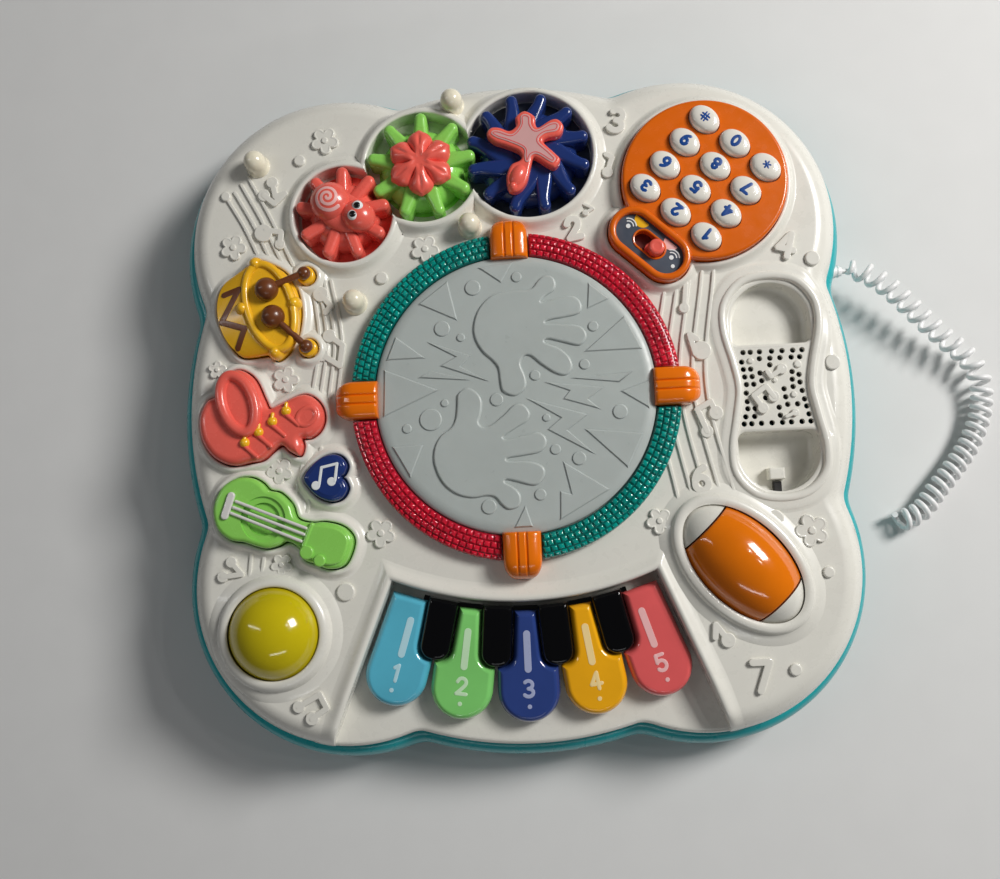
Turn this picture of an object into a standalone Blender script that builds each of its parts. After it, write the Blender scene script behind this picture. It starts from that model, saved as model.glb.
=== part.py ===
# Top unit of a children's musical activity table.
# A white play panel over a teal tray holds a drum, a piano, a phone keypad, meshing gears,
# a spinning ball and roller, picture buttons, and a handset cradle with a curly cord.
# Units are metres: X to the right, Y away from the player, Z up, origin under the base's middle.

import math

import bpy
from mathutils import Matrix, Vector

# Clearances
GAP = 0.0003
SLIDE_GAP = 0.0005

# Casing
FOOT_HEIGHT = 0.003
PARTING_Z = 0.030
PLATEAU_Z = 0.052
SHELL_WALL = 0.0025
CORNER_LOBE_CENTRE = 0.089
CORNER_LOBE_R = 0.0826
SIDE_LOBE_REACH = 0.1736
SIDE_LOBE_BACK = 0.0098
SIDE_LOBE_R = SIDE_LOBE_REACH + SIDE_LOBE_BACK
INDENT_SOFTNESS = 0.004
EDGE_ROUND = 0.016
CAVITY_TOP_INSET = 0.012
BELLY_OUT = 0.005
BELLY_Z = 0.018
BASE_INSET = 0.012
LIP_INSET = 0.0015
OUTLINE_STEPS = (2, 5)
INNER_STEPS = (1, 3)
RIM_SINK = 0.0015
RIM_FLARE = 0.0022

# Casing screws, their posts, and the feet
SCREW_PLACES = (
    (-0.112, 0.142),
    (0.134, 0.134),
    (0.130, -0.130),
    (-0.104, -0.139),
)
POST_R = 0.0048
POST_JOINT_Z = PARTING_Z - GAP
SCREW_SIDES = 6
SCREW_SHANK_R = 0.0015
SCREW_HEAD_R = 0.0030
SCREW_HEAD_HEIGHT = 0.0022
SCREW_SEAT_Z = 0.011
SCREW_GRIP = 0.010
FOOT_R = 0.009
FOOT_OFFSET = 0.105
FOOT_TAPER = 0.9

# Drum
DRUM_CENTRE = (0.0, 0.003)
PAD_R = 0.070
PAD_TOP_Z = 0.0602
PAD_EDGE_Z = 0.0578
PAD_THICKNESS = 0.0028
RING_WIDTH = 0.0127
RING_TOP_Z = 0.0595
CLIP_WIDTH = 0.0195
CLIP_SPAN = 0.0185
CLIP_REACH = PAD_R + CLIP_SPAN
CLIP_NOSE = 0.0016
CLIP_TOP_Z = 0.0640
CLIP_GROOVE = 0.0012

# Gears: a finger counts as a tooth
PITCH_R_PER_TOOTH = 0.00262
FLOWER_CENTRE = (-0.043, 0.1235)
SNAIL_BEARING = math.radians(209.0)
STAR_BEARING = math.radians(3.7)
GEAR_ADDENDUM = 0.0045
SNAIL_ADDENDUM = 0.0008
STAR_ADDENDUM = 0.0007
SNAIL_TEETH = 9
FLOWER_TEETH = 9
STAR_TEETH = 12
FINGER_HALF_WIDTH = 0.0028
GEAR_ROOT = 0.0085
WELL_FLOOR_Z = 0.046
WELL_CLEARANCE = 0.0009
WELL_RIM = 0.0034
WELL_RIM_Z = 0.0570
GEAR_TOP_Z = 0.0602
GEAR_ROUND = 0.0018
GEAR_POST_R = 0.003
CAP_HEIGHT = 0.006
CAP_TURN = math.radians(92.0)
FLOWER_CAP_R = 0.0155
FLOWER_PETALS = 9
FLOWER_PETAL_DEPTH = 0.10
STAR_CAP_R = 0.0195
STAR_ARMS = 5
STAR_ARM_DEPTH = 0.62
SNAIL_TURN = math.radians(-32.0)

# Cap sections: share of the outline's size, share of the height
FLOWER_SECTION = ((1.0, 0.0), (1.0, 0.4), (0.8, 0.9), (0.35, 0.75))
STAR_SECTION = ((1.0, 0.0), (1.0, 0.7), (0.85, 1.0))

# Snail cap, in shares of its gear's reach and of the cap height
SNAIL_BODY = (0.72, 0.34)
SNAIL_SHELL_PLACE = (-0.22, 0.22)
SNAIL_SHELL = (0.42, 1.6)
SNAIL_HEAD_PLACE = (0.40, -0.16)
SNAIL_HEAD = (0.33, 1.4)

# Phone keypad
PHONE_CENTRE = (0.1004, 0.1078)
PHONE_R = 0.0418
PHONE_TURN = math.radians(-43.0)
PHONE_TOP_Z = 0.060
PHONE_PLATE = 0.0025
PHONE_WALL = 0.0028
PHONE_SINK = 0.0006
PHONE_COLLAR = 0.0022
PHONE_COLLAR_Z = 0.0555
KEY_COLUMN_PITCH = 0.0197
KEY_ROW_PITCH = 0.0156
KEY_HALF_LENGTH = 0.0083
KEY_HALF_WIDTH = 0.0063
KEY_TOP_Z = 0.0642
KEY_FLANGE = 0.0010
KEY_FLANGE_HEIGHT = 0.0016
KEY_SHOULDER_SHARE = 0.35
KEY_CROWN_SHARE = 0.6
BOARD_THICKNESS = 0.0014
KEYPAD_BOARD_R = 0.0365
PHONE_KEYS = ("1", "2", "3", "4", "5", "6", "7", "8", "9", "star", "0", "hash")

# Volume slider
SLIDER_CENTRE = (0.0708, 0.0757)
SLIDER_HALF_LENGTH = 0.0106
SLIDER_R = 0.0125
SLIDER_TOP_Z = 0.0612
SLIDER_RECESS_R = 0.0088
SLIDER_RECESS_Z = 0.0572
SLIDER_PLATE_THICKNESS = 0.0008
SLIDER_SLOT_R = 0.0046
SLIDER_TRAVEL = 0.008
SLIDER_KNOB_R = 0.0041
SLIDER_KNOB_Z = 0.0632
SLIDER_FOOT = 0.0015
SLIDER_CROWN_SHARE = 0.7

# Picture buttons
BUTTON_STEPS = 1
BUTTON_TOP_Z = 0.0605
BUTTON_ROUND = 0.0015
BUTTON_TOP_INSET = 0.00105
BUTTON_FLANGE = 0.0008
BUTTON_FLANGE_HEIGHT = 0.002
BUTTON_TRAVEL = 0.0018
BUTTON_RIM = 0.0030
BUTTON_RIM_Z = 0.0552
DRUM_HEAD_CENTRE = (-0.1218, 0.0528)
DRUM_HEAD_HALF = (0.0248, 0.0138)
DRUM_HEAD_TURN = math.radians(105.0)
DRUM_HEAD_Z = 0.0632
STICK_R = 0.0027
STICK_TIP_R = 0.0042
STICK_BALL_R = 0.0060
STICKS = (
    ((-0.1225, 0.0612), (-0.1042, 0.0694)),
    ((-0.1195, 0.0470), (-0.1038, 0.0318)),
)
SAX_BELL_CENTRE = (-0.1383, 0.0045)
SAX_BELL_HALF = (0.0178, 0.0106)
SAX_BELL_TURN = math.radians(108.0)
SAX_BELL_Z = 0.0640
SAX_MOUTH_HALF = (0.0118, 0.0054)
SAX_MOUTH_DEPTH = 0.003
DRUM_OUTLINE = (
    (-0.1073, 0.0520),
    (-0.1095, 0.0630),
    (-0.1150, 0.0715),
    (-0.1230, 0.0765),
    (-0.1300, 0.0785),
    (-0.1350, 0.0730),
    (-0.1390, 0.0690),
    (-0.1450, 0.0665),
    (-0.1488, 0.0610),
    (-0.1500, 0.0520),
    (-0.1475, 0.0430),
    (-0.1430, 0.0345),
    (-0.1380, 0.0290),
    (-0.1320, 0.0283),
    (-0.1240, 0.0290),
    (-0.1195, 0.0260),
    (-0.1150, 0.0285),
    (-0.1110, 0.0335),
    (-0.1083, 0.0420),
)
SAX_OUTLINE = (
    (-0.1430, 0.0215),
    (-0.1478, 0.0160),
    (-0.1500, 0.0095),
    (-0.1550, 0.0070),
    (-0.1585, 0.0010),
    (-0.1593, -0.0060),
    (-0.1575, -0.0140),
    (-0.1530, -0.0210),
    (-0.1470, -0.0250),
    (-0.1410, -0.0263),
    (-0.1340, -0.0252),
    (-0.1275, -0.0240),
    (-0.1225, -0.0200),
    (-0.1178, -0.0172),
    (-0.1140, -0.0205),
    (-0.1090, -0.0228),
    (-0.1072, -0.0185),
    (-0.1075, -0.0145),
    (-0.1030, -0.0140),
    (-0.0985, -0.0105),
    (-0.0963, -0.0045),
    (-0.0978, 0.0020),
    (-0.1025, 0.0068),
    (-0.1085, 0.0077),
    (-0.1190, 0.0034),
    (-0.1240, 0.0016),
    (-0.1265, 0.0065),
    (-0.1310, 0.0165),
    (-0.1370, 0.0215),
)
GUITAR_OUTLINE = (
    (-0.1522, -0.0500),
    (-0.1510, -0.0430),
    (-0.1470, -0.0365),
    (-0.1400, -0.0328),
    (-0.1330, -0.0330),
    (-0.1280, -0.0358),
    (-0.1245, -0.0395),
    (-0.1190, -0.0412),
    (-0.1135, -0.0470),
    (-0.1108, -0.0540),
    (-0.1040, -0.0565),
    (-0.0965, -0.0565),
    (-0.0880, -0.0592),
    (-0.0832, -0.0650),
    (-0.0845, -0.0725),
    (-0.0885, -0.0785),
    (-0.0955, -0.0795),
    (-0.1015, -0.0770),
    (-0.1075, -0.0743),
    (-0.1092, -0.0690),
    (-0.1155, -0.0652),
    (-0.1205, -0.0672),
    (-0.1260, -0.0682),
    (-0.1320, -0.0666),
    (-0.1370, -0.0647),
    (-0.1440, -0.0632),
    (-0.1500, -0.0578),
)
HEART_OUTLINE = (
    (-0.1070, -0.0345),
    (-0.1040, -0.0400),
    (-0.0990, -0.0445),
    (-0.0930, -0.0465),
    (-0.0880, -0.0450),
    (-0.0853, -0.0405),
    (-0.0865, -0.0365),
    (-0.0882, -0.0346),
    (-0.0865, -0.0327),
    (-0.0853, -0.0287),
    (-0.0880, -0.0244),
    (-0.0930, -0.0230),
    (-0.0990, -0.0250),
    (-0.1040, -0.0294),
)

# Handset cradle, speaker and hook switch
CRADLE_X = 0.1295
CRADLE_HALF_OUTLINE = (
    (0.0000, 0.0590),
    (0.0140, 0.0560),
    (0.0232, 0.0450),
    (0.0245, 0.0310),
    (0.0205, 0.0130),
    (0.0188, 0.0005),
    (0.0210, -0.0130),
    (0.0240, -0.0290),
    (0.0225, -0.0420),
    (0.0135, -0.0520),
    (0.0000, -0.0550),
)
CRADLE_RIM_Z = 0.0555
CRADLE_SINK = 0.0006
CRADLE_RIM_WIDTH = 0.0030
POCKET_HALF_WIDTH = 0.0200
POCKET_FLOOR_Z = 0.0370
UPPER_POCKET_Y = 0.0230
UPPER_POCKET_CENTRE_Y = 0.0345
LOWER_POCKET_Y = -0.0210
LOWER_POCKET_CENTRE_Y = -0.0310
GRILLE_HOLE_R = 0.0016
GRILLE_PITCH = 0.0070
GRILLE_COLUMNS = 4
GRILLE_ROWS = 5
GRILLE_CENTRE_Y = 0.0010
SPEAKER_R = 0.0172
SPEAKER_DEPTH = 0.013
SPEAKER_SECTION = ((0.5, 1.0), (0.5, 0.7), (1.0, 0.3), (1.0, 0.0))
HOOK_PLACE = (0.1295, -0.0416)
HOOK_SIZE = (0.0080, 0.0060)
HOOK_TOP_Z = 0.0435
HOOK_FLANGE = 0.0012
HOOK_SLOT = (0.0040, 0.0055)

# Roller: the middle slice of an egg shape whose white ends belong to the shell
ROLLER_CENTRE = (0.1068, -0.0855)
ROLLER_TURN = math.radians(-46.7)
ROLLER_Z = 0.048
ROLLER_R = 0.0215
EGG_HALF_LENGTH = 0.037
ROLLER_HALF_LENGTH = 0.0244
ROLLER_CLEARANCE = 0.0008
ROLLER_COLLAR = 0.0065
ROLLER_COLLAR_Z = 0.0560

# Ball
BALL_CENTRE = (-0.124, -0.110)
BALL_Z = 0.047
BALL_R = 0.024
BALL_CLEARANCE = 0.0006
BALL_COLLAR_R = 0.0262
BALL_COLLAR_Z = 0.0572
BALL_COLLAR_FLARE = 0.0045

# Axles of the ball and the roller, and the blocks that carry them
AXLE_R = 0.002
AXLE_SEAT = 0.004
BLOCK_LENGTH = 0.006
BLOCK_WIDTH = 0.012
BLOCK_DROP = 0.0045

# Piano: a fan of keys about one centre
PIANO_KEYS = 5
PIANO_REAR_Y = -0.0995
TRAY_REAR_R = 0.1725
FAN_CENTRE = (0.0, PIANO_REAR_Y + TRAY_REAR_R)
FAN_STEP = math.radians(8.5)
TRAY_SIDE_ANGLE = math.radians(1.0)
TRAY_HALF_ANGLE = PIANO_KEYS / 2 * FAN_STEP + TRAY_SIDE_ANGLE
BLACK_REAR_GAP = 0.0020
BLACK_LENGTH = 0.0300
BLACK_REAR_R = TRAY_REAR_R + BLACK_REAR_GAP
BLACK_FRONT_R = BLACK_REAR_R + BLACK_LENGTH
KEY_REAR_GAP = 0.0045
KEY_REAR_R = TRAY_REAR_R + KEY_REAR_GAP
SHOULDER_GAP = 0.0020
KEY_SHOULDER_R = BLACK_FRONT_R + SHOULDER_GAP
KEY_FRONT_LENGTH = 0.0095
FAN_FRONT_R = KEY_SHOULDER_R + KEY_FRONT_LENGTH
TRAY_RUN_OUT = 0.059
TRAY_FRONT_R = FAN_FRONT_R + TRAY_RUN_OUT
KEY_ROUND_R = FAN_FRONT_R * math.sin(FAN_STEP / 2) - SLIDE_GAP
REAR_PITCH = KEY_REAR_R * FAN_STEP
BLACK_PITCH_SHARE = 0.29
BLACK_HALF_WIDTH = REAR_PITCH * BLACK_PITCH_SHARE
KEY_TAIL_HALF = REAR_PITCH / 2 - BLACK_HALF_WIDTH - GAP
KEY_NOTCH_ROUND = 0.004
PIANO_TOP_Z = 0.0500
PIANO_UNDER_Z = 0.0438
PIANO_EDGE = 0.0018
PIANO_TOP_INSET = 0.00108
TRAY_FLOOR_Z = 0.040
TRAY_RIDGE = 0.0025
TRAY_RIDGE_FLARE = 0.0050
TRAY_RIDGE_HEIGHT = 0.0028
BLACK_ROUND = 0.0048
BLACK_TOP_Z = 0.0520
PIVOT_SETBACK = 0.0030
PIVOT_R = KEY_REAR_R + PIVOT_SETBACK
PIVOT_Z = 0.0450
STRIP_HEIGHT = 0.0023
STRIP_DEPTH = 0.0040
STRIP_FRONT_R = PIVOT_R + STRIP_DEPTH
PIVOT_PIN_R = 0.0012
SADDLE_WIDTH = 0.0020

# Ball pegs
PEG_PLACES = (
    (-0.1290, 0.1304),
    (-0.0263, 0.1575),
    (-0.0196, 0.0913),
    (-0.0797, 0.0546),
)
PEG_R = 0.0056
PEG_BASE_R = 0.0060
PEG_STEM_R = 0.0028
PEG_CENTRE_Z = 0.0585
PEG_TOP_Z = 0.0645
PEG_CROWN = ((0.72, 0.7), (0.25, 1.0))

# Batteries and boards
BATTERY_R = 0.00725
BATTERY_LENGTH = 0.050
BATTERY_COUNT = 3
BATTERY_PITCH = 0.0143
BATTERY_BOX_CENTRE = (0.0, 0.050)
DOOR_THICKNESS = 0.0022
DOOR_LEDGE = 0.0030
DOOR_TAB = 0.010
MAIN_BOARD = (0.100, 0.060)
MAIN_BOARD_CENTRE = (0.0, -0.040)
MAIN_BOARD_Z = 0.0260
STANDOFF_R = 0.0035
STANDOFF_INSET = 0.007

# Curly cord: it leaves the right side at an indent, comes down and lies on the floor
CORD_R = 0.0015
CURL_R = 0.0045
CURL_POINTS = 8
CORD_LEAD = 0.0026
OUTLET_DEPTH = 0.0066
OUTLET_PLACE = (SIDE_LOBE_REACH - OUTLET_DEPTH, 0.0665, 0.0215)
OUTLET_LENGTH = 0.0100
OUTLET_R = 0.0042
CORD_INSERT = 0.0030
LOOSE_CURLS = 13
TIGHT_CURLS = 17
LOOSE_SHARE = 0.53
# Points of the route: across and along from the outlet, and height above the floor
CORD_ROUTE = (
    (0.0200, -0.0005, 0.0215),
    (0.0295, -0.0055, 0.0203),
    (0.0400, -0.0138, 0.0181),
    (0.0530, -0.0265, 0.0152),
    (0.0660, -0.0385, 0.0126),
    (0.0771, -0.0480, 0.0100),
    (0.0833, -0.0588, 0.0080),
    (0.0840, -0.0711, 0.0068),
    (0.0810, -0.0828, 0.0066),
    (0.0746, -0.0954, 0.0066),
    (0.0656, -0.1072, 0.0066),
    (0.0556, -0.1185, 0.0066),
    (0.0463, -0.1292, 0.0066),
    (0.0342, -0.1350, 0.0066),
)

SMOOTH_ANGLE = math.radians(35.0)


# Outlines in plan, each a list of (x, y) that runs counter-clockwise


def circle(centre, radius, count):
    return ellipse(centre, radius, radius, 0.0, count)


def ellipse(centre, half_length, half_width, turn, count):
    points = []
    for index in range(count):
        angle = 2 * math.pi * index / count
        local = (half_length * math.cos(angle), half_width * math.sin(angle))
        points.append(turned_point(centre, local, turn))
    return points


def turned_point(centre, local, turn):
    across = local[0] * math.cos(turn) - local[1] * math.sin(turn)
    along = local[0] * math.sin(turn) + local[1] * math.cos(turn)
    return (centre[0] + across, centre[1] + along)


def stadium(centre, half_length, radius, turn, count):
    """A slot outline: two half circles joined by straight sides, with count points in all."""
    half = count // 2
    points = []
    for end, start in ((half_length, -0.5), (-half_length, 0.5)):
        for index in range(half):
            angle = math.pi * (start + index / (half - 1))
            local = (end + radius * math.cos(angle), radius * math.sin(angle))
            points.append(turned_point(centre, local, turn))
    return points


def rectangle(centre, width, depth, turn=0.0):
    corners = ((-0.5, -0.5), (0.5, -0.5), (0.5, 0.5), (-0.5, 0.5))
    return [turned_point(centre, (width * x, depth * y), turn) for x, y in corners]


def signed_area(loop):
    total = 0.0
    for (x0, y0), (x1, y1) in zip(loop, loop[1:] + loop[:1]):
        total += x0 * y1 - x1 * y0
    return total / 2


def counter_clockwise(loop):
    return loop if signed_area(loop) > 0 else loop[::-1]


def smooth_loop(points, steps):
    """A closed smooth curve through the points, with steps samples in each span."""
    points = counter_clockwise([Vector(point) for point in points])
    count = len(points)
    loop = []
    for index in range(count):
        before, start, end, after = (points[(index + k) % count] for k in (-1, 0, 1, 2))
        for step in range(steps):
            loop.append(tuple(spline_point(before, start, end, after, step / steps)))
    return loop


def spline_point(before, start, end, after, share):
    """A point on the smooth curve that passes start and end and heads for their neighbours."""
    slope_in = (end - before) / 2
    slope_out = (after - start) / 2
    square = share * share
    cube = square * share
    return (
        start * (2 * cube - 3 * square + 1)
        + slope_in * (cube - 2 * square + share)
        + end * (3 * square - 2 * cube)
        + slope_out * (cube - square)
    )


def shifted(loop, distance):
    """The loop moved outwards point by point, for steps that are small beside its bends."""
    moved = []
    count = len(loop)
    for index, point in enumerate(loop):
        here = Vector(point)
        ahead = (Vector(loop[(index + 1) % count]) - here).normalized()
        behind = (here - Vector(loop[index - 1])).normalized()
        mean = (ahead + behind).normalized()
        reach = distance / max(0.5, mean.dot(ahead))
        moved.append((here.x + mean.y * reach, here.y - mean.x * reach))
    return moved


def grown(loop, distance):
    """The loop grown outwards, without the points that a narrow inner bend would fold over."""
    kept = []
    for point in shifted(loop, distance):
        if distance_to_loop(point, loop) > 0.96 * distance:
            kept.append(point)
    return kept


def distance_to_loop(point, loop):
    here = Vector(point)
    least = math.inf
    for start, end in zip(loop, loop[1:] + loop[:1]):
        start = Vector(start)
        side = Vector(end) - start
        share = max(0.0, min(1.0, (here - start).dot(side) / side.length_squared))
        least = min(least, (start + side * share - here).length)
    return least


def ray_to_circle(direction, centre, radius):
    """How far a ray from the origin runs before it leaves the circle; 0 where it misses."""
    along = direction.dot(centre)
    square = along * along - centre.length_squared + radius * radius
    return along + math.sqrt(square) if square > 0 else 0.0


def lobe_reaches(angle, grow):
    """How far the corner lobe and the side lobe reach in one direction of the first octant."""
    direction = Vector((math.cos(angle), math.sin(angle)))
    corner = Vector((CORNER_LOBE_CENTRE, CORNER_LOBE_CENTRE))
    side = Vector((SIDE_LOBE_REACH - SIDE_LOBE_R, 0.0))
    to_corner = ray_to_circle(direction, corner, CORNER_LOBE_R + grow)
    to_side = ray_to_circle(direction, side, SIDE_LOBE_R + grow)
    return to_corner, to_side


def indent_angle():
    """The direction in which a side lobe meets a corner lobe."""
    low = 0.0
    high = math.pi / 4
    for _ in range(30):
        middle = (low + high) / 2
        to_corner, to_side = lobe_reaches(middle, 0.0)
        if to_corner < to_side:
            low = middle
        else:
            high = middle
    return low


def plan_angles(side_steps, corner_steps):
    """Directions round the plan, with one at every indent: steps count along half a lobe."""
    indent = indent_angle()
    octant = [indent * step / side_steps for step in range(side_steps)]
    rest = math.pi / 4 - indent
    octant += [indent + rest * step / corner_steps for step in range(corner_steps)]
    quadrant = octant + [math.pi / 4] + [math.pi / 2 - angle for angle in octant[:0:-1]]
    return [angle + turn * math.pi / 2 for turn in range(4) for angle in quadrant]


def plan_loop(grow, steps=OUTLINE_STEPS):
    """The casing's plan of four corner lobes and four side lobes, grown outwards."""
    loop = []
    for angle in plan_angles(*steps):
        folded = angle % (math.pi / 2)
        folded = min(folded, math.pi / 2 - folded)
        to_corner, to_side = lobe_reaches(folded, grow)
        blend = max(0.0, INDENT_SOFTNESS - abs(to_corner - to_side))
        reach = max(to_corner, to_side) + blend * blend / (4 * INDENT_SOFTNESS)
        loop.append((reach * math.cos(angle), reach * math.sin(angle)))
    return loop


def fan_point(angle, radius, across=0.0):
    """A point of the piano's fan: radius from its centre, and a step across that direction."""
    x = FAN_CENTRE[0] + radius * math.sin(angle) + across * math.cos(angle)
    y = FAN_CENTRE[1] - radius * math.cos(angle) + across * math.sin(angle)
    return (x, y)


# Solids


def loft(rings):
    """Points and faces of one closed body through rings of (loop, z), from its underside out and up."""
    count = len(rings[0][0])
    points = [(x, y, z) for loop, z in rings for x, y in loop]
    faces = []
    for level in range(len(rings) - 1):
        low = level * count
        high = low + count
        for index in range(count):
            other = (index + 1) % count
            faces.append((low + index, low + other, high + other, high + index))
    faces.append(tuple(reversed(range(count))))
    faces.append(tuple(range(len(points) - count, len(points))))
    return points, faces


def prism(loop, low, high):
    return loft([(loop, low), (loop, high)])


def lathe(centre, profile, count):
    """A turned body: profile of (radius, z) from the underside's middle, out, up and in again."""
    return loft([(circle(centre, radius, count), z) for radius, z in profile])


def placed(body, matrix):
    points, faces = body
    return [tuple(matrix @ Vector(point)) for point in points], faces


def solid(*bodies):
    """One object that holds the bodies, each closed by itself."""
    points = []
    faces = []
    for body_points, body_faces in bodies:
        base = len(points)
        points.extend(body_points)
        faces.extend(tuple(base + index for index in face) for face in body_faces)
    mesh = bpy.data.meshes.new("work")
    mesh.from_pydata(points, [], faces)
    result = bpy.data.objects.new("work", mesh)
    bpy.context.scene.collection.objects.link(result)
    return result


def combine(target, tool, operation):
    modifier = target.modifiers.new("combine", "BOOLEAN")
    modifier.operation = operation
    modifier.solver = "EXACT"
    modifier.object = tool
    graph = bpy.context.evaluated_depsgraph_get()
    result = bpy.data.meshes.new_from_object(target.evaluated_get(graph))
    target.modifiers.clear()
    spent = target.data
    target.data = result
    bpy.data.meshes.remove(spent)
    bpy.data.objects.remove(tool)
    return target


def joined(target, *bodies):
    for body in bodies:
        combine(target, solid(body), "UNION")
    return target


def cut(target, *bodies):
    for body in bodies:
        combine(target, solid(body), "DIFFERENCE")
    return target


def cut_together(target, bodies):
    """Cuts many bodies that stay clear of each other in one go."""
    return combine(target, solid(*bodies), "DIFFERENCE")


def finish(name, target, material, origin=(0.0, 0.0, 0.0)):
    """Names the piece, gives it its material and puts its origin on its joint's axis."""
    target.name = name
    target.data.name = name
    target.data.transform(Matrix.Translation(-Vector(origin)))
    target.location = origin
    target.data.materials.clear()
    target.data.materials.append(material)
    target.data.shade_smooth()
    target.data.set_sharp_from_angle(angle=SMOOTH_ANGLE)
    return target


def finish_material(name, colour, roughness, metallic=0.0):
    material = bpy.data.materials.new(name)
    material.use_nodes = True
    shader = material.node_tree.nodes["Principled BSDF"]
    shader.inputs["Base Color"].default_value = (*colour, 1.0)
    shader.inputs["Roughness"].default_value = roughness
    shader.inputs["Metallic"].default_value = metallic
    return material


def make_materials():
    return {
        "shell_white": finish_material("shell_white", (0.74, 0.72, 0.67), 0.35),
        "tray_teal": finish_material("tray_teal", (0.01, 0.30, 0.32), 0.35),
        "pad_clear": finish_material("pad_clear", (0.45, 0.49, 0.49), 0.30),
        "ring_teal": finish_material("ring_teal", (0.0, 0.20, 0.16), 0.20),
        "ring_red": finish_material("ring_red", (0.45, 0.01, 0.03), 0.20),
        "clip_orange": finish_material("clip_orange", (0.83, 0.20, 0.0), 0.30),
        "panel_orange": finish_material("panel_orange", (0.70, 0.14, 0.01), 0.35),
        "coral": finish_material("coral", (0.83, 0.12, 0.09), 0.30),
        "lime": finish_material("lime", (0.22, 0.61, 0.09), 0.30),
        "navy": finish_material("navy", (0.012, 0.03, 0.14), 0.25),
        "yellow": finish_material("yellow", (0.91, 0.46, 0.01), 0.30),
        "ball_yellow": finish_material("ball_yellow", (0.51, 0.43, 0.005), 0.20),
        "key_white": finish_material("key_white", (0.78, 0.76, 0.70), 0.25),
        "slate": finish_material("slate", (0.05, 0.05, 0.08), 0.50),
        "key_blue": finish_material("key_blue", (0.07, 0.38, 0.51), 0.30),
        "key_green": finish_material("key_green", (0.19, 0.61, 0.15), 0.30),
        "key_navy": finish_material("key_navy", (0.026, 0.053, 0.24), 0.30),
        "key_amber": finish_material("key_amber", (0.87, 0.40, 0.007), 0.30),
        "key_red": finish_material("key_red", (0.68, 0.10, 0.10), 0.30),
        "black": finish_material("black", (0.01, 0.01, 0.012), 0.25),
        "ivory": finish_material("ivory", (0.79, 0.75, 0.64), 0.35),
        "cord_white": finish_material("cord_white", (0.75, 0.76, 0.75), 0.40),
        "steel": finish_material("steel", (0.60, 0.60, 0.62), 0.30, 1.0),
        "board_green": finish_material("board_green", (0.02, 0.16, 0.05), 0.50),
        "cell": finish_material("cell", (0.05, 0.05, 0.06), 0.40),
    }


# Gears: where they stand and how their fingers mesh


def step_from(centre, bearing, distance):
    return (centre[0] + distance * math.cos(bearing), centre[1] + distance * math.sin(bearing))


def meshing_phase(phase, teeth, bearing, other_teeth):
    """Phase of a gear at the bearing whose gap takes the finger that points nearest to it."""
    pitch = 2 * math.pi / teeth
    offset = (phase - bearing + pitch / 2) % pitch - pitch / 2
    return bearing + math.pi - offset * teeth / other_teeth + math.pi / other_teeth


def gear_layout():
    """Centre, finger count, tip radius and phase of each gear."""
    snail_gap = PITCH_R_PER_TOOTH * (FLOWER_TEETH + SNAIL_TEETH)
    star_gap = PITCH_R_PER_TOOTH * (FLOWER_TEETH + STAR_TEETH)
    phase = SNAIL_BEARING
    return {
        "flower": (
            FLOWER_CENTRE,
            FLOWER_TEETH,
            PITCH_R_PER_TOOTH * FLOWER_TEETH + GEAR_ADDENDUM,
            phase,
        ),
        "snail": (
            step_from(FLOWER_CENTRE, SNAIL_BEARING, snail_gap),
            SNAIL_TEETH,
            PITCH_R_PER_TOOTH * SNAIL_TEETH + SNAIL_ADDENDUM,
            meshing_phase(phase, FLOWER_TEETH, SNAIL_BEARING, SNAIL_TEETH),
        ),
        "star": (
            step_from(FLOWER_CENTRE, STAR_BEARING, star_gap),
            STAR_TEETH,
            PITCH_R_PER_TOOTH * STAR_TEETH + STAR_ADDENDUM,
            meshing_phase(phase, FLOWER_TEETH, STAR_BEARING, STAR_TEETH),
        ),
    }


def gear_loop(centre, teeth, tip_radius, phase):
    """Round-ended fingers that stand out from a root circle."""
    root = tip_radius - GEAR_ROOT
    lean = math.asin(FINGER_HALF_WIDTH / root)
    loop = []
    for tooth in range(teeth):
        heading = phase + 2 * math.pi * tooth / teeth
        loop.append(step_from(centre, heading - lean, root))
        end = step_from(centre, heading, tip_radius - FINGER_HALF_WIDTH)
        for step in (-0.5, 0.0, 0.5):
            loop.append(step_from(end, heading + step * math.pi, FINGER_HALF_WIDTH))
        loop.append(step_from(centre, heading + lean, root))
    return loop


# Casing


def dome(raise_by=0.0):
    """The top shell's outer form: a plateau with a rounded edge."""
    rings = []
    height = PLATEAU_Z + raise_by - PARTING_Z
    for share in (0.0, 0.4, 0.72, 1.0):
        angle = share * math.pi / 2
        inset = EDGE_ROUND * (1 - math.cos(angle))
        rings.append((plan_loop(-inset), PARTING_Z + height * math.sin(angle)))
    return loft(rings)


def dome_cavity():
    """The space under the shell, open at the parting line."""
    middle = (PARTING_Z + PLATEAU_Z) / 2
    return loft(
        [
            (plan_loop(-SHELL_WALL), PARTING_Z - SHELL_WALL),
            (plan_loop(-2 * SHELL_WALL), middle),
            (plan_loop(-CAVITY_TOP_INSET), PLATEAU_Z - SHELL_WALL),
        ]
    )


def rim(loop, width, top):
    """A raised rim's solid: the loop grown by its width, flaring down into the plateau."""
    outer = grown(loop, width + RIM_FLARE)
    return loft([(outer, PLATEAU_Z - RIM_SINK), (shifted(outer, -RIM_FLARE), top)])


def well_radius(tip_radius):
    return tip_radius + WELL_CLEARANCE


def button_loops():
    return {
        "drum": smooth_loop(DRUM_OUTLINE, BUTTON_STEPS),
        "sax": smooth_loop(SAX_OUTLINE, BUTTON_STEPS),
        "guitar": smooth_loop(GUITAR_OUTLINE, BUTTON_STEPS),
        "heart": smooth_loop(HEART_OUTLINE, BUTTON_STEPS),
    }


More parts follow.
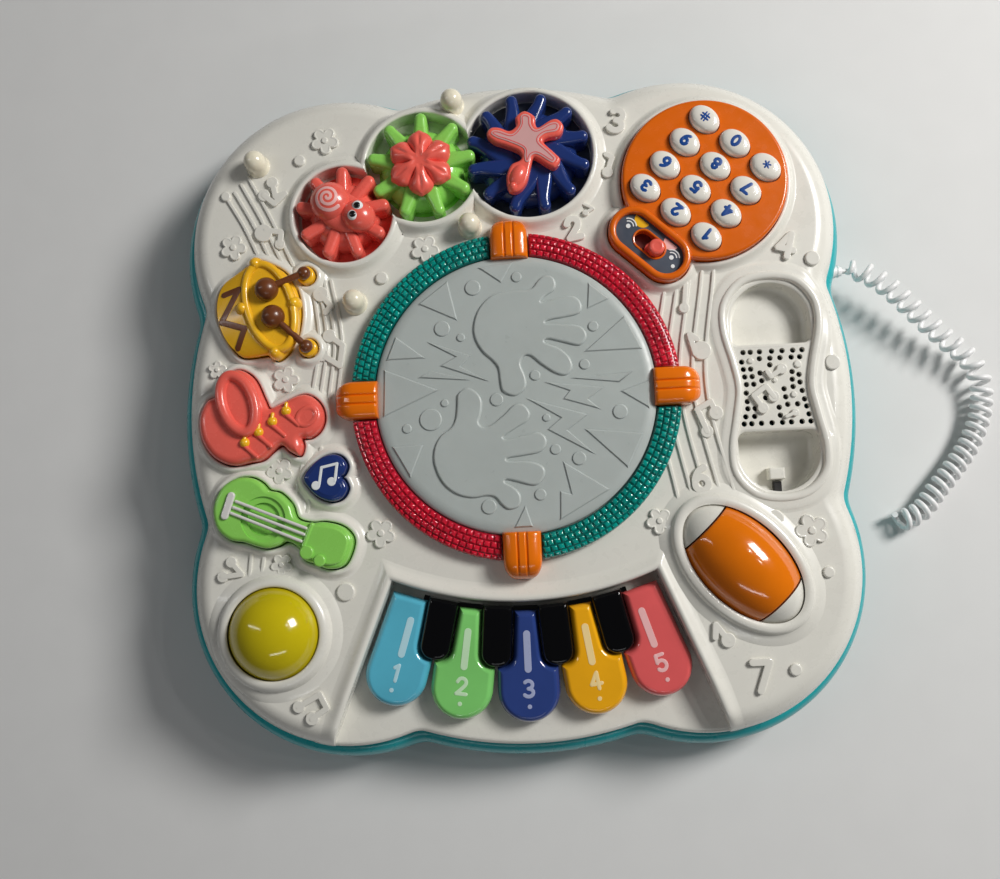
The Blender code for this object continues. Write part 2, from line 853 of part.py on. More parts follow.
def cradle_loop():
    right = [(CRADLE_X + x, y) for x, y in CRADLE_HALF_OUTLINE]
    left = [(CRADLE_X - x, y) for x, y in CRADLE_HALF_OUTLINE[-2:0:-1]]
    return smooth_loop(right + left, 2)


def pocket_loop(straight_y, centre_y, count=10):
    """A pocket with one straight side towards the grille and a round far side."""
    heading = 1.0 if centre_y > straight_y else -1.0
    loop = [(CRADLE_X + POCKET_HALF_WIDTH, straight_y)]
    for index in range(count + 1):
        angle = math.pi * index / count
        x = CRADLE_X + POCKET_HALF_WIDTH * math.cos(angle)
        loop.append((x, centre_y + heading * POCKET_HALF_WIDTH * math.sin(angle)))
    loop.append((CRADLE_X - POCKET_HALF_WIDTH, straight_y))
    return counter_clockwise(loop)


def pocket_loops():
    return (
        pocket_loop(UPPER_POCKET_Y, UPPER_POCKET_CENTRE_Y),
        pocket_loop(LOWER_POCKET_Y, LOWER_POCKET_CENTRE_Y),
    )


def grille_holes():
    """Staggered round holes between the two pockets."""
    holes = []
    for row in range(GRILLE_ROWS):
        shift = 0.25 if row % 2 else -0.25
        y = GRILLE_CENTRE_Y + (row - (GRILLE_ROWS - 1) / 2) * GRILLE_PITCH
        for column in range(GRILLE_COLUMNS):
            x = CRADLE_X + (column - (GRILLE_COLUMNS - 1) / 2 + shift) * GRILLE_PITCH
            loop = circle((x, y), GRILLE_HOLE_R, 6)
            holes.append(prism(loop, PLATEAU_Z - 2 * SHELL_WALL, PLATEAU_Z + SHELL_WALL))
    return holes


def tray_loop(grow):
    """The piano tray: a sector of the fan that runs out through the front edge."""
    rear = TRAY_REAR_R - grow
    loop = []
    for index in range(9):
        angle = TRAY_HALF_ANGLE * (1 - 2 * index / 8)
        side = grow if index == 0 else -grow if index == 8 else 0.0
        loop.append(fan_point(angle, rear, side))
    loop.append(fan_point(-TRAY_HALF_ANGLE, TRAY_FRONT_R, -grow))
    loop.append(fan_point(TRAY_HALF_ANGLE, TRAY_FRONT_R, grow))
    return counter_clockwise(loop)


def tray_ridge():
    """The ridge round the tray, kept inside the shell's edge at the front."""
    outer = tray_loop(TRAY_RIDGE)
    flared = tray_loop(TRAY_RIDGE + TRAY_RIDGE_FLARE)
    top = PLATEAU_Z + TRAY_RIDGE_HEIGHT
    ridge = solid(loft([(flared, PLATEAU_Z - RIM_SINK), (outer, top + RIM_SINK)]))
    return combine(ridge, solid(dome(TRAY_RIDGE_HEIGHT)), "INTERSECT")


def egg_slice(half_length, grow, steps=3, count=18):
    """The roller's egg shape between two flat ends, lying along its axis."""
    rings = []
    for step in range(-steps, steps + 1):
        along = half_length * step / steps
        share = along / EGG_HALF_LENGTH
        radius = ROLLER_R * math.sqrt(1 - share * share) + grow
        rings.append((circle((0.0, 0.0), radius, count), along))
    return placed(loft(rings), roller_matrix())


def egg_dome(steps=4, count=18):
    """The whole egg, whose white ends close the roller's opening."""
    rings = []
    for step in range(-steps, steps + 1):
        angle = math.pi / 2 * step / (steps + 0.35)
        radius = ROLLER_R * math.cos(angle)
        rings.append((circle((0.0, 0.0), radius, count), EGG_HALF_LENGTH * math.sin(angle)))
    return placed(loft(rings), roller_matrix())


def roller_matrix():
    """Turns a body that stands on Z so that it lies along the roller's axis."""
    place = Matrix.Translation((*ROLLER_CENTRE, ROLLER_Z))
    return place @ Matrix.Rotation(ROLLER_TURN, 4, "Z") @ Matrix.Rotation(math.pi / 2, 4, "Y")


def ball_matrix():
    place = Matrix.Translation((*BALL_CENTRE, BALL_Z))
    return place @ Matrix.Rotation(math.pi / 2, 4, "Y")


def ball_body(radius, steps=4, count=18):
    rings = []
    for step in range(-steps, steps + 1):
        angle = math.pi / 2 * step / (steps + 0.35)
        rings.append((circle((0.0, 0.0), radius * math.cos(angle), count), radius * math.sin(angle)))
    return placed(loft(rings), ball_matrix())


def axle_blocks(centre, turn, half_length):
    """Two blocks under the plateau that carry an axle's ends."""
    blocks = []
    for side in (-1, 1):
        along = side * (half_length + BLOCK_LENGTH / 2)
        place = turned_point(centre, (along, 0.0), turn)
        loop = rectangle(place, BLOCK_LENGTH, BLOCK_WIDTH, turn)
        blocks.append(loop)
    return blocks


def axle_body(matrix, half_length, radius):
    rings = [(circle((0.0, 0.0), radius, 10), end) for end in (-half_length, half_length)]
    return placed(loft(rings), matrix)


def roller_axle_half():
    return ROLLER_HALF_LENGTH + ROLLER_CLEARANCE + AXLE_SEAT


def ball_axle_half():
    return BALL_R + BALL_CLEARANCE + AXLE_SEAT


def make_top_shell(material):
    gears = gear_layout().values()
    loops = button_loops()
    pockets = pocket_loops()
    blocks = axle_blocks(ROLLER_CENTRE, ROLLER_TURN, ROLLER_HALF_LENGTH + ROLLER_CLEARANCE)
    ball_blocks = axle_blocks(BALL_CENTRE, 0.0, BALL_R + BALL_CLEARANCE)
    top = PLATEAU_Z + 2 * EDGE_ROUND

    shell = solid(dome())
    for centre, _, tip_radius, _ in gears:
        joined(shell, rim(circle(centre, well_radius(tip_radius), 22), WELL_RIM, WELL_RIM_Z))
    joined(shell, rim(circle(PHONE_CENTRE, PHONE_R, 30), PHONE_COLLAR, PHONE_COLLAR_Z))
    joined(shell, rim(slider_loop(SLIDER_R), PHONE_COLLAR, PHONE_COLLAR_Z))
    for loop in loops.values():
        joined(shell, rim(loop, BUTTON_RIM, BUTTON_RIM_Z))
    for _, tip in STICKS:
        joined(shell, rim(circle(tip, STICK_TIP_R, 10), BUTTON_RIM, BUTTON_RIM_Z - GAP))
    joined(shell, rim(cradle_loop(), RIM_FLARE, CRADLE_RIM_Z))
    combine(shell, tray_ridge(), "UNION")
    egg_share = math.sqrt(1 - ((ROLLER_COLLAR_Z - ROLLER_Z) / ROLLER_R) ** 2)
    collar = ellipse(
        ROLLER_CENTRE, EGG_HALF_LENGTH * egg_share, ROLLER_R * egg_share, ROLLER_TURN, 24
    )
    joined(shell, rim(collar, ROLLER_COLLAR, ROLLER_COLLAR_Z))
    joined(
        shell,
        lathe(
            BALL_CENTRE,
            (
                (BALL_COLLAR_R + BALL_COLLAR_FLARE, PLATEAU_Z - RIM_SINK),
                (BALL_COLLAR_R, BALL_COLLAR_Z),
            ),
            24,
        ),
    )

    cavity = solid(dome_cavity())
    for centre, _, tip_radius, _ in gears:
        radius = well_radius(tip_radius) + SHELL_WALL
        cut(cavity, prism(circle(centre, radius, 14), WELL_FLOOR_Z - SHELL_WALL, top))
    for loop in pockets:
        cut(cavity, prism(shifted(loop, SHELL_WALL), POCKET_FLOOR_Z - SHELL_WALL, top))
    cut(cavity, prism(tray_loop(SHELL_WALL), TRAY_FLOOR_Z - SHELL_WALL, top))
    for loop in blocks:
        cut(cavity, prism(loop, ROLLER_Z - BLOCK_DROP, top))
    for loop in ball_blocks:
        cut(cavity, prism(loop, BALL_Z - BLOCK_DROP, top))
    posts = [prism(circle(place, POST_R, 8), 0.0, top) for place in SCREW_PLACES]
    cut_together(cavity, posts)

    egg_ends = solid(egg_dome())
    below = prism(circle(ROLLER_CENTRE, 2 * EGG_HALF_LENGTH, 4), -top, PLATEAU_Z - RIM_SINK)
    cut(egg_ends, below)
    combine(shell, egg_ends, "UNION")
    combine(shell, cavity, "DIFFERENCE")

    for centre, _, tip_radius, _ in gears:
        cut(shell, prism(circle(centre, well_radius(tip_radius), 22), WELL_FLOOR_Z, top))
        post = circle(centre, GEAR_POST_R, 10)
        joined(shell, prism(post, WELL_FLOOR_Z - SHELL_WALL / 2, GEAR_TOP_Z - SHELL_WALL))
    cut(shell, prism(circle(PHONE_CENTRE, PHONE_R + GAP, 30), PLATEAU_Z - PHONE_SINK, top))
    cut(shell, prism(slider_loop(SLIDER_R + GAP), PLATEAU_Z - PHONE_SINK, top))
    cut(shell, prism(shifted(cradle_loop(), -CRADLE_RIM_WIDTH), PLATEAU_Z - CRADLE_SINK, top))
    for loop in pockets:
        cut(shell, prism(loop, POCKET_FLOOR_Z, top))
    cut(shell, prism(tray_loop(0.0), TRAY_FLOOR_Z, top))
    cut(shell, egg_slice(ROLLER_HALF_LENGTH + ROLLER_CLEARANCE, ROLLER_CLEARANCE))
    cut(shell, ball_body(BALL_R + BALL_CLEARANCE))
    cut(shell, axle_body(roller_matrix(), roller_axle_half() + GAP, AXLE_R + GAP))
    cut(shell, axle_body(ball_matrix(), ball_axle_half() + GAP, AXLE_R + GAP))
    for loop in loops.values():
        cut(shell, prism(grown(loop, SLIDE_GAP), 0.0, top))
    for start, tip in STICKS:
        cut(shell, stick_body(start, tip, SLIDE_GAP, 0.0, top))
        cut(shell, prism(circle(tip, STICK_TIP_R + SLIDE_GAP, 10), 0.0, top))
    through = []
    for place in PEG_PLACES:
        through.append(prism(circle(place, PEG_STEM_R + GAP, 9), POST_JOINT_Z, top))
    through.append(prism(rectangle(HOOK_PLACE, *grown_size(HOOK_SIZE)), 0.0, top))
    through.append(prism(rectangle(hook_slot_place(), *HOOK_SLOT), 0.0, top))
    for place in SCREW_PLACES:
        hole = circle(place, SCREW_SHANK_R + GAP, SCREW_SIDES)
        through.append(prism(hole, 0.0, POST_JOINT_Z + SCREW_GRIP + GAP))
    cut_together(shell, through)
    cut_together(shell, grille_holes())
    for quarter in range(4):
        seat = clip_plan(quarter * math.pi / 2, GAP)
        cut(shell, prism(seat, PLATEAU_Z + GAP / 2, top))
    for place in PEG_PLACES:
        cut(shell, prism(circle(place, PEG_BASE_R + GAP, 9), PLATEAU_Z - GAP, top))
    return finish("top_shell", shell, material)


def grown_size(size):
    return [length + 2 * SLIDE_GAP for length in size]


def hook_slot_place():
    """The dark slot just in front of the hook switch."""
    y = HOOK_PLACE[1] - HOOK_SIZE[1] / 2 - HOOK_SLOT[1] / 2 - 2 * SLIDE_GAP
    return (HOOK_PLACE[0], y)


def tray_rings():
    """The teal tray's side from its base, over the belly, to the lip."""
    lip_z = PARTING_Z - GAP
    rings = []
    for share in (0.0, 0.5, 1.0):
        angle = share * math.pi / 2
        grow = -BASE_INSET + (BASE_INSET + BELLY_OUT) * math.sin(angle)
        z = FOOT_HEIGHT + (BELLY_Z - FOOT_HEIGHT) * (1 - math.cos(angle))
        rings.append((plan_loop(grow), z))
    for share in (0.5, 1.0):
        angle = share * math.pi / 2
        grow = -LIP_INSET + (BELLY_OUT + LIP_INSET) * math.cos(angle)
        z = BELLY_Z + (lip_z - BELLY_Z) * math.sin(angle)
        rings.append((plan_loop(grow), z))
    return rings


def tray_cavity():
    floor = FOOT_HEIGHT + SHELL_WALL
    return loft(
        [
            (plan_loop(-BASE_INSET - SHELL_WALL, INNER_STEPS), floor),
            (plan_loop(BELLY_OUT - 2 * SHELL_WALL, INNER_STEPS), BELLY_Z),
            (plan_loop(-LIP_INSET - SHELL_WALL, INNER_STEPS), PARTING_Z + SHELL_WALL),
        ]
    )


def battery_box():
    """Width, length and roof height of the space for the batteries."""
    width = (BATTERY_COUNT - 1) * BATTERY_PITCH + 2 * (BATTERY_R + GAP)
    length = BATTERY_LENGTH + 2 * GAP
    roof = FOOT_HEIGHT + DOOR_THICKNESS + 2 * BATTERY_R + 4 * GAP
    return width, length, roof


def door_size():
    width, length, _ = battery_box()
    return width + 2 * DOOR_LEDGE, length + 2 * DOOR_LEDGE + DOOR_TAB


def door_centre():
    return (BATTERY_BOX_CENTRE[0], BATTERY_BOX_CENTRE[1] + DOOR_TAB / 2)


def door_screw_place():
    _, length, _ = battery_box()
    y = BATTERY_BOX_CENTRE[1] + length / 2 + (DOOR_LEDGE + DOOR_TAB) / 2
    return (BATTERY_BOX_CENTRE[0], y)


def standoff_places():
    half_x = MAIN_BOARD[0] / 2 - STANDOFF_INSET
    half_y = MAIN_BOARD[1] / 2 - STANDOFF_INSET
    x, y = MAIN_BOARD_CENTRE
    return [(x + a * half_x, y + b * half_y) for a in (-1, 1) for b in (-1, 1)]


def outlet_body(radius, past):
    """A round body along the cord's outlet, longer by past at both ends."""
    ends = (-past, OUTLET_LENGTH + past)
    rings = [(circle((0.0, 0.0), radius, 10), end) for end in ends]
    matrix = Matrix.Translation(OUTLET_PLACE) @ Matrix.Rotation(math.pi / 2, 4, "Y")
    return placed(loft(rings), matrix)


def make_bottom_shell(material):
    width, length, roof = battery_box()
    door = rectangle(door_centre(), *door_size())
    shell = solid(loft(tray_rings()))

    cavity = solid(tray_cavity())
    cut(cavity, prism(shifted(door, SHELL_WALL), 0.0, roof + SHELL_WALL))
    posts = [prism(circle(place, POST_R, 8), 0.0, POST_JOINT_Z) for place in SCREW_PLACES]
    for place in standoff_places():
        posts.append(prism(circle(place, STANDOFF_R, 6), 0.0, MAIN_BOARD_Z - GAP))
    cut_together(cavity, posts)
    combine(shell, cavity, "DIFFERENCE")

    cut(shell, prism(rectangle(BATTERY_BOX_CENTRE, width, length), 0.0, roof))
    cut(shell, prism(shifted(door, GAP), 0.0, FOOT_HEIGHT + DOOR_THICKNESS + GAP))
    holes = []
    for place in SCREW_PLACES:
        holes.append(prism(circle(place, SCREW_HEAD_R + GAP, SCREW_SIDES), 0.0, SCREW_SEAT_Z))
    door_shank = circle(door_screw_place(), SCREW_SHANK_R + GAP, SCREW_SIDES)
    holes.append(prism(door_shank, FOOT_HEIGHT, roof - SHELL_WALL))
    cut_together(shell, holes)
    shanks = [
        prism(circle(place, SCREW_SHANK_R + GAP, SCREW_SIDES), SCREW_SEAT_Z - GAP, PLATEAU_Z)
        for place in SCREW_PLACES
    ]
    cut_together(shell, shanks)
    for x in (-FOOT_OFFSET, FOOT_OFFSET):
        for y in (-FOOT_OFFSET, FOOT_OFFSET):
            joined(shell, foot_body(x, y))
    joined(shell, outlet_body(OUTLET_R, 0.0))
    cut(shell, outlet_body(CORD_R + GAP, OUTLET_LENGTH))
    return finish("bottom_shell", shell, material)


def make_casing_screw(index, material):
    body = screw_body(SCREW_PLACES[index], SCREW_SEAT_Z - GAP, POST_JOINT_Z + SCREW_GRIP)
    return finish(f"casing_screw_{index + 1}", solid(body), material)


def make_door_screw(material):
    _, _, roof = battery_box()
    seat = FOOT_HEIGHT + SCREW_HEAD_HEIGHT / 2
    body = screw_body(door_screw_place(), seat, roof - SHELL_WALL - GAP)
    return finish("door_screw", solid(body), material)


def screw_body(place, seat, tip):
    """A screw whose head hangs below its seat and whose shank points up."""
    profile = (
        (SCREW_HEAD_R, seat - SCREW_HEAD_HEIGHT),
        (SCREW_HEAD_R, seat),
        (SCREW_SHANK_R, seat),
        (SCREW_SHANK_R, tip),
    )
    return lathe(place, profile, SCREW_SIDES)


def make_battery_door(material):
    low = FOOT_HEIGHT
    door = solid(prism(rectangle(door_centre(), *door_size()), low, low + DOOR_THICKNESS))
    place = door_screw_place()
    shank = circle(place, SCREW_SHANK_R + GAP, SCREW_SIDES)
    cut(door, prism(shank, 0.0, PARTING_Z))
    head = circle(place, SCREW_HEAD_R + GAP, SCREW_SIDES)
    cut(door, prism(head, 0.0, low + SCREW_HEAD_HEIGHT / 2 + GAP))
    return finish("battery_door", door, material)


def battery_z():
    return FOOT_HEIGHT + DOOR_THICKNESS + 2 * GAP + BATTERY_R


def battery_places():
    middle = (BATTERY_COUNT - 1) / 2
    x, y = BATTERY_BOX_CENTRE
    return [(x + (index - middle) * BATTERY_PITCH, y) for index in range(BATTERY_COUNT)]


def make_battery_pack(material):
    """Three cells side by side, wrapped as one pack."""
    half = BATTERY_LENGTH / 2
    pack = None
    for x, y in battery_places():
        matrix = Matrix.Translation((x, y, battery_z())) @ Matrix.Rotation(math.pi / 2, 4, "X")
        cell = placed(lathe((0.0, 0.0), ((BATTERY_R, -half), (BATTERY_R, half)), 12), matrix)
        pack = joined(pack, cell) if pack else solid(cell)
    return finish("battery_pack", pack, material)


def foot_body(x, y):
    profile = (
        (FOOT_R * FOOT_TAPER, 0.0),
        (FOOT_R, FOOT_HEIGHT + SHELL_WALL / 2),
    )
    return lathe((x, y), profile, 12)


def make_main_board(material):
    loop = rectangle(MAIN_BOARD_CENTRE, *MAIN_BOARD)
    return finish(
        "main_board", solid(prism(loop, MAIN_BOARD_Z, MAIN_BOARD_Z + BOARD_THICKNESS)), material
    )


# Drum


def make_drum_pad(material):
    under = PAD_TOP_Z - PAD_THICKNESS
    foot = PAD_EDGE_Z - PAD_THICKNESS
    inner = PAD_R - 2 * PAD_THICKNESS
    profile = (
        (inner, under - GAP),
        (inner, foot),
        (PAD_R, foot),
        (PAD_R, PAD_EDGE_Z),
        (PAD_R - 2 * CLIP_NOSE, PAD_EDGE_Z),
        (PAD_R - 3 * CLIP_NOSE, PAD_TOP_Z),
    )
    pad = solid(lathe(DRUM_CENTRE, profile, 36))
    return finish("drum_pad", pad, material, (*DRUM_CENTRE, PAD_EDGE_Z))


def ring_inner():
    return PAD_R + SLIDE_GAP


def ring_outer():
    return PAD_R + SLIDE_GAP + RING_WIDTH


def make_ring_segment(name, quarter, material):
    """A light segment between two clips, its ends square to them."""
    inner = ring_inner()
    outer = ring_outer()
    low = PLATEAU_Z + GAP
    section = (
        (inner, low),
        (outer, low),
        (outer, RING_TOP_Z - RING_WIDTH / 5),
        (outer - RING_WIDTH / 6, RING_TOP_Z - RING_WIDTH / 18),
        (inner + RING_WIDTH / 3, RING_TOP_Z),
        (inner, RING_TOP_Z - RING_WIDTH / 12),
    )
    steps = 9
    rings = []
    for step in range(steps + 1):
        ring = []
        for radius, z in section:
            end = math.asin((CLIP_WIDTH / 2 + GAP) / radius)
            sweep = end + (math.pi / 2 - 2 * end) * step / steps
            x, y = step_from(DRUM_CENTRE, quarter * math.pi / 2 + sweep, radius)
            ring.append((x, y, z))
        rings.append(ring)
    return finish(name, solid(bridged(rings)), material)


def bridged(rings):
    """A closed body through rings of points that already lie in space."""
    count = len(rings[0])
    points = [point for ring in rings for point in ring]
    faces = []
    for level in range(len(rings) - 1):
        low = level * count
        high = low + count
        for index in range(count):
            other = (index + 1) % count
            faces.append((low + index, high + index, high + other, low + other))
    faces.append(tuple(range(count)))
    faces.append(tuple(reversed(range(len(points) - count, len(points)))))
    return points, faces


def clip_plan(turn, grow):
    """A clip seen from above: straight sides and a round outer end."""
    half = CLIP_WIDTH / 2 + grow
    end = CLIP_REACH + grow - half
    outline = [(PAD_R - CLIP_WIDTH, -half), (end, -half)]
    for index in range(1, 6):
        angle = math.pi * (index / 6 - 0.5)
        outline.append((end + half * math.cos(angle), half * math.sin(angle)))
    outline += [(end, half), (PAD_R - CLIP_WIDTH, half)]
    return [turned_point(DRUM_CENTRE, point, turn) for point in outline]


def make_clip(name, quarter, material):
    """A clip over the ring whose nose holds the pad's edge down."""
    turn = quarter * math.pi / 2
    inner = ring_inner()
    nose = PAD_R - CLIP_NOSE
    low = PLATEAU_Z + GAP
    side = (
        (nose, PAD_EDGE_Z + GAP),
        (inner, PAD_EDGE_Z + GAP),
        (inner, low),
        (CLIP_REACH, low),
        (CLIP_REACH, CLIP_TOP_Z - CLIP_WIDTH / 4),
        (CLIP_REACH - CLIP_WIDTH / 8, CLIP_TOP_Z - CLIP_WIDTH / 10),
        (CLIP_REACH - CLIP_WIDTH / 3, CLIP_TOP_Z),
        (nose + CLIP_WIDTH / 10, CLIP_TOP_Z),
        (nose, CLIP_TOP_Z - CLIP_WIDTH / 10),
    )
    half = CLIP_WIDTH / 2
    rings = []
    for across in (-half, half):
        ring = []
        for radius, z in side:
            x, y = turned_point(DRUM_CENTRE, (radius, across), turn)
            ring.append((x, y, z))
        rings.append(ring)
    clip = solid(bridged(rings[::-1]))
    combine(clip, solid(prism(clip_plan(turn, -GAP), PARTING_Z, 2 * PLATEAU_Z)), "INTERSECT")
    for across in (-half / 4, half / 4):
        place = turned_point(DRUM_CENTRE, (CLIP_REACH, across), turn)
        groove = rectangle(place, CLIP_REACH, CLIP_GROOVE, turn)
        cut(clip, prism(groove, CLIP_TOP_Z - CLIP_GROOVE, 2 * PLATEAU_Z))
    return finish(name, clip, material)


# Gears and their caps


def make_gear(name, layout, material):
    centre, teeth, tip_radius, phase = layout
    loop = gear_loop(centre, teeth, tip_radius, phase)
    low = WELL_FLOOR_Z + GAP
    gear = solid(
        loft(
            [
                (loop, low),
                (loop, GEAR_TOP_Z - GEAR_ROUND),
                (shifted(loop, -GEAR_ROUND), GEAR_TOP_Z),
            ]
        )
    )
    bore = circle(centre, GEAR_POST_R + GAP, 10)
    cut(gear, prism(bore, 0.0, GEAR_TOP_Z - SHELL_WALL + GAP))
    return finish(name, gear, material, (*centre, low))


def petal_loop(centre, radius, petals, depth, points_each):
    loop = []
    for index in range(petals * points_each):
        angle = 2 * math.pi * index / (petals * points_each)
        reach = radius * (1 - depth + depth * abs(math.cos(petals * angle / 2)))
        loop.append(step_from(centre, angle + CAP_TURN, reach))
    return loop


def scaled_loop(loop, centre, share):
    return [(centre[0] + (x - centre[0]) * share, centre[1] + (y - centre[1]) * share) for x, y in loop]


def cap_body(loop, centre, section):
    low = GEAR_TOP_Z + GAP
    return solid(
        loft([(scaled_loop(loop, centre, size), low + CAP_HEIGHT * rise) for size, rise in section])
    )


def finish_cap(name, cap, centre, material):
    return finish(name, cap, material, (*centre, GEAR_TOP_Z + GAP))


def make_flower_cap(layout, material):
    centre = layout[0]
    loop = petal_loop(centre, FLOWER_CAP_R, FLOWER_PETALS, FLOWER_PETAL_DEPTH, 2)
    return finish_cap("flower_cap", cap_body(loop, centre, FLOWER_SECTION), centre, material)


def make_star_cap(layout, material):
    """A five-armed cap with round arms."""
    centre = layout[0]
    loop = petal_loop(centre, STAR_CAP_R, STAR_ARMS, STAR_ARM_DEPTH, 6)
    return finish_cap("star_cap", cap_body(loop, centre, STAR_SECTION), centre, material)


def dome_body(centre, half_length, half_width, turn, low, height, count=10):
    """Half an egg that sits on z = low."""
    rings = []
    for share in (0.0, 0.45, 0.85):
        angle = share * math.pi / 2
        loop = ellipse(
            centre, half_length * math.cos(angle), half_width * math.cos(angle), turn, count
        )
        rings.append((loop, low + height * math.sin(angle)))
    return loft(rings)


def make_snail_cap(layout, material):
    """A snail: a round shell, a body under it and a head."""
    centre = layout[0]
    low = GEAR_TOP_Z + GAP
    reach = layout[2]
    half_length, half_width = (reach * share for share in SNAIL_BODY)
    snail = solid(dome_body(centre, half_length, half_width, SNAIL_TURN, low, CAP_HEIGHT))
    for place, (size, rise) in ((SNAIL_SHELL_PLACE, SNAIL_SHELL), (SNAIL_HEAD_PLACE, SNAIL_HEAD)):
        middle = (centre[0] + reach * place[0], centre[1] + reach * place[1])
        joined(snail, dome_body(middle, reach * size, reach * size, 0.0, low, CAP_HEIGHT * rise))
    return finish_cap("snail_cap", snail, centre, material)


# Phone keypad and volume slider


def phone_key_place(index):
    """Centre of a key: the rows run away from the slider, the columns along it."""
    row, column = divmod(index, 3)
    along = (1 - column) * KEY_COLUMN_PITCH
    across = (row - 1.5) * KEY_ROW_PITCH
    return turned_point(PHONE_CENTRE, (along, across), PHONE_TURN)


def phone_key_loop(index, grow, count=10):
    place = phone_key_place(index)
    return ellipse(place, KEY_HALF_LENGTH + grow, KEY_HALF_WIDTH + grow, PHONE_TURN, count)


def slider_loop(radius, count=16):
    return stadium(SLIDER_CENTRE, SLIDER_HALF_LENGTH, radius, PHONE_TURN, count)


def slot_loop(radius, count=12):
    return stadium(SLIDER_CENTRE, SLIDER_TRAVEL / 2, radius, PHONE_TURN, count)


def phone_seat_z():
    return PLATEAU_Z - PHONE_SINK + GAP


def make_phone_panel(material):
    low = phone_seat_z()
    edge = PHONE_WALL / 2
    disc = circle(PHONE_CENTRE, PHONE_R, 30)
    panel = solid(
        loft([(disc, low), (disc, PHONE_TOP_Z - edge), (shifted(disc, -edge), PHONE_TOP_Z)])
    )
    housing = slider_loop(SLIDER_R)
    joined(
        panel,
        loft([(housing, low), (housing, SLIDER_TOP_Z - edge), (shifted(housing, -edge), SLIDER_TOP_Z)]),
    )
    under = PHONE_TOP_Z - PHONE_PLATE
    cut(panel, prism(circle(PHONE_CENTRE, PHONE_R - PHONE_WALL, 30), 0.0, under))
    cut(panel, prism(slider_loop(SLIDER_RECESS_R), SLIDER_RECESS_Z, 2 * PLATEAU_Z))
    cut(panel, prism(slider_loop(SLIDER_R - PHONE_WALL), 0.0, SLIDER_RECESS_Z - PHONE_PLATE))
    cut(panel, prism(slot_loop(SLIDER_SLOT_R), 0.0, 2 * PLATEAU_Z))
    holes = []
    for index in range(len(PHONE_KEYS)):
        holes.append(prism(phone_key_loop(index, SLIDE_GAP), under - SHELL_WALL, 2 * PLATEAU_Z))
    cut_together(panel, holes)
    return finish("phone_panel", panel, material)


def make_phone_key(index, material):
    top = PHONE_TOP_Z - PHONE_PLATE - GAP
    loop = phone_key_loop(index, 0.0)
    flange = phone_key_loop(index, KEY_FLANGE)
    place = phone_key_place(index)
    crown = KEY_TOP_Z - PHONE_TOP_Z
    key = solid(
        loft(
            [
                (flange, top - KEY_FLANGE_HEIGHT),
                (flange, top),
                (loop, top),
                (loop, PHONE_TOP_Z + crown * KEY_SHOULDER_SHARE),
                (scaled_loop(loop, place, KEY_CROWN_SHARE), KEY_TOP_Z),
            ]
        )
    )
    return finish("phone_key_" + PHONE_KEYS[index], key, material, (*place, top))


def make_keypad_board(material):
    """The board under the keys: it rests on the plateau inside the panel's wall."""
    low = phone_seat_z()
    loop = circle(PHONE_CENTRE, KEYPAD_BOARD_R, 24)
    return finish("keypad_board", solid(prism(loop, low, low + BOARD_THICKNESS)), material)


def make_slider_plate(material):
    low = SLIDER_RECESS_Z + GAP
    plate = solid(prism(slider_loop(SLIDER_RECESS_R - GAP), low, low + SLIDER_PLATE_THICKNESS))
    cut(plate, prism(slot_loop(SLIDER_SLOT_R + GAP), 0.0, 2 * PLATEAU_Z))
    return finish("slider_plate", plate, material)


def make_volume_slider(material):
    place = turned_point(SLIDER_CENTRE, (SLIDER_TRAVEL / 2, 0.0), PHONE_TURN)
    under = SLIDER_RECESS_Z - PHONE_PLATE - GAP
    profile = (
        (SLIDER_KNOB_R + SLIDER_FOOT, under - SLIDER_FOOT),
        (SLIDER_KNOB_R + SLIDER_FOOT, under),
        (SLIDER_KNOB_R, under),
        (SLIDER_KNOB_R, SLIDER_KNOB_Z - SLIDER_KNOB_R / 4),
        (SLIDER_KNOB_R * SLIDER_CROWN_SHARE, SLIDER_KNOB_Z),
    )
    knob = solid(lathe(place, profile, 12))
    return finish("volume_slider", knob, material, (*place, under))


# Picture buttons


def stick_body(start, tip, grow, low, high):
    """A drumstick's bar between its ball and its tip."""
    middle = ((start[0] + tip[0]) / 2, (start[1] + tip[1]) / 2)
    run = (tip[0] - start[0], tip[1] - start[1])
    loop = rectangle(middle, math.hypot(*run), 2 * (STICK_R + grow), math.atan2(run[1], run[0]))
    return prism(loop, low, high)


def button_blank(loop):
    """A button's stem with a round top edge, and the flange that keeps it under the plateau."""
    seat = PLATEAU_Z - SHELL_WALL - GAP
    stem = [(loop, seat - GAP), (loop, BUTTON_TOP_Z - BUTTON_ROUND)]
    stem.append((shifted(loop, -BUTTON_TOP_INSET), BUTTON_TOP_Z))
    blank = solid(loft(stem))
    joined(blank, prism(grown(loop, BUTTON_FLANGE + SLIDE_GAP), seat - BUTTON_FLANGE_HEIGHT, seat))
    return blank


def loop_centre(loop):
    count = len(loop)
    return (sum(x for x, _ in loop) / count, sum(y for _, y in loop) / count)


def finish_button(name, button, loop, material):
    origin = (*loop_centre(loop), PLATEAU_Z - SHELL_WALL - GAP)
    return finish(name, button, material, origin)


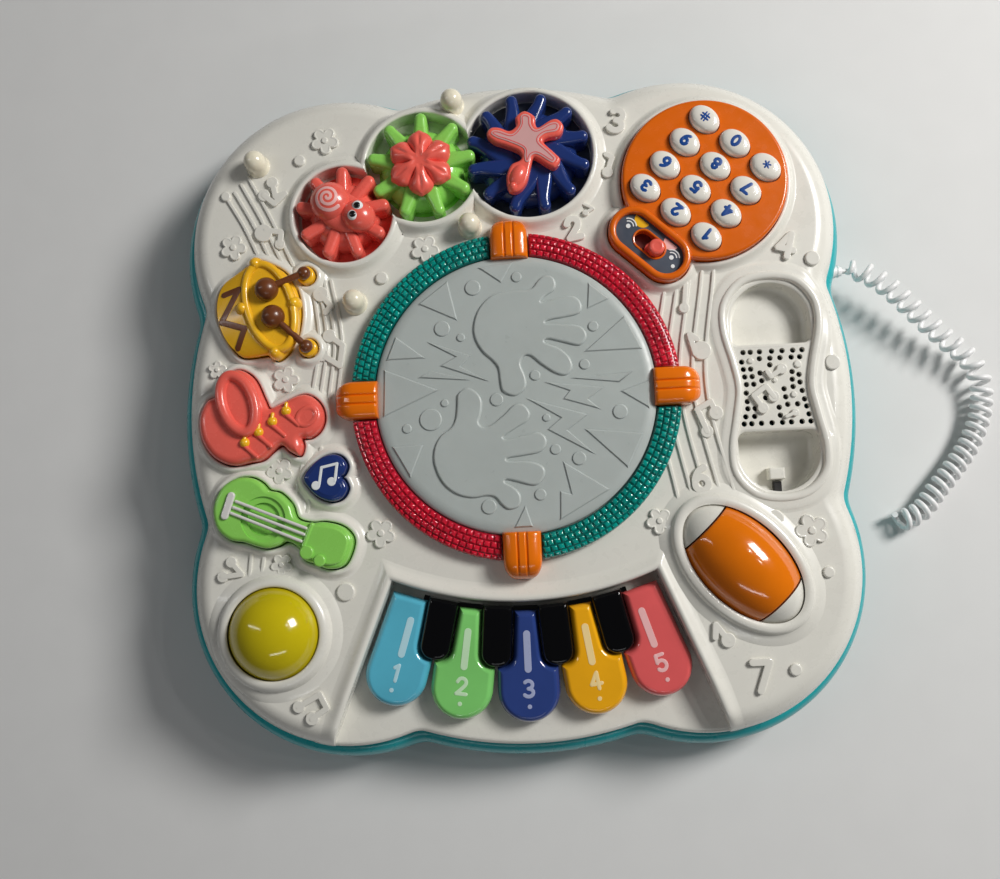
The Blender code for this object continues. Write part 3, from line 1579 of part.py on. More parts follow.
def make_drum_button(loop, material):
    button = button_blank(loop)
    low = BUTTON_RIM_Z + BUTTON_TRAVEL + GAP
    head = ellipse(DRUM_HEAD_CENTRE, *DRUM_HEAD_HALF, DRUM_HEAD_TURN, 16)
    joined(button, prism(shifted(head, -BUTTON_ROUND / 2), BUTTON_TOP_Z - BUTTON_ROUND, DRUM_HEAD_Z))
    seat = PLATEAU_Z - SHELL_WALL
    for start, tip in STICKS:
        joined(button, stick_body(start, tip, 0.0, seat, DRUM_HEAD_Z + STICK_R))
        joined(button, prism(circle(tip, STICK_TIP_R, 10), seat, low + STICK_TIP_R))
        ball = dome_body(start, STICK_BALL_R, STICK_BALL_R, 0.0, DRUM_HEAD_Z - GAP, STICK_BALL_R, 10)
        joined(button, ball)
    return finish_button("drum_button", button, loop, material)


def make_sax_button(loop, material):
    button = button_blank(loop)
    bell = ellipse(SAX_BELL_CENTRE, *SAX_BELL_HALF, SAX_BELL_TURN, 18)
    mouth = ellipse(SAX_BELL_CENTRE, *SAX_MOUTH_HALF, SAX_BELL_TURN, 16)
    raised = shifted(bell, -BUTTON_ROUND / 2)
    joined(button, prism(raised, BUTTON_TOP_Z - BUTTON_ROUND, SAX_BELL_Z))
    cut(button, prism(mouth, SAX_BELL_Z - SAX_MOUTH_DEPTH, 2 * PLATEAU_Z))
    return finish_button("sax_button", button, loop, material)


def make_plain_button(name, loop, material):
    return finish_button(name, button_blank(loop), loop, material)


# Ball and roller, each with its axle


def make_ball(material):
    ball = solid(ball_body(BALL_R))
    joined(ball, axle_body(ball_matrix(), ball_axle_half(), AXLE_R))
    return finish("spinning_ball", ball, material, (*BALL_CENTRE, BALL_Z))


def make_roller(material):
    roller = solid(egg_slice(ROLLER_HALF_LENGTH, 0.0))
    joined(roller, axle_body(roller_matrix(), roller_axle_half(), AXLE_R))
    return finish("spinning_roller", roller, material, (*ROLLER_CENTRE, ROLLER_Z))


# Piano


def piano_angle(index):
    return (index - (PIANO_KEYS - 1) / 2) * FAN_STEP


def key_side(outer):
    """(across, radius) points of one side of a key, from the rear to the front round end."""
    if outer:
        rear = KEY_ROUND_R * KEY_REAR_R / FAN_FRONT_R
        return [(rear, KEY_REAR_R)]
    corner = KEY_SHOULDER_R - KEY_NOTCH_ROUND
    return [
        (KEY_TAIL_HALF, KEY_REAR_R),
        (KEY_TAIL_HALF, corner),
        (KEY_TAIL_HALF + KEY_NOTCH_ROUND / 3, KEY_SHOULDER_R - KEY_NOTCH_ROUND / 3),
        (KEY_TAIL_HALF + KEY_NOTCH_ROUND, KEY_SHOULDER_R),
        (KEY_ROUND_R * KEY_SHOULDER_R / FAN_FRONT_R, KEY_SHOULDER_R + GAP),
    ]


def piano_key_loop(index):
    angle = piano_angle(index)
    right = key_side(index == PIANO_KEYS - 1)
    left = [(-across, radius) for across, radius in key_side(index == 0)]
    front = []
    for step in range(11):
        sweep = math.pi * step / 10
        front.append((KEY_ROUND_R * math.cos(sweep), FAN_FRONT_R + KEY_ROUND_R * math.sin(sweep)))
    local = right + front + left[::-1]
    return counter_clockwise([fan_point(angle, radius, across) for across, radius in local])


def pivot_place(index):
    return (*fan_point(piano_angle(index), PIVOT_R), PIVOT_Z)


def pin_body(index, radius, half_length):
    matrix = Matrix.Translation(pivot_place(index))
    matrix = matrix @ Matrix.Rotation(piano_angle(index), 4, "Z") @ Matrix.Rotation(math.pi / 2, 4, "Y")
    rings = [(circle((0.0, 0.0), radius, 8), end) for end in (-half_length, half_length)]
    return placed(loft(rings), matrix)


def make_piano_key(index, material):
    loop = piano_key_loop(index)
    key = solid(
        loft(
            [
                (loop, PIANO_UNDER_Z),
                (loop, PIANO_TOP_Z - PIANO_EDGE),
                (shifted(loop, -PIANO_TOP_INSET), PIANO_TOP_Z),
            ]
        )
    )
    cut(key, pin_body(index, PIVOT_PIN_R + GAP, KEY_ROUND_R * 2))
    slot = rectangle(
        fan_point(piano_angle(index), PIVOT_R),
        KEY_ROUND_R * 4,
        2 * (PIVOT_PIN_R + GAP),
        piano_angle(index),
    )
    cut(key, prism(slot, 0.0, PIVOT_Z - GAP))
    return finish(f"piano_key_{index + 1}", key, material, pivot_place(index))


def black_key_loop(angle):
    half = BLACK_HALF_WIDTH
    corner = BLACK_FRONT_R - BLACK_ROUND
    local = [(-half, BLACK_REAR_R), (-half, corner)]
    for step in range(1, 3):
        sweep = math.pi / 2 * step / 3
        across = half - BLACK_ROUND + BLACK_ROUND * math.cos(sweep)
        local.append((-across, corner + BLACK_ROUND * math.sin(sweep)))
    local = local + [(-across, radius) for across, radius in reversed(local)]
    return counter_clockwise([fan_point(angle, radius, across) for across, radius in local])


def make_black_keys(material):
    """Four black keys on a strip that also carries the pivot bars of the coloured keys."""
    low = TRAY_FLOOR_Z + GAP
    strip_top = low + STRIP_HEIGHT
    half_angle = piano_angle(PIANO_KEYS - 1) + FAN_STEP / 3
    arc = [half_angle * (1 - 2 * step / 8) for step in range(9)]
    strip = [fan_point(angle, BLACK_REAR_R + GAP) for angle in arc]
    strip += [fan_point(angle, STRIP_FRONT_R) for angle in reversed(arc)]
    black = solid(prism(counter_clockwise(strip), low, strip_top))
    for index in range(PIANO_KEYS - 1):
        loop = black_key_loop(piano_angle(index) + FAN_STEP / 2)
        rounded = shifted(loop, -PIANO_EDGE)
        joined(
            black,
            loft([(loop, low + GAP), (loop, BLACK_TOP_Z - PIANO_EDGE), (rounded, BLACK_TOP_Z)]),
        )
    for index in range(PIANO_KEYS):
        saddle = rectangle(
            fan_point(piano_angle(index), PIVOT_R),
            2 * KEY_TAIL_HALF - SADDLE_WIDTH,
            SADDLE_WIDTH,
            piano_angle(index),
        )
        joined(black, prism(saddle, low + GAP, PIVOT_Z))
        joined(black, pin_body(index, PIVOT_PIN_R, KEY_TAIL_HALF - GAP))
    return finish("black_keys", black, material)


# Small parts


def make_hook_switch(material):
    under = POCKET_FLOOR_Z - SHELL_WALL - GAP
    tab = solid(prism(rectangle(HOOK_PLACE, *HOOK_SIZE), under - GAP, HOOK_TOP_Z))
    flange = [length + 2 * (HOOK_FLANGE + SLIDE_GAP) for length in HOOK_SIZE]
    joined(tab, prism(rectangle(HOOK_PLACE, *flange), under - SHELL_WALL, under))
    return finish("hook_switch", tab, material, (*HOOK_PLACE, under))


def make_ball_peg(index, material):
    base = PLATEAU_Z
    swell = PEG_TOP_Z - PEG_CENTRE_Z
    profile = [
        (PEG_STEM_R, PLATEAU_Z - 2 * SHELL_WALL),
        (PEG_STEM_R, base),
        (PEG_BASE_R, base),
        (PEG_R, PEG_CENTRE_Z),
    ]
    for size, rise in PEG_CROWN:
        profile.append((PEG_R * size, PEG_CENTRE_Z + swell * rise))
    return finish(f"ball_peg_{index + 1}", solid(lathe(PEG_PLACES[index], profile, 9)), material)


def make_speaker(material):
    top = PLATEAU_Z - SHELL_WALL - GAP
    profile = [(SPEAKER_R * size, top - SPEAKER_DEPTH * drop) for size, drop in SPEAKER_SECTION]
    place = (CRADLE_X, GRILLE_CENTRE_Y)
    return finish("speaker", solid(lathe(place, profile, 16)), material)


# Curly cord


def cord_start():
    """Where the cord ends inside its outlet."""
    return Vector(OUTLET_PLACE) + Vector((OUTLET_LENGTH - CORD_INSERT, 0.0, 0.0))


def cord_centre_line(samples):
    """Evenly spaced points of the curls' centre line, from the outlet to the bare end."""
    start = cord_start() + Vector((CORD_INSERT + CORD_LEAD, 0.0, 0.0))
    outlet_x, outlet_y, _ = OUTLET_PLACE
    route = [start] + [Vector((outlet_x + x, outlet_y + y, z)) for x, y, z in CORD_ROUTE]
    route = [route[0] * 2 - route[1]] + route + [route[-1] * 2 - route[-2]]
    fine = []
    for index in range(1, len(route) - 2):
        for step in range(24):
            fine.append(spline_point(*route[index - 1 : index + 3], step / 24))
    fine.append(route[-2])
    lengths = [0.0]
    for before, after in zip(fine, fine[1:]):
        lengths.append(lengths[-1] + (after - before).length)
    line = []
    here = 0
    for sample in range(samples + 1):
        wanted = lengths[-1] * sample / samples
        while here < len(fine) - 2 and lengths[here + 1] < wanted:
            here += 1
        share = (wanted - lengths[here]) / (lengths[here + 1] - lengths[here])
        line.append(fine[here].lerp(fine[here + 1], share))
    return line


def share_at_turn(turns):
    """How far along the centre line a number of curls reaches: loose curls first, then tight."""
    if turns < LOOSE_CURLS:
        return LOOSE_SHARE * turns / LOOSE_CURLS
    return LOOSE_SHARE + (1 - LOOSE_SHARE) * (turns - LOOSE_CURLS) / TIGHT_CURLS


def cord_points():
    """The cord itself: a lead out of its outlet, then curls wound round the centre line."""
    samples = 400
    line = cord_centre_line(samples)
    turns = LOOSE_CURLS + TIGHT_CURLS
    points = [cord_start(), line[0]]
    up = Vector((0.0, 0.0, 1.0))
    for step in range(1, turns * CURL_POINTS + 1):
        turn = step / CURL_POINTS
        place = share_at_turn(turn) * samples
        index = min(int(place), samples - 1)
        centre = line[index].lerp(line[index + 1], place - index)
        ahead = (line[index + 1] - line[index]).normalized()
        side = ahead.cross(up).normalized()
        raised = side.cross(ahead)
        radius = CURL_R * min(1.0, 2 * turn)
        angle = 2 * math.pi * turn
        points.append(centre + radius * (math.cos(angle) * side + math.sin(angle) * raised))
    last = points[-1] - points[-2]
    points.append(points[-1] + last.normalized() * CORD_LEAD)
    return points


def least_gap(points):
    """Least clear distance between parts of the cord that are more than half a curl apart."""
    least = math.inf
    apart = CURL_POINTS // 2 + 1
    for index, point in enumerate(points):
        for other in points[index + apart :]:
            least = min(least, (other - point).length)
    return least - 2 * CORD_R


def make_handset_cord(material):
    points = cord_points()
    curve = bpy.data.curves.new("handset_cord", "CURVE")
    curve.dimensions = "3D"
    curve.bevel_depth = CORD_R
    curve.bevel_resolution = 1
    curve.use_fill_caps = True
    spline = curve.splines.new("POLY")
    spline.points.add(len(points) - 1)
    for target, point in zip(spline.points, points):
        target.co = (*point, 1.0)
    cord = bpy.data.objects.new("handset_cord", curve)
    curve.materials.append(material)
    bpy.context.scene.collection.objects.link(cord)
    length = sum((after - before).length for before, after in zip(points, points[1:]))
    print(f"cord: {length:.3f} m of wire, least gap to itself {least_gap(points) * 1000:.2f} mm")
    return cord


def clear_scene():
    for found in list(bpy.data.objects):
        bpy.data.objects.remove(found)


def main():
    clear_scene()
    finishes = make_materials()
    make_top_shell(finishes["shell_white"])
    make_bottom_shell(finishes["tray_teal"])
    for index in range(len(SCREW_PLACES)):
        make_casing_screw(index, finishes["steel"])
    make_door_screw(finishes["steel"])
    make_battery_door(finishes["tray_teal"])
    make_battery_pack(finishes["cell"])
    make_main_board(finishes["board_green"])

    make_drum_pad(finishes["pad_clear"])
    for quarter, colour in enumerate(("red", "teal", "red", "teal")):
        make_ring_segment(f"light_ring_{quarter + 1}", quarter, finishes["ring_" + colour])
    for quarter, side in enumerate(("right", "rear", "left", "front")):
        make_clip("ring_clip_" + side, quarter, finishes["clip_orange"])

    gears = gear_layout()
    make_gear("snail_gear", gears["snail"], finishes["coral"])
    make_gear("flower_gear", gears["flower"], finishes["lime"])
    make_gear("star_gear", gears["star"], finishes["navy"])
    make_snail_cap(gears["snail"], finishes["coral"])
    make_flower_cap(gears["flower"], finishes["coral"])
    make_star_cap(gears["star"], finishes["coral"])

    make_phone_panel(finishes["panel_orange"])
    for index in range(len(PHONE_KEYS)):
        make_phone_key(index, finishes["key_white"])
    make_keypad_board(finishes["board_green"])
    make_slider_plate(finishes["slate"])
    make_volume_slider(finishes["coral"])

    loops = button_loops()
    make_drum_button(loops["drum"], finishes["yellow"])
    make_sax_button(loops["sax"], finishes["coral"])
    make_plain_button("guitar_button", loops["guitar"], finishes["lime"])
    make_plain_button("heart_button", loops["heart"], finishes["navy"])

    make_ball(finishes["ball_yellow"])
    make_roller(finishes["clip_orange"])

    for index, colour in enumerate(("blue", "green", "navy", "amber", "red")):
        make_piano_key(index, finishes["key_" + colour])
    make_black_keys(finishes["black"])

    make_hook_switch(finishes["shell_white"])
    make_speaker(finishes["black"])
    for index in range(len(PEG_PLACES)):
        make_ball_peg(index, finishes["ivory"])
    make_handset_cord(finishes["cord_white"])


main()
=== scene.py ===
# Looks of a children's musical activity table top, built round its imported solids.
# Lengths are in millimetres and become metres in the meshes: X to the right, Y away from the player, Z up.

import math

import bmesh
import bpy
import numpy as np
from mathutils import Matrix, Vector


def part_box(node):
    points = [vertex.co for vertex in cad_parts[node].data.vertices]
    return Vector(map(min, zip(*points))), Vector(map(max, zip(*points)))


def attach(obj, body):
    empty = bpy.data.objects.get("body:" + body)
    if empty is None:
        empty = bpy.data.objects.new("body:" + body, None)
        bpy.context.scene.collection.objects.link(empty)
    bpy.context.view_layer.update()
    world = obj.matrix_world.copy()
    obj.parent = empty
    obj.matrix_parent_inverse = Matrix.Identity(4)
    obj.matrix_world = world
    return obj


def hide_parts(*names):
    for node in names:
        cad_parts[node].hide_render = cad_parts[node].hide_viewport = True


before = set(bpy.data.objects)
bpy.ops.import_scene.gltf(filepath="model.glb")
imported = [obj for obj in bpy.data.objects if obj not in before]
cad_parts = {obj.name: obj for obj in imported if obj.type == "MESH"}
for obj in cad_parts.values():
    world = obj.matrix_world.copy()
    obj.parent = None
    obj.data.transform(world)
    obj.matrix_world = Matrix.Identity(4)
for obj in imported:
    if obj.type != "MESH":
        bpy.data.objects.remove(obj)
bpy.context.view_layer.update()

MM = 0.001
UP = (0.0, 0.0, 1.0)
# Openings are cut up to a height that clears every piece they pass through
CUT_TOP_Z = 70.0

# Casing
PARTING_Z = 30.0
PLATEAU_Z = 52.0
FOOT_HEIGHT = 3.0
WALL = 2.5
CORNER_LOBE_CENTRE = 89.0
CORNER_LOBE_R = 82.6
SIDE_LOBE_REACH = 173.6
SIDE_LOBE_R = 183.4
INDENT_SOFTNESS = 4.0
EDGE_ROUND = 16.0
SHELL_INSET = 2.0
SHELL_INNER_INSET = 14.0
SHELL_INNER_Z = 41.0
SHELL_SHIFT = (1.3, 0.9)
BELLY_OUT = 5.0
BELLY_Z = 18.0
BASE_INSET = 12.0
LIP_INSET = 1.5
PLAN_POINTS = 720

# Camera
CAMERA_PLACE = (6.757, -73.170, 531.387)
CAMERA_RIGHT = (0.998377, -0.042980, -0.037361)
CAMERA_UP = (0.046885, 0.992730, 0.110854)
CAMERA_BACK = (0.032325, -0.112426, 0.993134)
CAMERA_LENS = 34.668

# Curly cord
CORD_R = 1.5
CURL_R = 4.5
CURL_POINTS = 20
CORD_LEAD = 2.6
OUTLET_PLACE = (167.0, 66.5, 21.5)
OUTLET_LENGTH = 10.0
CORD_INSERT = 3.0
LOOSE_CURLS = 13
TIGHT_CURLS = 17
LOOSE_SHARE = 0.53
CORD_ROUTE = (
    (187.0, 66.0, 21.5),
    (196.5, 61.0, 20.3),
    (207.0, 52.7, 18.1),
    (220.0, 40.0, 15.2),
    (233.0, 28.0, 12.6),
    (244.1, 18.5, 10.0),
    (250.3, 7.7, 8.0),
    (251.0, -4.6, 6.8),
    (248.0, -16.3, 6.6),
    (241.6, -28.9, 6.6),
    (232.6, -40.7, 6.6),
    (222.6, -52.0, 6.6),
    (213.3, -62.7, 6.6),
    (201.2, -68.5, 6.6),
)

# Drum
DRUM_CENTRE = (0.0, 3.0)
PAD_R = 70.0
RING_INNER = 70.5
RING_OUTER = 83.2
CLIP_WIDTH = 19.5
CLIP_REACHES = {"right": 92.0, "rear": 89.6, "left": 90.5, "front": 91.5}
CLIP_TOP_Z = 64.0

# Gears: centre, fingers, tip radius, phase in degrees
FLOWER = ((-43.0, 123.5), 9, 28.08, 209.0)
SNAIL = ((-84.247, 100.637), 9, 24.38, 49.0)
STAR = ((11.906, 127.050), 12, 32.14, 194.725)
WELL_CLEARANCE = 0.9
WELL_FLOOR_Z = 46.0
GEAR_TOP_Z = 60.2
FINGER_HALF_WIDTH = 3.2

# Phone
PHONE_CENTRE = (100.4, 107.8)
PHONE_R = 41.8
PHONE_TURN = math.radians(-43.0)
PHONE_TOP_Z = 60.0
KEY_COLUMN_PITCH = 19.7
KEY_ROW_PITCH = 15.6
KEY_HALF = (8.3, 6.3)
PHONE_KEYS = ("1", "2", "3", "4", "5", "6", "7", "8", "9", "star", "0", "hash")
SLIDER_CENTRE = (70.8, 75.7)
SLIDER_HALF_LENGTH = 10.6
SLIDER_R = 12.5
SLIDER_RECESS_R = 8.8
SLIDER_RECESS_Z = 57.2
SLIDER_TRAVEL = 8.0

# Ball and roller
BALL_CENTRE = (-124.0, -110.0)
BALL_Z = 47.0
BALL_R = 24.0
ROLLER_CENTRE = (106.8, -85.5)
ROLLER_TURN = math.radians(-46.7)
ROLLER_Z = 48.0
ROLLER_R = 21.5
EGG_HALF = 37.0
ROLLER_HALF = 24.4

# Cradle
CRADLE_X = 129.5

# Piano
FAN_CENTRE = (0.0, 73.0)
FAN_STEP = math.radians(8.8)
TRAY_REAR_R = 172.5
TRAY_FRONT_R = 275.0
TRAY_HALF_ANGLE = math.radians(22.25)
TRAY_FLOOR_Z = 40.0
KEY_REAR_R = 177.0
FAN_FRONT_R = 216.0
KEY_ROUND_R = 15.5
BLACK_REAR_R = 174.5
BLACK_FRONT_R = 204.5
BLACK_HALF_WIDTH = 7.5
BLACK_CORNER = 6.4
PIANO_GAP = 0.45
PIANO_TOP_Z = 50.0
PIANO_EDGE = (3.3, 5.4)
PIANO_UNDER_Z = 43.8


# Sums that many shapes share


def clamped(value):
    return min(1.0, max(0.0, value))


def quarter(steps, first=0):
    """Cosine and sine at even steps of a quarter turn."""
    turns = []
    for step in range(first, steps + 1):
        angle = math.pi / 2 * step / steps
        turns.append((math.cos(angle), math.sin(angle)))
    return turns


def round_turn(count):
    """Angles at even steps of a whole turn."""
    return np.linspace(0.0, 2 * math.pi, count, endpoint=False)


def headings(path):
    """The direction of a path at each of its points."""
    ahead = np.gradient(path, axis=0)
    return ahead / np.linalg.norm(ahead, axis=1)[:, None]


def lengths_along(path):
    return np.concatenate([[0.0], np.cumsum(np.linalg.norm(np.diff(path, axis=0), axis=1))])


def even_path(path, count):
    """An open path in the plan or in space, with points at even steps."""
    lengths = lengths_along(path)
    wanted = np.linspace(0.0, lengths[-1], count)
    return np.stack([np.interp(wanted, lengths, axis) for axis in path.T], 1)


# Outlines in plan: arrays of (x, y) that run counter-clockwise


def turned(centre, local, turn):
    """Points given along and across a direction, moved to their place in the plan."""
    local = np.atleast_2d(np.asarray(local, float))
    c, s = math.cos(turn), math.sin(turn)
    return local @ np.array([[c, s], [-s, c]]) + np.asarray(centre, float)


def ellipse(centre, half_length, half_width, turn, count):
    angles = round_turn(count)
    local = np.stack([half_length * np.cos(angles), half_width * np.sin(angles)], 1)
    return turned(centre, local, turn)


def circle(centre, radius, count):
    return ellipse(centre, radius, radius, 0.0, count)


def ribbon(path, half_width, end_steps=8):
    """The outline of a round-ended band along a path; its half width may vary along it."""
    path = np.asarray(path, float)
    half = np.broadcast_to(np.asarray(half_width, float), len(path))
    ahead = headings(path)
    right = np.stack([ahead[:, 1], -ahead[:, 0]], 1)
    sweep = np.linspace(-math.pi / 2, math.pi / 2, end_steps + 1)[1:-1]
    tip = [path[-1] + half[-1] * (math.cos(a) * ahead[-1] - math.sin(a) * right[-1]) for a in sweep]
    tail = [path[0] - half[0] * (math.cos(a) * ahead[0] - math.sin(a) * right[0]) for a in sweep]
    sides = [path + half[:, None] * right, tip, (path - half[:, None] * right)[::-1], tail]
    return np.concatenate([np.asarray(part) for part in sides])


def stadium(start, end, radius, end_steps):
    return ribbon([start, end], radius, end_steps)


def bent(points, count):
    """A smooth path through three or more points, in the plan or in space."""
    points = np.asarray(points, float)
    points = np.concatenate([2 * points[:1] - points[1:2], points, 2 * points[-1:] - points[-2:-1]])
    path = []
    spans = len(points) - 3
    for index in range(spans):
        for share in np.linspace(0.0, 1.0, count // spans, endpoint=False):
            path.append(spline_point(*points[index : index + 4], share))
    path.append(points[-2])
    return np.array(path)


def spline_point(before, start, end, after, share):
    slope_in = (end - before) / 2
    slope_out = (after - start) / 2
    square = share * share
    cube = square * share
    return (
        start * (2 * cube - 3 * square + 1)
        + slope_in * (cube - 2 * square + share)
        + end * (3 * square - 2 * cube)
        + slope_out * (cube - square)
    )


def counter_clockwise(loop):
    loop = np.asarray(loop, float)
    x, y = loop[:, 0], loop[:, 1]
    area = np.sum(x * np.roll(y, -1) - np.roll(x, -1) * y)
    return loop if area > 0 else loop[::-1]


def smooth_loop(points, steps):
    """A closed smooth curve through the points."""
    points = counter_clockwise(points)
    count = len(points)
    loop = []
    for index in range(count):
        span = [points[(index + k) % count] for k in (-1, 0, 1, 2)]
        for step in range(steps):
            loop.append(spline_point(*span, step / steps))
    return np.array(loop)


def resampled(loop, spacing):
    """The closed loop with points at even steps, and each of its corners kept."""
    loop = counter_clockwise(loop)
    dense = []
    for start, end in zip(loop, np.roll(loop, -1, 0)):
        count = max(1, int(np.linalg.norm(end - start) / spacing))
        for step in range(count):
            dense.append(start + (end - start) * step / count)
    return np.array(dense)


LEAST_MITRE = 0.05


def mitred(points, inset):
    """A polygon with each side moved inwards."""
    points = counter_clockwise(points)
    before = points - np.roll(points, 1, 0)
    after = np.roll(points, -1, 0) - points
    before /= np.linalg.norm(before, axis=1)[:, None]
    after /= np.linalg.norm(after, axis=1)[:, None]
    left = np.stack([-before[:, 1] - after[:, 1], before[:, 0] + after[:, 0]], 1)
    reach = 1 + np.sum(before * after, 1)
    return points + inset * left / np.maximum(reach, LEAST_MITRE)[:, None]


OFFSET_PUSHES = 5
OFFSET_EASES = 60


def offset(loop, distance):
    """The loop moved outwards, with points that would fold over in a tight bend pushed clear."""
    loop = np.asarray(loop, float)
    if abs(distance) < 1e-9:
        return loop
    ahead = np.roll(loop, -1, 0)
    tangent = ahead - np.roll(loop, 1, 0)
    tangent /= np.linalg.norm(tangent, axis=1)[:, None] + 1e-12
    moved = loop + distance * np.stack([tangent[:, 1], -tangent[:, 0]], 1)
    side = ahead - loop
    square = np.sum(side * side, 1) + 1e-12
    rows = np.arange(len(loop))
    for _ in range(OFFSET_PUSHES):
        away = moved[:, None] - loop[None]
        share = np.clip(np.sum(away * side[None], 2) / square, 0.0, 1.0)
        away = away - share[:, :, None] * side[None]
        reach = np.linalg.norm(away, axis=2)
        nearest = np.argmin(reach, 1)
        gap = reach[rows, nearest]
        short = np.maximum(0.0, abs(distance) - gap)
        moved = moved + away[rows, nearest] / (gap[:, None] + 1e-9) * short[:, None]
    for _ in range(OFFSET_EASES):
        back = np.sum((np.roll(moved, -1, 0) - moved) * side, 1) < 0
        if not back.any():
            break
        for index in np.flatnonzero(back):
            other = (index + 1) % len(moved)
            moved[index] = moved[other] = (moved[index] + moved[other]) / 2
    return moved


def plan(grow, count=PLAN_POINTS):
    """The casing's plan of four corner lobes and four side lobes, grown outwards."""
    loop = []
    for angle in round_turn(count):
        folded = angle % (math.pi / 2)
        folded = min(folded, math.pi / 2 - folded)
        heading = np.array([math.cos(folded), math.sin(folded)])
        corner = ray_reach(heading, (CORNER_LOBE_CENTRE, CORNER_LOBE_CENTRE), CORNER_LOBE_R + grow)
        side = ray_reach(heading, (SIDE_LOBE_REACH - SIDE_LOBE_R, 0.0), SIDE_LOBE_R + grow)
        blend = max(0.0, INDENT_SOFTNESS - abs(corner - side))
        reach = max(corner, side) + blend * blend / (4 * INDENT_SOFTNESS)
        loop.append((reach * math.cos(angle), reach * math.sin(angle)))
    return np.array(loop)


def ray_reach(heading, centre, radius):
    along = heading @ np.asarray(centre)
    square = along * along - np.dot(centre, centre) + radius * radius
    return along + math.sqrt(square) if square > 0 else 0.0


def fan_point(angle, radius, across=0.0):
    x = FAN_CENTRE[0] + radius * math.sin(angle) + across * math.cos(angle)
    y = FAN_CENTRE[1] - radius * math.cos(angle) + across * math.sin(angle)
    return (x, y)


def polar(centre, angle, radius):
    return (centre[0] + radius * math.cos(angle), centre[1] + radius * math.sin(angle))


# Bodies: each is a list of points and a list of faces


def level(loop, z):
    return np.column_stack([loop, np.full(len(loop), z)])


def loft(rings, wrap=False):
    """A closed body through rings of points: capped at its ends, or joined up into a ring."""
    count = len(rings[0])
    faces = []
    spans = len(rings) if wrap else len(rings) - 1
    for span in range(spans):
        low = span * count
        high = (span + 1) % len(rings) * count
        for index in range(count):
            other = (index + 1) % count
            faces.append((low + index, low + other, high + other, high + index))
    if not wrap:
        faces.append(tuple(reversed(range(count))))
        faces.append(tuple(range((len(rings) - 1) * count, len(rings) * count)))
    return np.concatenate(rings), faces


def prism(loop, low, high):
    return loft([level(loop, low), level(loop, high)])


def profiled(loop, profile, wrap=False):
    """A body whose outline is the loop, grown and at a height by each step of the profile."""
    return loft([level(offset(loop, grow), z) for grow, z in profile], wrap)


def raised_over(loop, low, top, edge, steps):
    """A body whose top edge is a quarter of an ellipse: edge is its (width, height)."""
    width, height = edge
    profile = [(0.0, low)]
    for cosine, sine in quarter(steps):
        profile.append((-width * (1 - cosine), top - height + height * sine))
    return profiled(loop, profile)


CROWN_SHARES = (0.35, 0.7, 1.0)
CROWN_SPREAD = 2.5


def raised(loop, low, top, edge, crown=0.0, steps=4):
    """A body with a round top edge, and a middle that swells by crown."""
    profile = [(0.0, low), (0.0, top - edge)]
    for cosine, sine in quarter(steps, 1):
        profile.append((-edge * (1 - cosine), top - edge + edge * sine))
    if crown:
        for share in CROWN_SHARES:
            inset = edge + CROWN_SPREAD * crown * share
            profile.append((-inset, top + crown * math.sin(share * math.pi / 2)))
    return profiled(loop, profile)


def facet(points, low, top, edge):
    """A flat raised polygon with a narrow sloping edge."""
    points = counter_clockwise(points)
    return loft([level(points, low), level(points, top - edge), level(mitred(points, edge), top)])


# A ring that closes to a point keeps a little width, so that its faces stay sound
POINT_R = 0.01
DOME_TIP = 0.985


def lathe(centre, profile, count):
    return loft([level(circle(centre, max(radius, POINT_R), count), z) for radius, z in profile])


def dome(centre, half_length, half_width, turn, low, height, count=40, steps=7):
    """Half an egg that stands on z = low."""
    rings = []
    for step in range(steps + 1):
        angle = math.pi / 2 * min(step / steps, DOME_TIP)
        loop = ellipse(centre, half_length * math.cos(angle), half_width * math.cos(angle), turn, count)
        rings.append(level(loop, low + height * math.sin(angle)))
    return loft(rings)


def tube(path, radius, sides):
    """A round bar along a path in space; radius may vary along it."""
    path = np.asarray(path, float)
    radii = np.broadcast_to(np.asarray(radius, float), len(path))
    angles = round_turn(sides)
    rings = []
    for point, heading, size in zip(path, headings(path), radii):
        side = np.cross(heading, UP)
        if np.linalg.norm(side) < 1e-3:
            side = np.array([1.0, 0.0, 0.0])
        side /= np.linalg.norm(side)
        rise = np.cross(side, heading)
        rings.append(point + size * (np.cos(angles)[:, None] * side + np.sin(angles)[:, None] * rise))
    return loft(rings)


CAPSULE_SIDES = 16
CAPSULE_STEPS = 5
CAPSULE_TIP_R = 0.02


def capsule(start, end, radius):
    """A round bar with round ends."""
    start, end = np.asarray(start, float), np.asarray(end, float)
    run = end - start
    length = np.linalg.norm(run)
    along = []
    size = []
    for cosine, sine in quarter(CAPSULE_STEPS):
        along.append(-radius * cosine)
        size.append(max(CAPSULE_TIP_R, radius * sine))
    along += [length - a for a in along[::-1]]
    size += size[::-1]
    return tube(start + np.outer(np.array(along) / length, run), size, CAPSULE_SIDES)


STROKE_SPACING = 0.8
STROKE_ENDS = np.radians((85.0, 64.0, 42.0, 20.0))
STROKE_EASE = 0.7
STROKE_BEVEL = 0.3
# Strokes that cross lie at slightly different heights, so that no two faces coincide
STROKE_LIFT = 0.03


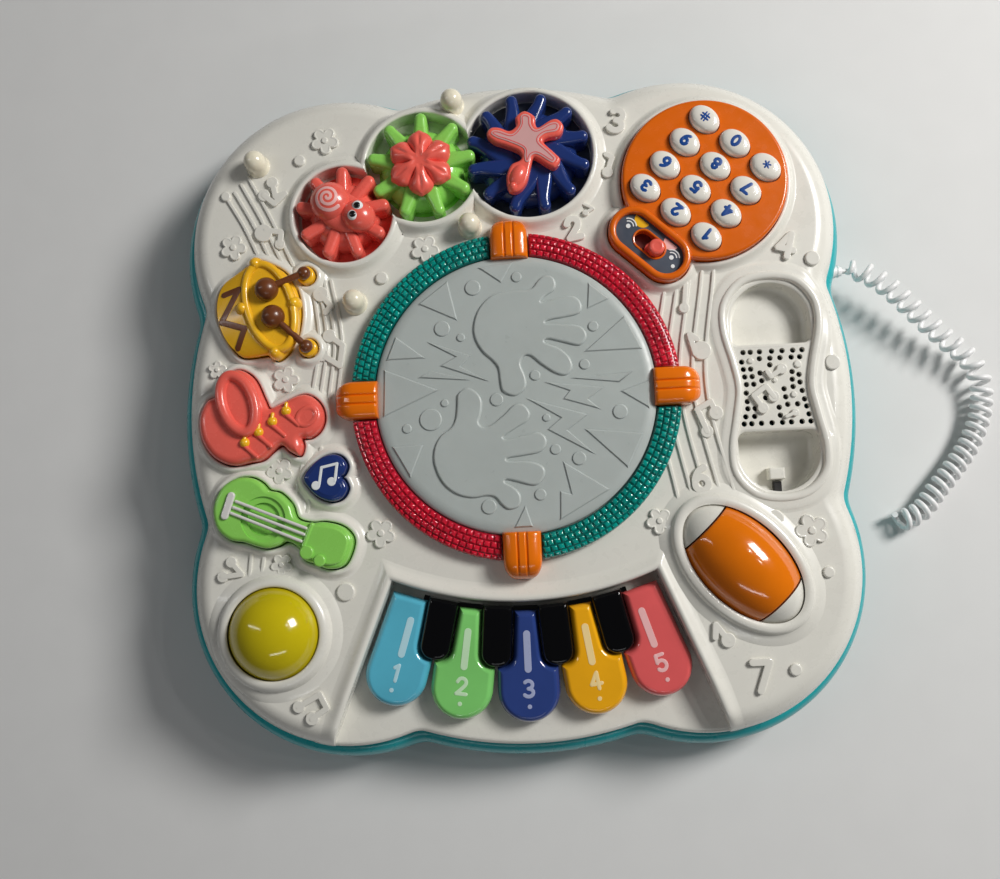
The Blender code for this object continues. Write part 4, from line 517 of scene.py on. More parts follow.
def stroke(path, half_width, low, top, surface=None, edge=0.35):
    """A flat raised line with round ends, laid on a surface where one is given."""
    path = np.asarray(path, float)
    path = even_path(path, max(2, int(lengths_along(path)[-1] / STROKE_SPACING) + 1))
    ahead = headings(path)
    stations = []
    for turn in STROKE_ENDS:
        stations.append((path[0] - ahead[0] * half_width * math.sin(turn), ahead[0], math.cos(turn)))
    stations += [(point, heading, 1.0) for point, heading in zip(path, ahead)]
    for turn in STROKE_ENDS[::-1]:
        stations.append((path[-1] + ahead[-1] * half_width * math.sin(turn), ahead[-1], math.cos(turn)))
    rings = []
    for point, heading, share in stations:
        side = np.array([heading[1], -heading[0]])
        half = half_width * share
        ease = min(edge, STROKE_EASE * half)
        section = [
            (-half, low), (-half, top - edge),
            (-half + STROKE_BEVEL * ease, top - STROKE_BEVEL * edge), (-half + ease, top),
        ]
        section += [(-across, z) for across, z in reversed(section)]
        ring = []
        for across, z in section:
            x, y = point + across * side
            ring.append((x, y, z + (surface(x, y) if surface else 0.0)))
        rings.append(np.array(ring))
    return loft(rings)


# Figures of one unit's height, as the paths of their strokes


def arc(x, y, wide, tall, start, end, count=15):
    angles = np.radians(np.linspace(start, end, count))
    return np.stack([x + wide * np.cos(angles), y + tall * np.sin(angles)], 1)


SIX = (
    bent(((0.16, 0.42), (-0.06, 0.30), (-0.20, 0.08), (-0.24, -0.16)), 18),
    arc(0.0, -0.17, 0.24, 0.25, 180.0, 0.0),
    arc(0.0, -0.17, 0.24, 0.25, 180.0, 360.0),
)
FIGURES = {
    "0": (arc(0.0, 0.0, 0.25, 0.42, -90.0, 90.0), arc(0.0, 0.0, 0.25, 0.42, 90.0, 270.0)),
    "1": (((-0.14, 0.26), (0.05, 0.42)), ((0.05, 0.42), (0.05, -0.42))),
    "2": (
        bent(((-0.25, 0.22), (-0.13, 0.39), (0.09, 0.40), (0.22, 0.24), (0.15, 0.02), (-0.26, -0.42)), 30),
        ((-0.26, -0.42), (0.26, -0.42)),
    ),
    "3": (arc(-0.03, 0.21, 0.23, 0.21, 140.0, -90.0), arc(-0.03, -0.21, 0.26, 0.21, 90.0, -145.0)),
    "4": (((0.08, 0.42), (-0.27, -0.16)), ((-0.27, -0.16), (0.28, -0.16)), ((0.10, 0.42), (0.10, -0.42))),
    "5": (
        ((0.21, 0.42), (-0.17, 0.42)),
        ((-0.17, 0.42), (-0.20, 0.04)),
        arc(-0.02, -0.15, 0.26, 0.27, 134.0, -145.0),
    ),
    "6": SIX,
    "7": (((-0.25, 0.42), (0.25, 0.42)), ((0.25, 0.42), (-0.06, -0.42))),
    "8": (
        arc(0.0, 0.22, 0.19, 0.20, 90.0, -90.0),
        arc(0.0, 0.22, 0.19, 0.20, 90.0, 270.0),
        arc(0.0, -0.20, 0.25, 0.22, 90.0, -90.0),
        arc(0.0, -0.20, 0.25, 0.22, 90.0, 270.0),
    ),
    "9": tuple(-path for path in SIX),
    "star": tuple((-tip, tip) for tip in arc(0.0, 0.0, 0.27, 0.27, 30.0, 150.0, 3)),
    "hash": (
        ((-0.10, -0.34), (-0.10, 0.34)), ((0.12, -0.34), (0.12, 0.34)),
        ((-0.30, -0.12), (0.32, -0.12)), ((-0.30, 0.12), (0.32, 0.12)),
    ),
}


def figure(sign, centre, height, turn, half_width, low, top, surface=None):
    """A plain figure drawn in bold strokes; each stroke lies a hair above the one before."""
    bodies = []
    for index, path in enumerate(FIGURES[sign]):
        line = turned(centre, np.asarray(path) * height, turn)
        bodies.append(stroke(line, half_width, low, top + STROKE_LIFT * index, surface))
    return bodies


# Pieces

WELD = 1e-6
SHARP = 38.0


def mesh_from(name, bodies):
    points = []
    faces = []
    base = 0
    for body_points, body_faces in bodies:
        points.append(np.asarray(body_points) * MM)
        faces.extend(tuple(base + index for index in face) for face in body_faces)
        base += len(body_points)
    mesh = bpy.data.meshes.new(name)
    mesh.from_pydata(np.concatenate(points).tolist(), [], faces)
    work = bmesh.new()
    work.from_mesh(mesh)
    bmesh.ops.remove_doubles(work, verts=work.verts, dist=WELD)
    bmesh.ops.dissolve_degenerate(work, edges=work.edges, dist=WELD)
    bmesh.ops.recalc_face_normals(work, faces=work.faces)
    work.to_mesh(mesh)
    work.free()
    return mesh


def link(name, data):
    """A new object of the scene that shows the data."""
    result = bpy.data.objects.new(name, data)
    bpy.context.scene.collection.objects.link(result)
    return result


def cut(target, bodies):
    """Takes the bodies away from the target's mesh."""
    tool = link("tool", mesh_from("tool", bodies))
    modifier = target.modifiers.new("cut", "BOOLEAN")
    modifier.operation = "DIFFERENCE"
    modifier.solver = "EXACT"
    modifier.object = tool
    graph = bpy.context.evaluated_depsgraph_get()
    result = bpy.data.meshes.new_from_object(target.evaluated_get(graph))
    target.modifiers.clear()
    target.data = result
    bpy.data.objects.remove(tool)


def piece(name, bodies, finish, body="casing", replaces=None, sharp=SHARP, cuts=()):
    """A visible piece with its openings, finish and shading, riding on its body."""
    target = link(name, mesh_from(name, bodies))
    for openings in cuts:
        cut(target, openings)
    target.data.materials.clear()
    target.data.materials.append(FINISHES[finish])
    target.data.shade_smooth()
    target.data.set_sharp_from_angle(angle=math.radians(sharp))
    weighted = target.modifiers.new("even_shading", "WEIGHTED_NORMAL")
    weighted.keep_sharp = True
    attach(target, body)
    if replaces:
        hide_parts(replaces)


# Finishes: plastics whose colour, gloss and surface vary a little from place to place


def shade(red, green, blue):
    """A colour as it shows on a screen, in linear light."""
    linear = []
    for value in (red, green, blue):
        share = value / 255
        linear.append(share / 12.92 if share <= 0.04045 else ((share + 0.055) / 1.055) ** 2.4)
    return (*linear, 1.0)


def tinted(colour, factor):
    return tuple(min(1.0, channel * factor) for channel in colour[:3]) + (1.0,)


NOISE_SPAN = (0.3, 0.7)
CLOUD_DETAIL = 4.0
WEAR_SCALE = 4.0
WEAR_DETAIL = 6.0
WEAR_SPAN = (0.8, 1.25)
GRAIN_SCALE = 1400.0
GRAIN_DETAIL = 2.0
GRAIN_DEPTH = 0.0004
LEAST_ROUGHNESS = 0.02
COAT_ROUGHNESS = 0.08
SCATTER_RADIUS = (1.0, 0.9, 0.8)
SCATTER_SCALE = 0.002


def plastic(name, screen_colour, roughness, variation=0.06, grain=0.02, coat=0.0, clear=0.0, scatter=0.0,
            metal=0.0, shine=0.5, cloud_scale=45.0):
    """A moulded plastic with faint clouds of colour, uneven gloss and a fine grain."""
    material = bpy.data.materials.new(name)
    material.use_nodes = True
    nodes = material.node_tree.nodes
    links = material.node_tree.links
    shader = nodes["Principled BSDF"]
    place = nodes.new("ShaderNodeTexCoord")

    def noise(scale, detail):
        node = nodes.new("ShaderNodeTexNoise")
        node.inputs["Scale"].default_value = scale
        node.inputs["Detail"].default_value = detail
        links.new(place.outputs["Object"], node.inputs["Vector"])
        return node.outputs["Fac"]

    colour = shade(*screen_colour)
    ramp = nodes.new("ShaderNodeValToRGB")
    factors = (1 - variation, 1 + variation)
    for element, position, factor in zip(ramp.color_ramp.elements, NOISE_SPAN, factors):
        element.position = position
        element.color = tinted(colour, factor)
    links.new(noise(cloud_scale, CLOUD_DETAIL), ramp.inputs["Fac"])
    links.new(ramp.outputs["Color"], shader.inputs["Base Color"])

    gloss = nodes.new("ShaderNodeMapRange")
    gloss.inputs["From Min"].default_value, gloss.inputs["From Max"].default_value = NOISE_SPAN
    gloss.inputs["To Min"].default_value = max(LEAST_ROUGHNESS, roughness * WEAR_SPAN[0])
    gloss.inputs["To Max"].default_value = min(1.0, roughness * WEAR_SPAN[1])
    links.new(noise(cloud_scale * WEAR_SCALE, WEAR_DETAIL), gloss.inputs["Value"])
    links.new(gloss.outputs["Result"], shader.inputs["Roughness"])

    bump = nodes.new("ShaderNodeBump")
    bump.inputs["Strength"].default_value = grain
    bump.inputs["Distance"].default_value = GRAIN_DEPTH
    links.new(noise(GRAIN_SCALE, GRAIN_DETAIL), bump.inputs["Height"])
    links.new(bump.outputs["Normal"], shader.inputs["Normal"])

    shader.inputs["Specular IOR Level"].default_value = shine
    shader.inputs["Coat Weight"].default_value = coat
    shader.inputs["Coat Roughness"].default_value = COAT_ROUGHNESS
    shader.inputs["Transmission Weight"].default_value = clear
    shader.inputs["Metallic"].default_value = metal
    if scatter:
        shader.inputs["Subsurface Weight"].default_value = scatter
        shader.inputs["Subsurface Radius"].default_value = SCATTER_RADIUS
        shader.inputs["Subsurface Scale"].default_value = SCATTER_SCALE
    return material


RING_LOOK = {"variation": 0.25, "coat": 0.8, "clear": 0.12, "cloud_scale": 160.0}
KEY_SHADES = {
    "blue": (92, 186, 212),
    "green": (134, 216, 118),
    "navy": (46, 68, 134),
    "amber": (248, 178, 22),
    "red": (232, 98, 98),
}
MARK_SHADES = {**KEY_SHADES, "navy": (50, 70, 150)}
MARK_PALENESS = 0.58
FINISHES = {
    "white": plastic("shell_white", (230, 228, 219), 0.29, 0.015, 0.02, coat=0.28),
    "teal": plastic("tray_teal", (40, 172, 178), 0.30, coat=0.15),
    "pad": plastic("pad_clear", (184, 191, 188), 0.34, 0.03, 0.05, scatter=0.25),
    "ring_red": plastic("ring_red", (222, 30, 56), 0.07, **RING_LOOK),
    "ring_teal": plastic("ring_teal", (0, 156, 144), 0.07, **RING_LOOK),
    # The ring cores are darker copies of the ring colours: painted shade in the gaps between the bricks.
    "core_red": plastic("ring_red_gap_shade", (160, 20, 40), 0.25, 0.10),
    "core_teal": plastic("ring_teal_gap_shade", (2, 100, 94), 0.25, 0.10),
    "clip": plastic("clip_orange", (240, 119, 8), 0.20, 0.03, coat=0.4),
    "panel": plastic("panel_orange", (226, 104, 10), 0.24, 0.03, coat=0.25),
    "coral": plastic("coral", (244, 104, 90), 0.26, coat=0.25),
    "lime": plastic("lime", (147, 218, 97), 0.26, 0.03, coat=0.25),
    "navy": plastic("navy", (32, 54, 116), 0.20, 0.04, coat=0.4),
    "yellow": plastic("yellow", (254, 192, 36), 0.24, coat=0.3),
    "brown": plastic("brown", (112, 62, 32), 0.30, coat=0.2),
    "ball": plastic("ball_yellow", (204, 186, 16), 0.12, coat=0.5),
    "roller": plastic("roller_orange", (228, 118, 6), 0.12, coat=0.5),
    "key_white": plastic("key_white", (238, 234, 224), 0.16, 0.015, coat=0.5),
    "digit": plastic("digit_blue", (10, 70, 146), 0.35),
    "slate": plastic("slate", (70, 78, 92), 0.4),
    "black": plastic("black", (4, 4, 6), 0.09, coat=0.3, shine=0.4),
    "ivory": plastic("ivory", (240, 233, 210), 0.20, 0.02, coat=0.35),
    "cord": plastic("cord_white", (240, 240, 240), 0.30, 0.02),
    "ink": plastic("ink_pale", (236, 240, 240), 0.4, 0.02),
    "pink": plastic("pink", (246, 190, 186), 0.35, 0.03),
    "rose": plastic("rose_grey", (218, 168, 166), 0.35, 0.04),
    # A dark red that stands for shade: painted shade at the bottom of the slider's slot.
    "slot": plastic("slot_painted_shade", (96, 26, 22), 0.45),
    "pupil": plastic("pupil_black", (18, 18, 20), 0.2, coat=0.5),
    "dark": plastic("dark", (28, 27, 27), 0.7),
    "egg": plastic("egg_grey", (226, 224, 220), 0.24, 0.02, coat=0.3),
    "steel": plastic("steel", (176, 178, 182), 0.30, metal=1.0),
    "board": plastic("board_green", (30, 96, 58), 0.45),
    "cell": plastic("cell", (60, 64, 72), 0.35),
}
for key_colour, key_shade in KEY_SHADES.items():
    FINISHES[f"key_{key_colour}"] = plastic(f"key_{key_colour}", key_shade, 0.10, coat=0.7)
    pale = [channel + MARK_PALENESS * (255 - channel) for channel in MARK_SHADES[key_colour]]
    FINISHES[f"mark_{key_colour}"] = plastic(f"mark_{key_colour}", pale, 0.3, 0.02)

# Colour slots by finish; a finish that isn't named here has none
SLOTS = {finish: finish for finish in ("ring_red", "ring_teal", "coral", "lime", "navy", "yellow", "slate",
                                       "key_white", "black", "ivory")}
SLOTS |= {f"key_{key_colour}": f"key_{key_colour}" for key_colour in KEY_SHADES}
SLOTS |= {"white": "shell_white", "egg": "shell_white", "cord": "cord_white", "teal": "tray_teal"}
SLOTS |= {"clip": "clip_orange", "roller": "clip_orange", "panel": "panel_orange", "ball": "ball_yellow"}
SLOTS |= {"pad": "pad_clear", "core_red": "ring_red", "core_teal": "ring_teal"}


# Casing

DOME_STEPS = 12


def dome_profile():
    """(inset, height) of the top shell's side, from the parting line up to the plateau."""
    profile = []
    for cosine, sine in quarter(DOME_STEPS):
        inset = SHELL_INSET + (EDGE_ROUND - SHELL_INSET) * (1 - cosine)
        profile.append((-inset, PARTING_Z + (PLATEAU_Z - PARTING_Z) * sine))
    return profile


def shell_ring(grow, z):
    """A level of the white shell, whose foot sits a little to the right of and behind the tray's middle."""
    share = max(0.0, (PLATEAU_Z - z) / (PLATEAU_Z - PARTING_Z))
    return level(plan(grow) + np.array(SHELL_SHIFT) * share, z)


def shell_skin():
    inside = [
        (-SHELL_INNER_INSET, PLATEAU_Z - WALL),
        (-SHELL_INSET - 2 * WALL, SHELL_INNER_Z),
        (-SHELL_INSET - WALL, PARTING_Z),
    ]
    return loft([shell_ring(grow, z) for grow, z in inside + dome_profile()])


def shell_inset(x, y):
    """How far a place in the plan lies inside the casing's outline."""
    far, near = max(abs(x), abs(y)), min(abs(x), abs(y))
    corner = CORNER_LOBE_R - math.hypot(far - CORNER_LOBE_CENTRE, near - CORNER_LOBE_CENTRE)
    side = SIDE_LOBE_R - math.hypot(far - SIDE_LOBE_REACH + SIDE_LOBE_R, near)
    return max(corner, side)


def shell_height(x, y):
    """Height of the white shell's outside over a place in the plan."""
    inset = shell_inset(x, y) - SHELL_INSET
    slope = 1 - clamped(inset / (EDGE_ROUND - SHELL_INSET))
    return PARTING_Z + (PLATEAU_Z - PARTING_Z) * math.sqrt(1 - slope * slope)


def settled(body, crest=None):
    """A body let down onto the shell where that curves away; what is as high as its crest stays up."""
    points, faces = body
    points = points.copy()
    for point in points:
        share = clamped((crest - point[2]) / (crest - PLATEAU_Z)) if crest else 1.0
        point[2] -= share * (PLATEAU_Z - shell_height(point[0], point[1]))
    return points, faces


WELL_STEPS = 240


def well_outline(grow=0.0):
    """The three gear wells' shared outline, walked from the star round past the snail and back."""
    discs = [(gear[0], gear[2] + WELL_CLEARANCE + grow) for gear in (STAR, FLOWER, SNAIL)]
    points = []
    for index, (centre, radius) in enumerate(discs):
        others = [disc for disc in discs if disc is not discs[index]]
        for step in range(WELL_STEPS):
            angle = 2 * math.pi * step / WELL_STEPS
            point = np.array(polar(centre, angle, radius))
            if all(np.hypot(*(point - other)) > reach for other, reach in others):
                points.append((index, angle, point))
    star_to_flower = math.atan2(FLOWER[0][1] - STAR[0][1], FLOWER[0][0] - STAR[0][0])
    flower_to_star = star_to_flower + math.pi
    flower_to_snail = math.atan2(SNAIL[0][1] - FLOWER[0][1], SNAIL[0][0] - FLOWER[0][0])
    snail_to_flower = flower_to_snail + math.pi

    def run(index, start, until):
        chosen = []
        span = (until - start) % (2 * math.pi)
        for owner, angle, point in points:
            turn = (angle - start) % (2 * math.pi)
            if owner == index and turn < span:
                chosen.append((turn, point))
        return [point for _, point in sorted(chosen, key=lambda item: item[0])]

    loop = run(0, star_to_flower, star_to_flower - 1e-6)
    loop += run(1, flower_to_star, flower_to_snail)
    loop += run(2, snail_to_flower, snail_to_flower - 1e-6)
    loop += run(1, flower_to_snail, flower_to_star)
    return np.array(loop)


CRADLE_STEPS = 8
CRADLE_HALF = (
    (0.0, 59.0), (14.0, 56.0), (23.2, 45.0), (24.5, 31.0), (20.5, 13.0), (18.8, 0.5),
    (21.0, -13.0), (24.0, -29.0), (22.5, -42.0), (13.5, -52.0), (0.0, -55.0),
)


def cradle_loop():
    right = [(CRADLE_X + x, y) for x, y in CRADLE_HALF]
    left = [(CRADLE_X - x, y) for x, y in CRADLE_HALF[-2:0:-1]]
    return smooth_loop(right + left, CRADLE_STEPS)


POCKET_HALF_WIDTH = 20.0
POCKET_CORNER = 4.0
POCKET_STEPS = 48
POCKET_CORNER_STEPS = 8


def pocket_loop(straight_y, centre_y):
    """A pocket with one straight side towards the grille and a round far side."""
    heading = 1.0 if centre_y > straight_y else -1.0
    loop = []
    for step in range(POCKET_STEPS + 1):
        angle = math.pi * step / POCKET_STEPS
        x = CRADLE_X + POCKET_HALF_WIDTH * math.cos(angle)
        loop.append((x, centre_y + heading * POCKET_HALF_WIDTH * math.sin(angle)))
    turns = quarter(POCKET_CORNER_STEPS)
    for side, corner in ((-1, turns), (1, turns[::-1])):
        for cosine, sine in corner:
            x = CRADLE_X + side * (POCKET_HALF_WIDTH - POCKET_CORNER * (1 - cosine))
            loop.append((x, straight_y + heading * POCKET_CORNER * (1 - sine)))
    return counter_clockwise(loop)


POCKETS = (pocket_loop(23.0, 34.5), pocket_loop(-21.0, -31.0))
POCKET_FLOORS = (41.5, 37.0)


def egg_width(along, z):
    """Half the roller egg's width at a place along its axis and at a height."""
    square = 1 - (along / EGG_HALF) ** 2 - ((z - ROLLER_Z) / ROLLER_R) ** 2
    return ROLLER_R * math.sqrt(max(square, 0.0))


BARREL_POINTS = 40


def barrel_outline(grow):
    upper = []
    half = ROLLER_HALF + grow
    for along in np.linspace(-half, half, BARREL_POINTS):
        upper.append((along, egg_width(along, ROLLER_Z) + grow))
    lower = [(along, -across) for along, across in upper[::-1]]
    return counter_clockwise(turned(ROLLER_CENTRE, upper + lower, ROLLER_TURN))


TRAY_STEPS = 40


def tray_loop(grow):
    rear = TRAY_REAR_R - grow
    loop = []
    for step in range(TRAY_STEPS + 1):
        share = step / TRAY_STEPS
        angle = TRAY_HALF_ANGLE * (1 - 2 * share)
        loop.append(fan_point(angle, rear, grow * (1 - 2 * share)))
    loop.append(fan_point(-TRAY_HALF_ANGLE, TRAY_FRONT_R, -grow))
    loop.append(fan_point(TRAY_HALF_ANGLE, TRAY_FRONT_R, grow))
    return counter_clockwise(loop)


BUTTON_STEPS = 7
DRUM_OUTLINE = (
    (-107.3, 52.0), (-109.5, 63.0), (-115.0, 71.5), (-123.0, 76.5), (-130.0, 78.5), (-135.0, 73.0),
    (-139.0, 69.0), (-145.0, 66.5), (-148.8, 61.0), (-150.0, 52.0), (-147.5, 43.0), (-143.0, 34.5),
    (-138.0, 29.0), (-132.0, 28.3), (-124.0, 29.0), (-119.5, 26.0), (-115.0, 28.5), (-111.0, 33.5),
    (-108.3, 42.0),
)
SAX_OUTLINE = (
    (-143.0, 21.5), (-147.8, 16.0), (-150.0, 9.5), (-155.0, 7.0), (-158.5, 1.0), (-159.3, -6.0),
    (-157.5, -14.0), (-153.0, -21.0), (-147.0, -25.0), (-141.0, -26.3), (-134.0, -25.2), (-127.5, -24.0),
    (-122.5, -20.0), (-117.8, -17.2), (-114.0, -20.5), (-109.0, -22.8), (-107.2, -18.5), (-107.5, -14.5),
    (-103.0, -14.0), (-98.5, -10.5), (-96.3, -4.5), (-97.8, 2.0), (-102.5, 6.8), (-108.5, 7.7),
    (-119.0, 3.4), (-124.0, 1.6), (-126.5, 6.5), (-131.0, 16.5), (-137.0, 21.5),
)
GUITAR_OUTLINE = (
    (-152.2, -50.0), (-151.0, -43.0), (-147.0, -36.5), (-140.0, -32.8), (-133.0, -33.0), (-128.0, -35.8),
    (-124.5, -39.5), (-119.0, -41.2), (-113.5, -47.0), (-110.8, -54.0), (-104.0, -56.5), (-96.5, -56.5),
    (-88.0, -59.2), (-83.2, -65.0), (-84.5, -72.5), (-88.5, -78.5), (-95.5, -79.5), (-101.5, -77.0),
    (-107.5, -74.3), (-109.2, -69.0), (-115.5, -65.2), (-120.5, -67.2), (-126.0, -68.2), (-132.0, -66.6),
    (-137.0, -64.7), (-144.0, -63.2), (-150.0, -57.8),
)
HEART_OUTLINE = (
    (-107.0, -34.5), (-104.0, -40.0), (-99.0, -44.5), (-93.0, -46.5), (-88.0, -45.0), (-85.3, -40.5),
    (-86.5, -36.5), (-88.2, -34.6), (-86.5, -32.7), (-85.3, -28.7), (-88.0, -24.4), (-93.0, -23.0),
    (-99.0, -25.0), (-104.0, -29.4),
)
BUTTONS = {
    "drum": smooth_loop(DRUM_OUTLINE, BUTTON_STEPS),
    "sax": smooth_loop(SAX_OUTLINE, BUTTON_STEPS),
    "guitar": smooth_loop(GUITAR_OUTLINE, BUTTON_STEPS),
    "heart": smooth_loop(HEART_OUTLINE, BUTTON_STEPS),
}
STICKS = (((-122.5, 61.2), (-104.2, 69.4)), ((-119.5, 47.0), (-103.8, 31.8)))
STICK_PAD_R = 4.6
GRILLE_HOLE_R = 1.4
GRILLE_ROWS = (
    (19.2, (114.9, 118.5, 123.1, 129.1, 134.3, 139.6, 144.2)),
    (15.7, (122.8, 128.0, 133.0, 138.6, 142.8)),
    (14.4, (113.9,)),
    (12.3, (127.7,)),
    (10.6, (114.5, 118.1)),
    (8.4, (122.6, 138.5)),
    (6.8, (114.9, 118.6, 141.8)),
    (4.5, (123.2, 138.3)),
    (2.9, (115.5, 119.1, 142.0)),
    (0.8, (138.4,)),
    (-0.1, (133.9,)),
    (-1.4, (115.1, 142.8)),
    (-4.2, (124.5, 134.4)),
    (-5.7, (115.3, 143.6)),
    (-8.0, (135.1, 140.0)),
    (-9.3, (115.3, 118.9, 130.8, 144.4)),
    (-13.3, (114.0, 118.4, 131.1, 145.2)),
    (-16.9, (113.0, 116.7, 121.5, 126.7, 131.9, 136.3, 141.5, 145.9)),
)
HOOK_PLACE = (129.5, -41.6)
WELL_GAP = 0.4
POCKET_GAP = 1.5
BUTTON_GAP = 0.6
BALL_GAP = 0.7
ROLLER_GAP = 0.9
TRAY_GAP = 0.2
OPENING_LOW_Z = PLATEAU_Z - 14.0
OPENING_HIGH_Z = PLATEAU_Z + 10.0
SHELL_SHARP = 30.0


def make_top_shell():
    """The white shell's skin with every opening cut through it."""
    loops = [well_outline(WELL_GAP)]
    loops += [offset(loop, POCKET_GAP) for loop in POCKETS]
    loops += [offset(loop, BUTTON_GAP) for loop in BUTTONS.values()]
    loops += [circle(tip, STICK_PAD_R + BUTTON_GAP, 40) for _, tip in STICKS]
    loops += [circle(BALL_CENTRE, BALL_R + BALL_GAP, 72), barrel_outline(ROLLER_GAP)]
    openings = [prism(loop, OPENING_LOW_Z, OPENING_HIGH_Z) for loop in loops]
    openings.append(prism(tray_loop(TRAY_GAP), PARTING_Z + 1.0, OPENING_HIGH_Z))
    for y, columns in GRILLE_ROWS:
        holes = [circle((x, y), GRILLE_HOLE_R, 20) for x in columns]
        openings += [prism(hole, OPENING_LOW_Z, OPENING_HIGH_Z) for hole in holes]
    piece("top_shell_skin", [shell_skin()], "white", replaces="top_shell", sharp=SHELL_SHARP, cuts=[openings])


# Sections of the raised rims: (distance out from the opening, height)
RIM_CREST_Z = 57.0
BUTTON_RIM = (
    (0.6, 49.6), (0.6, 54.3), (0.85, 54.9), (1.5, 55.25), (2.4, 55.15), (3.2, 54.5), (3.9, 53.4),
    (4.8, 52.5), (6.0, 52.02), (6.6, 51.9), (6.6, 49.6),
)
WELL_RIM = (
    (0.0, 45.0), (0.0, 55.9), (0.35, 56.7), (1.1, 57.1), (2.2, 56.9), (3.2, 56.2), (4.2, 54.6),
    (5.4, 53.0), (7.0, 52.1), (8.0, 51.9), (8.0, 45.0),
)
PHONE_RIM = (
    (0.4, 51.0), (0.4, 54.9), (0.7, 55.4), (1.4, 55.6), (2.2, 55.3), (3.0, 54.4), (3.9, 53.0),
    (5.0, 52.2), (6.2, 51.9), (6.2, 50.5), (0.4, 50.5),
)
CRADLE_RIM = (
    (-3.2, 51.5), (-2.9, 52.8), (-2.5, 53.6), (-1.7, 54.1), (-0.4, 54.3), (0.5, 54.1), (0.9, 53.7),
    (1.1, 53.3), (1.5, 53.1), (3.4, 53.0), (4.6, 52.9), (5.3, 52.6), (5.7, 52.3), (7.2, 51.9),
    (7.2, 50.5), (-3.2, 50.5),
)
ROLLER_RIM = (
    (1.9, 57.0), (3.2, 57.2), (4.6, 56.9), (5.6, 56.1), (6.1, 55.0), (6.5, 54.3), (8.6, 53.5),
    (10.8, 52.6), (12.2, 51.9), (12.2, 47.0),
)
# The ball's rim as (radius, height), and the wall inside the roller's rim as (height, gap to the egg)
BALL_RIM = (
    (24.75, 48.0), (24.6, 50.5), (24.1, 52.6), (23.3, 55.0), (22.75, 56.6), (23.0, 57.2), (23.8, 57.6),
    (25.2, 57.5), (26.6, 56.9), (27.7, 55.7), (28.4, 54.4), (28.8, 53.7), (30.8, 53.1), (32.6, 52.5),
    (34.0, 51.9), (34.0, 48.0),
)
ROLLER_WALL = ((47.0, ROLLER_GAP), (52.0, ROLLER_GAP), (55.0, ROLLER_GAP), (56.4, 1.1))
ROLLER_RIM_Z = 56.0
WELL_RIM_SPACING = 1.5


def make_rims():
    """Raised rims that frame the wells, buttons, phone, ball, roller and cradle."""
    bodies = [profiled(loop, BUTTON_RIM, True) for loop in BUTTONS.values()]
    bodies += [profiled(circle(tip, STICK_PAD_R, 48), BUTTON_RIM, True) for _, tip in STICKS]
    bodies.append(profiled(resampled(well_outline(), WELL_RIM_SPACING), WELL_RIM, True))
    bodies.append(phone_collar())
    bodies.append(profiled(slider_loop(SLIDER_R), PHONE_RIM, True))
    bodies.append(profiled(cradle_loop(), CRADLE_RIM, True))
    bodies.append(loft([level(circle(BALL_CENTRE, radius, 96), z) for radius, z in BALL_RIM], True))
    bodies.append(roller_collar())
    bodies += [egg_end(side) for side in (-1, 1)]
    piece("shell_rims", [settled(body, RIM_CREST_Z) for body in bodies], "white", sharp=42.0)


COLLAR_OPENING = math.radians(20.0)
COLLAR_POINTS = 108


def phone_collar():
    """The rim round the phone, left open where the slider's housing crosses it."""
    towards = math.atan2(SLIDER_CENTRE[1] - PHONE_CENTRE[1], SLIDER_CENTRE[0] - PHONE_CENTRE[0])
    start, end = towards + COLLAR_OPENING, towards + 2 * math.pi - COLLAR_OPENING
    rings = []
    for angle in np.linspace(start, end, COLLAR_POINTS):
        rings.append(np.array([(*polar(PHONE_CENTRE, angle, PHONE_R + grow), z) for grow, z in PHONE_RIM]))
    return loft(rings)


def egg_loop(z, grow):
    """The roller egg's outline at a height, grown outwards."""
    share = math.sqrt(1 - ((z - ROLLER_Z) / ROLLER_R) ** 2)
    return ellipse(ROLLER_CENTRE, EGG_HALF * share + grow, ROLLER_R * share + grow, ROLLER_TURN, 120)


def roller_collar():
    """An oval rim whose inner wall follows the egg it surrounds."""
    rings = [level(egg_loop(z, gap), z) for z, gap in ROLLER_WALL]
    lip = egg_loop(ROLLER_RIM_Z, 0.0)
    rings += [level(offset(lip, grow), z) for grow, z in ROLLER_RIM]
    return loft(rings, True)


def egg_radius(along):
    return ROLLER_R * math.sqrt(1 - (along / EGG_HALF) ** 2)


def roller_ring(along, radius, count):
    """A circle round the roller's axis, at a place along it."""
    angles = round_turn(count)
    local = np.stack([np.full(count, along), radius * np.cos(angles)], 1)
    return np.column_stack([turned(ROLLER_CENTRE, local, ROLLER_TURN), ROLLER_Z + radius * np.sin(angles)])


EGG_END_GAP = 0.8
EGG_END_STEPS = 10
EGG_TIP = 0.99


def egg_end(side):
    """One fixed white end of the roller's egg."""
    start = ROLLER_HALF + EGG_END_GAP
    rings = []
    for step in range(EGG_END_STEPS + 1):
        along = start + (EGG_HALF - start) * math.sin(math.pi / 2 * min(step / EGG_END_STEPS, EGG_TIP))
        rings.append(roller_ring(side * along, egg_radius(along), 64))
    return loft(rings)


WELL_FLOOR_LOW_Z = 44.0
WELL_FLOOR_STEP = 0.1
WELL_FLOOR_GROW = 1.0


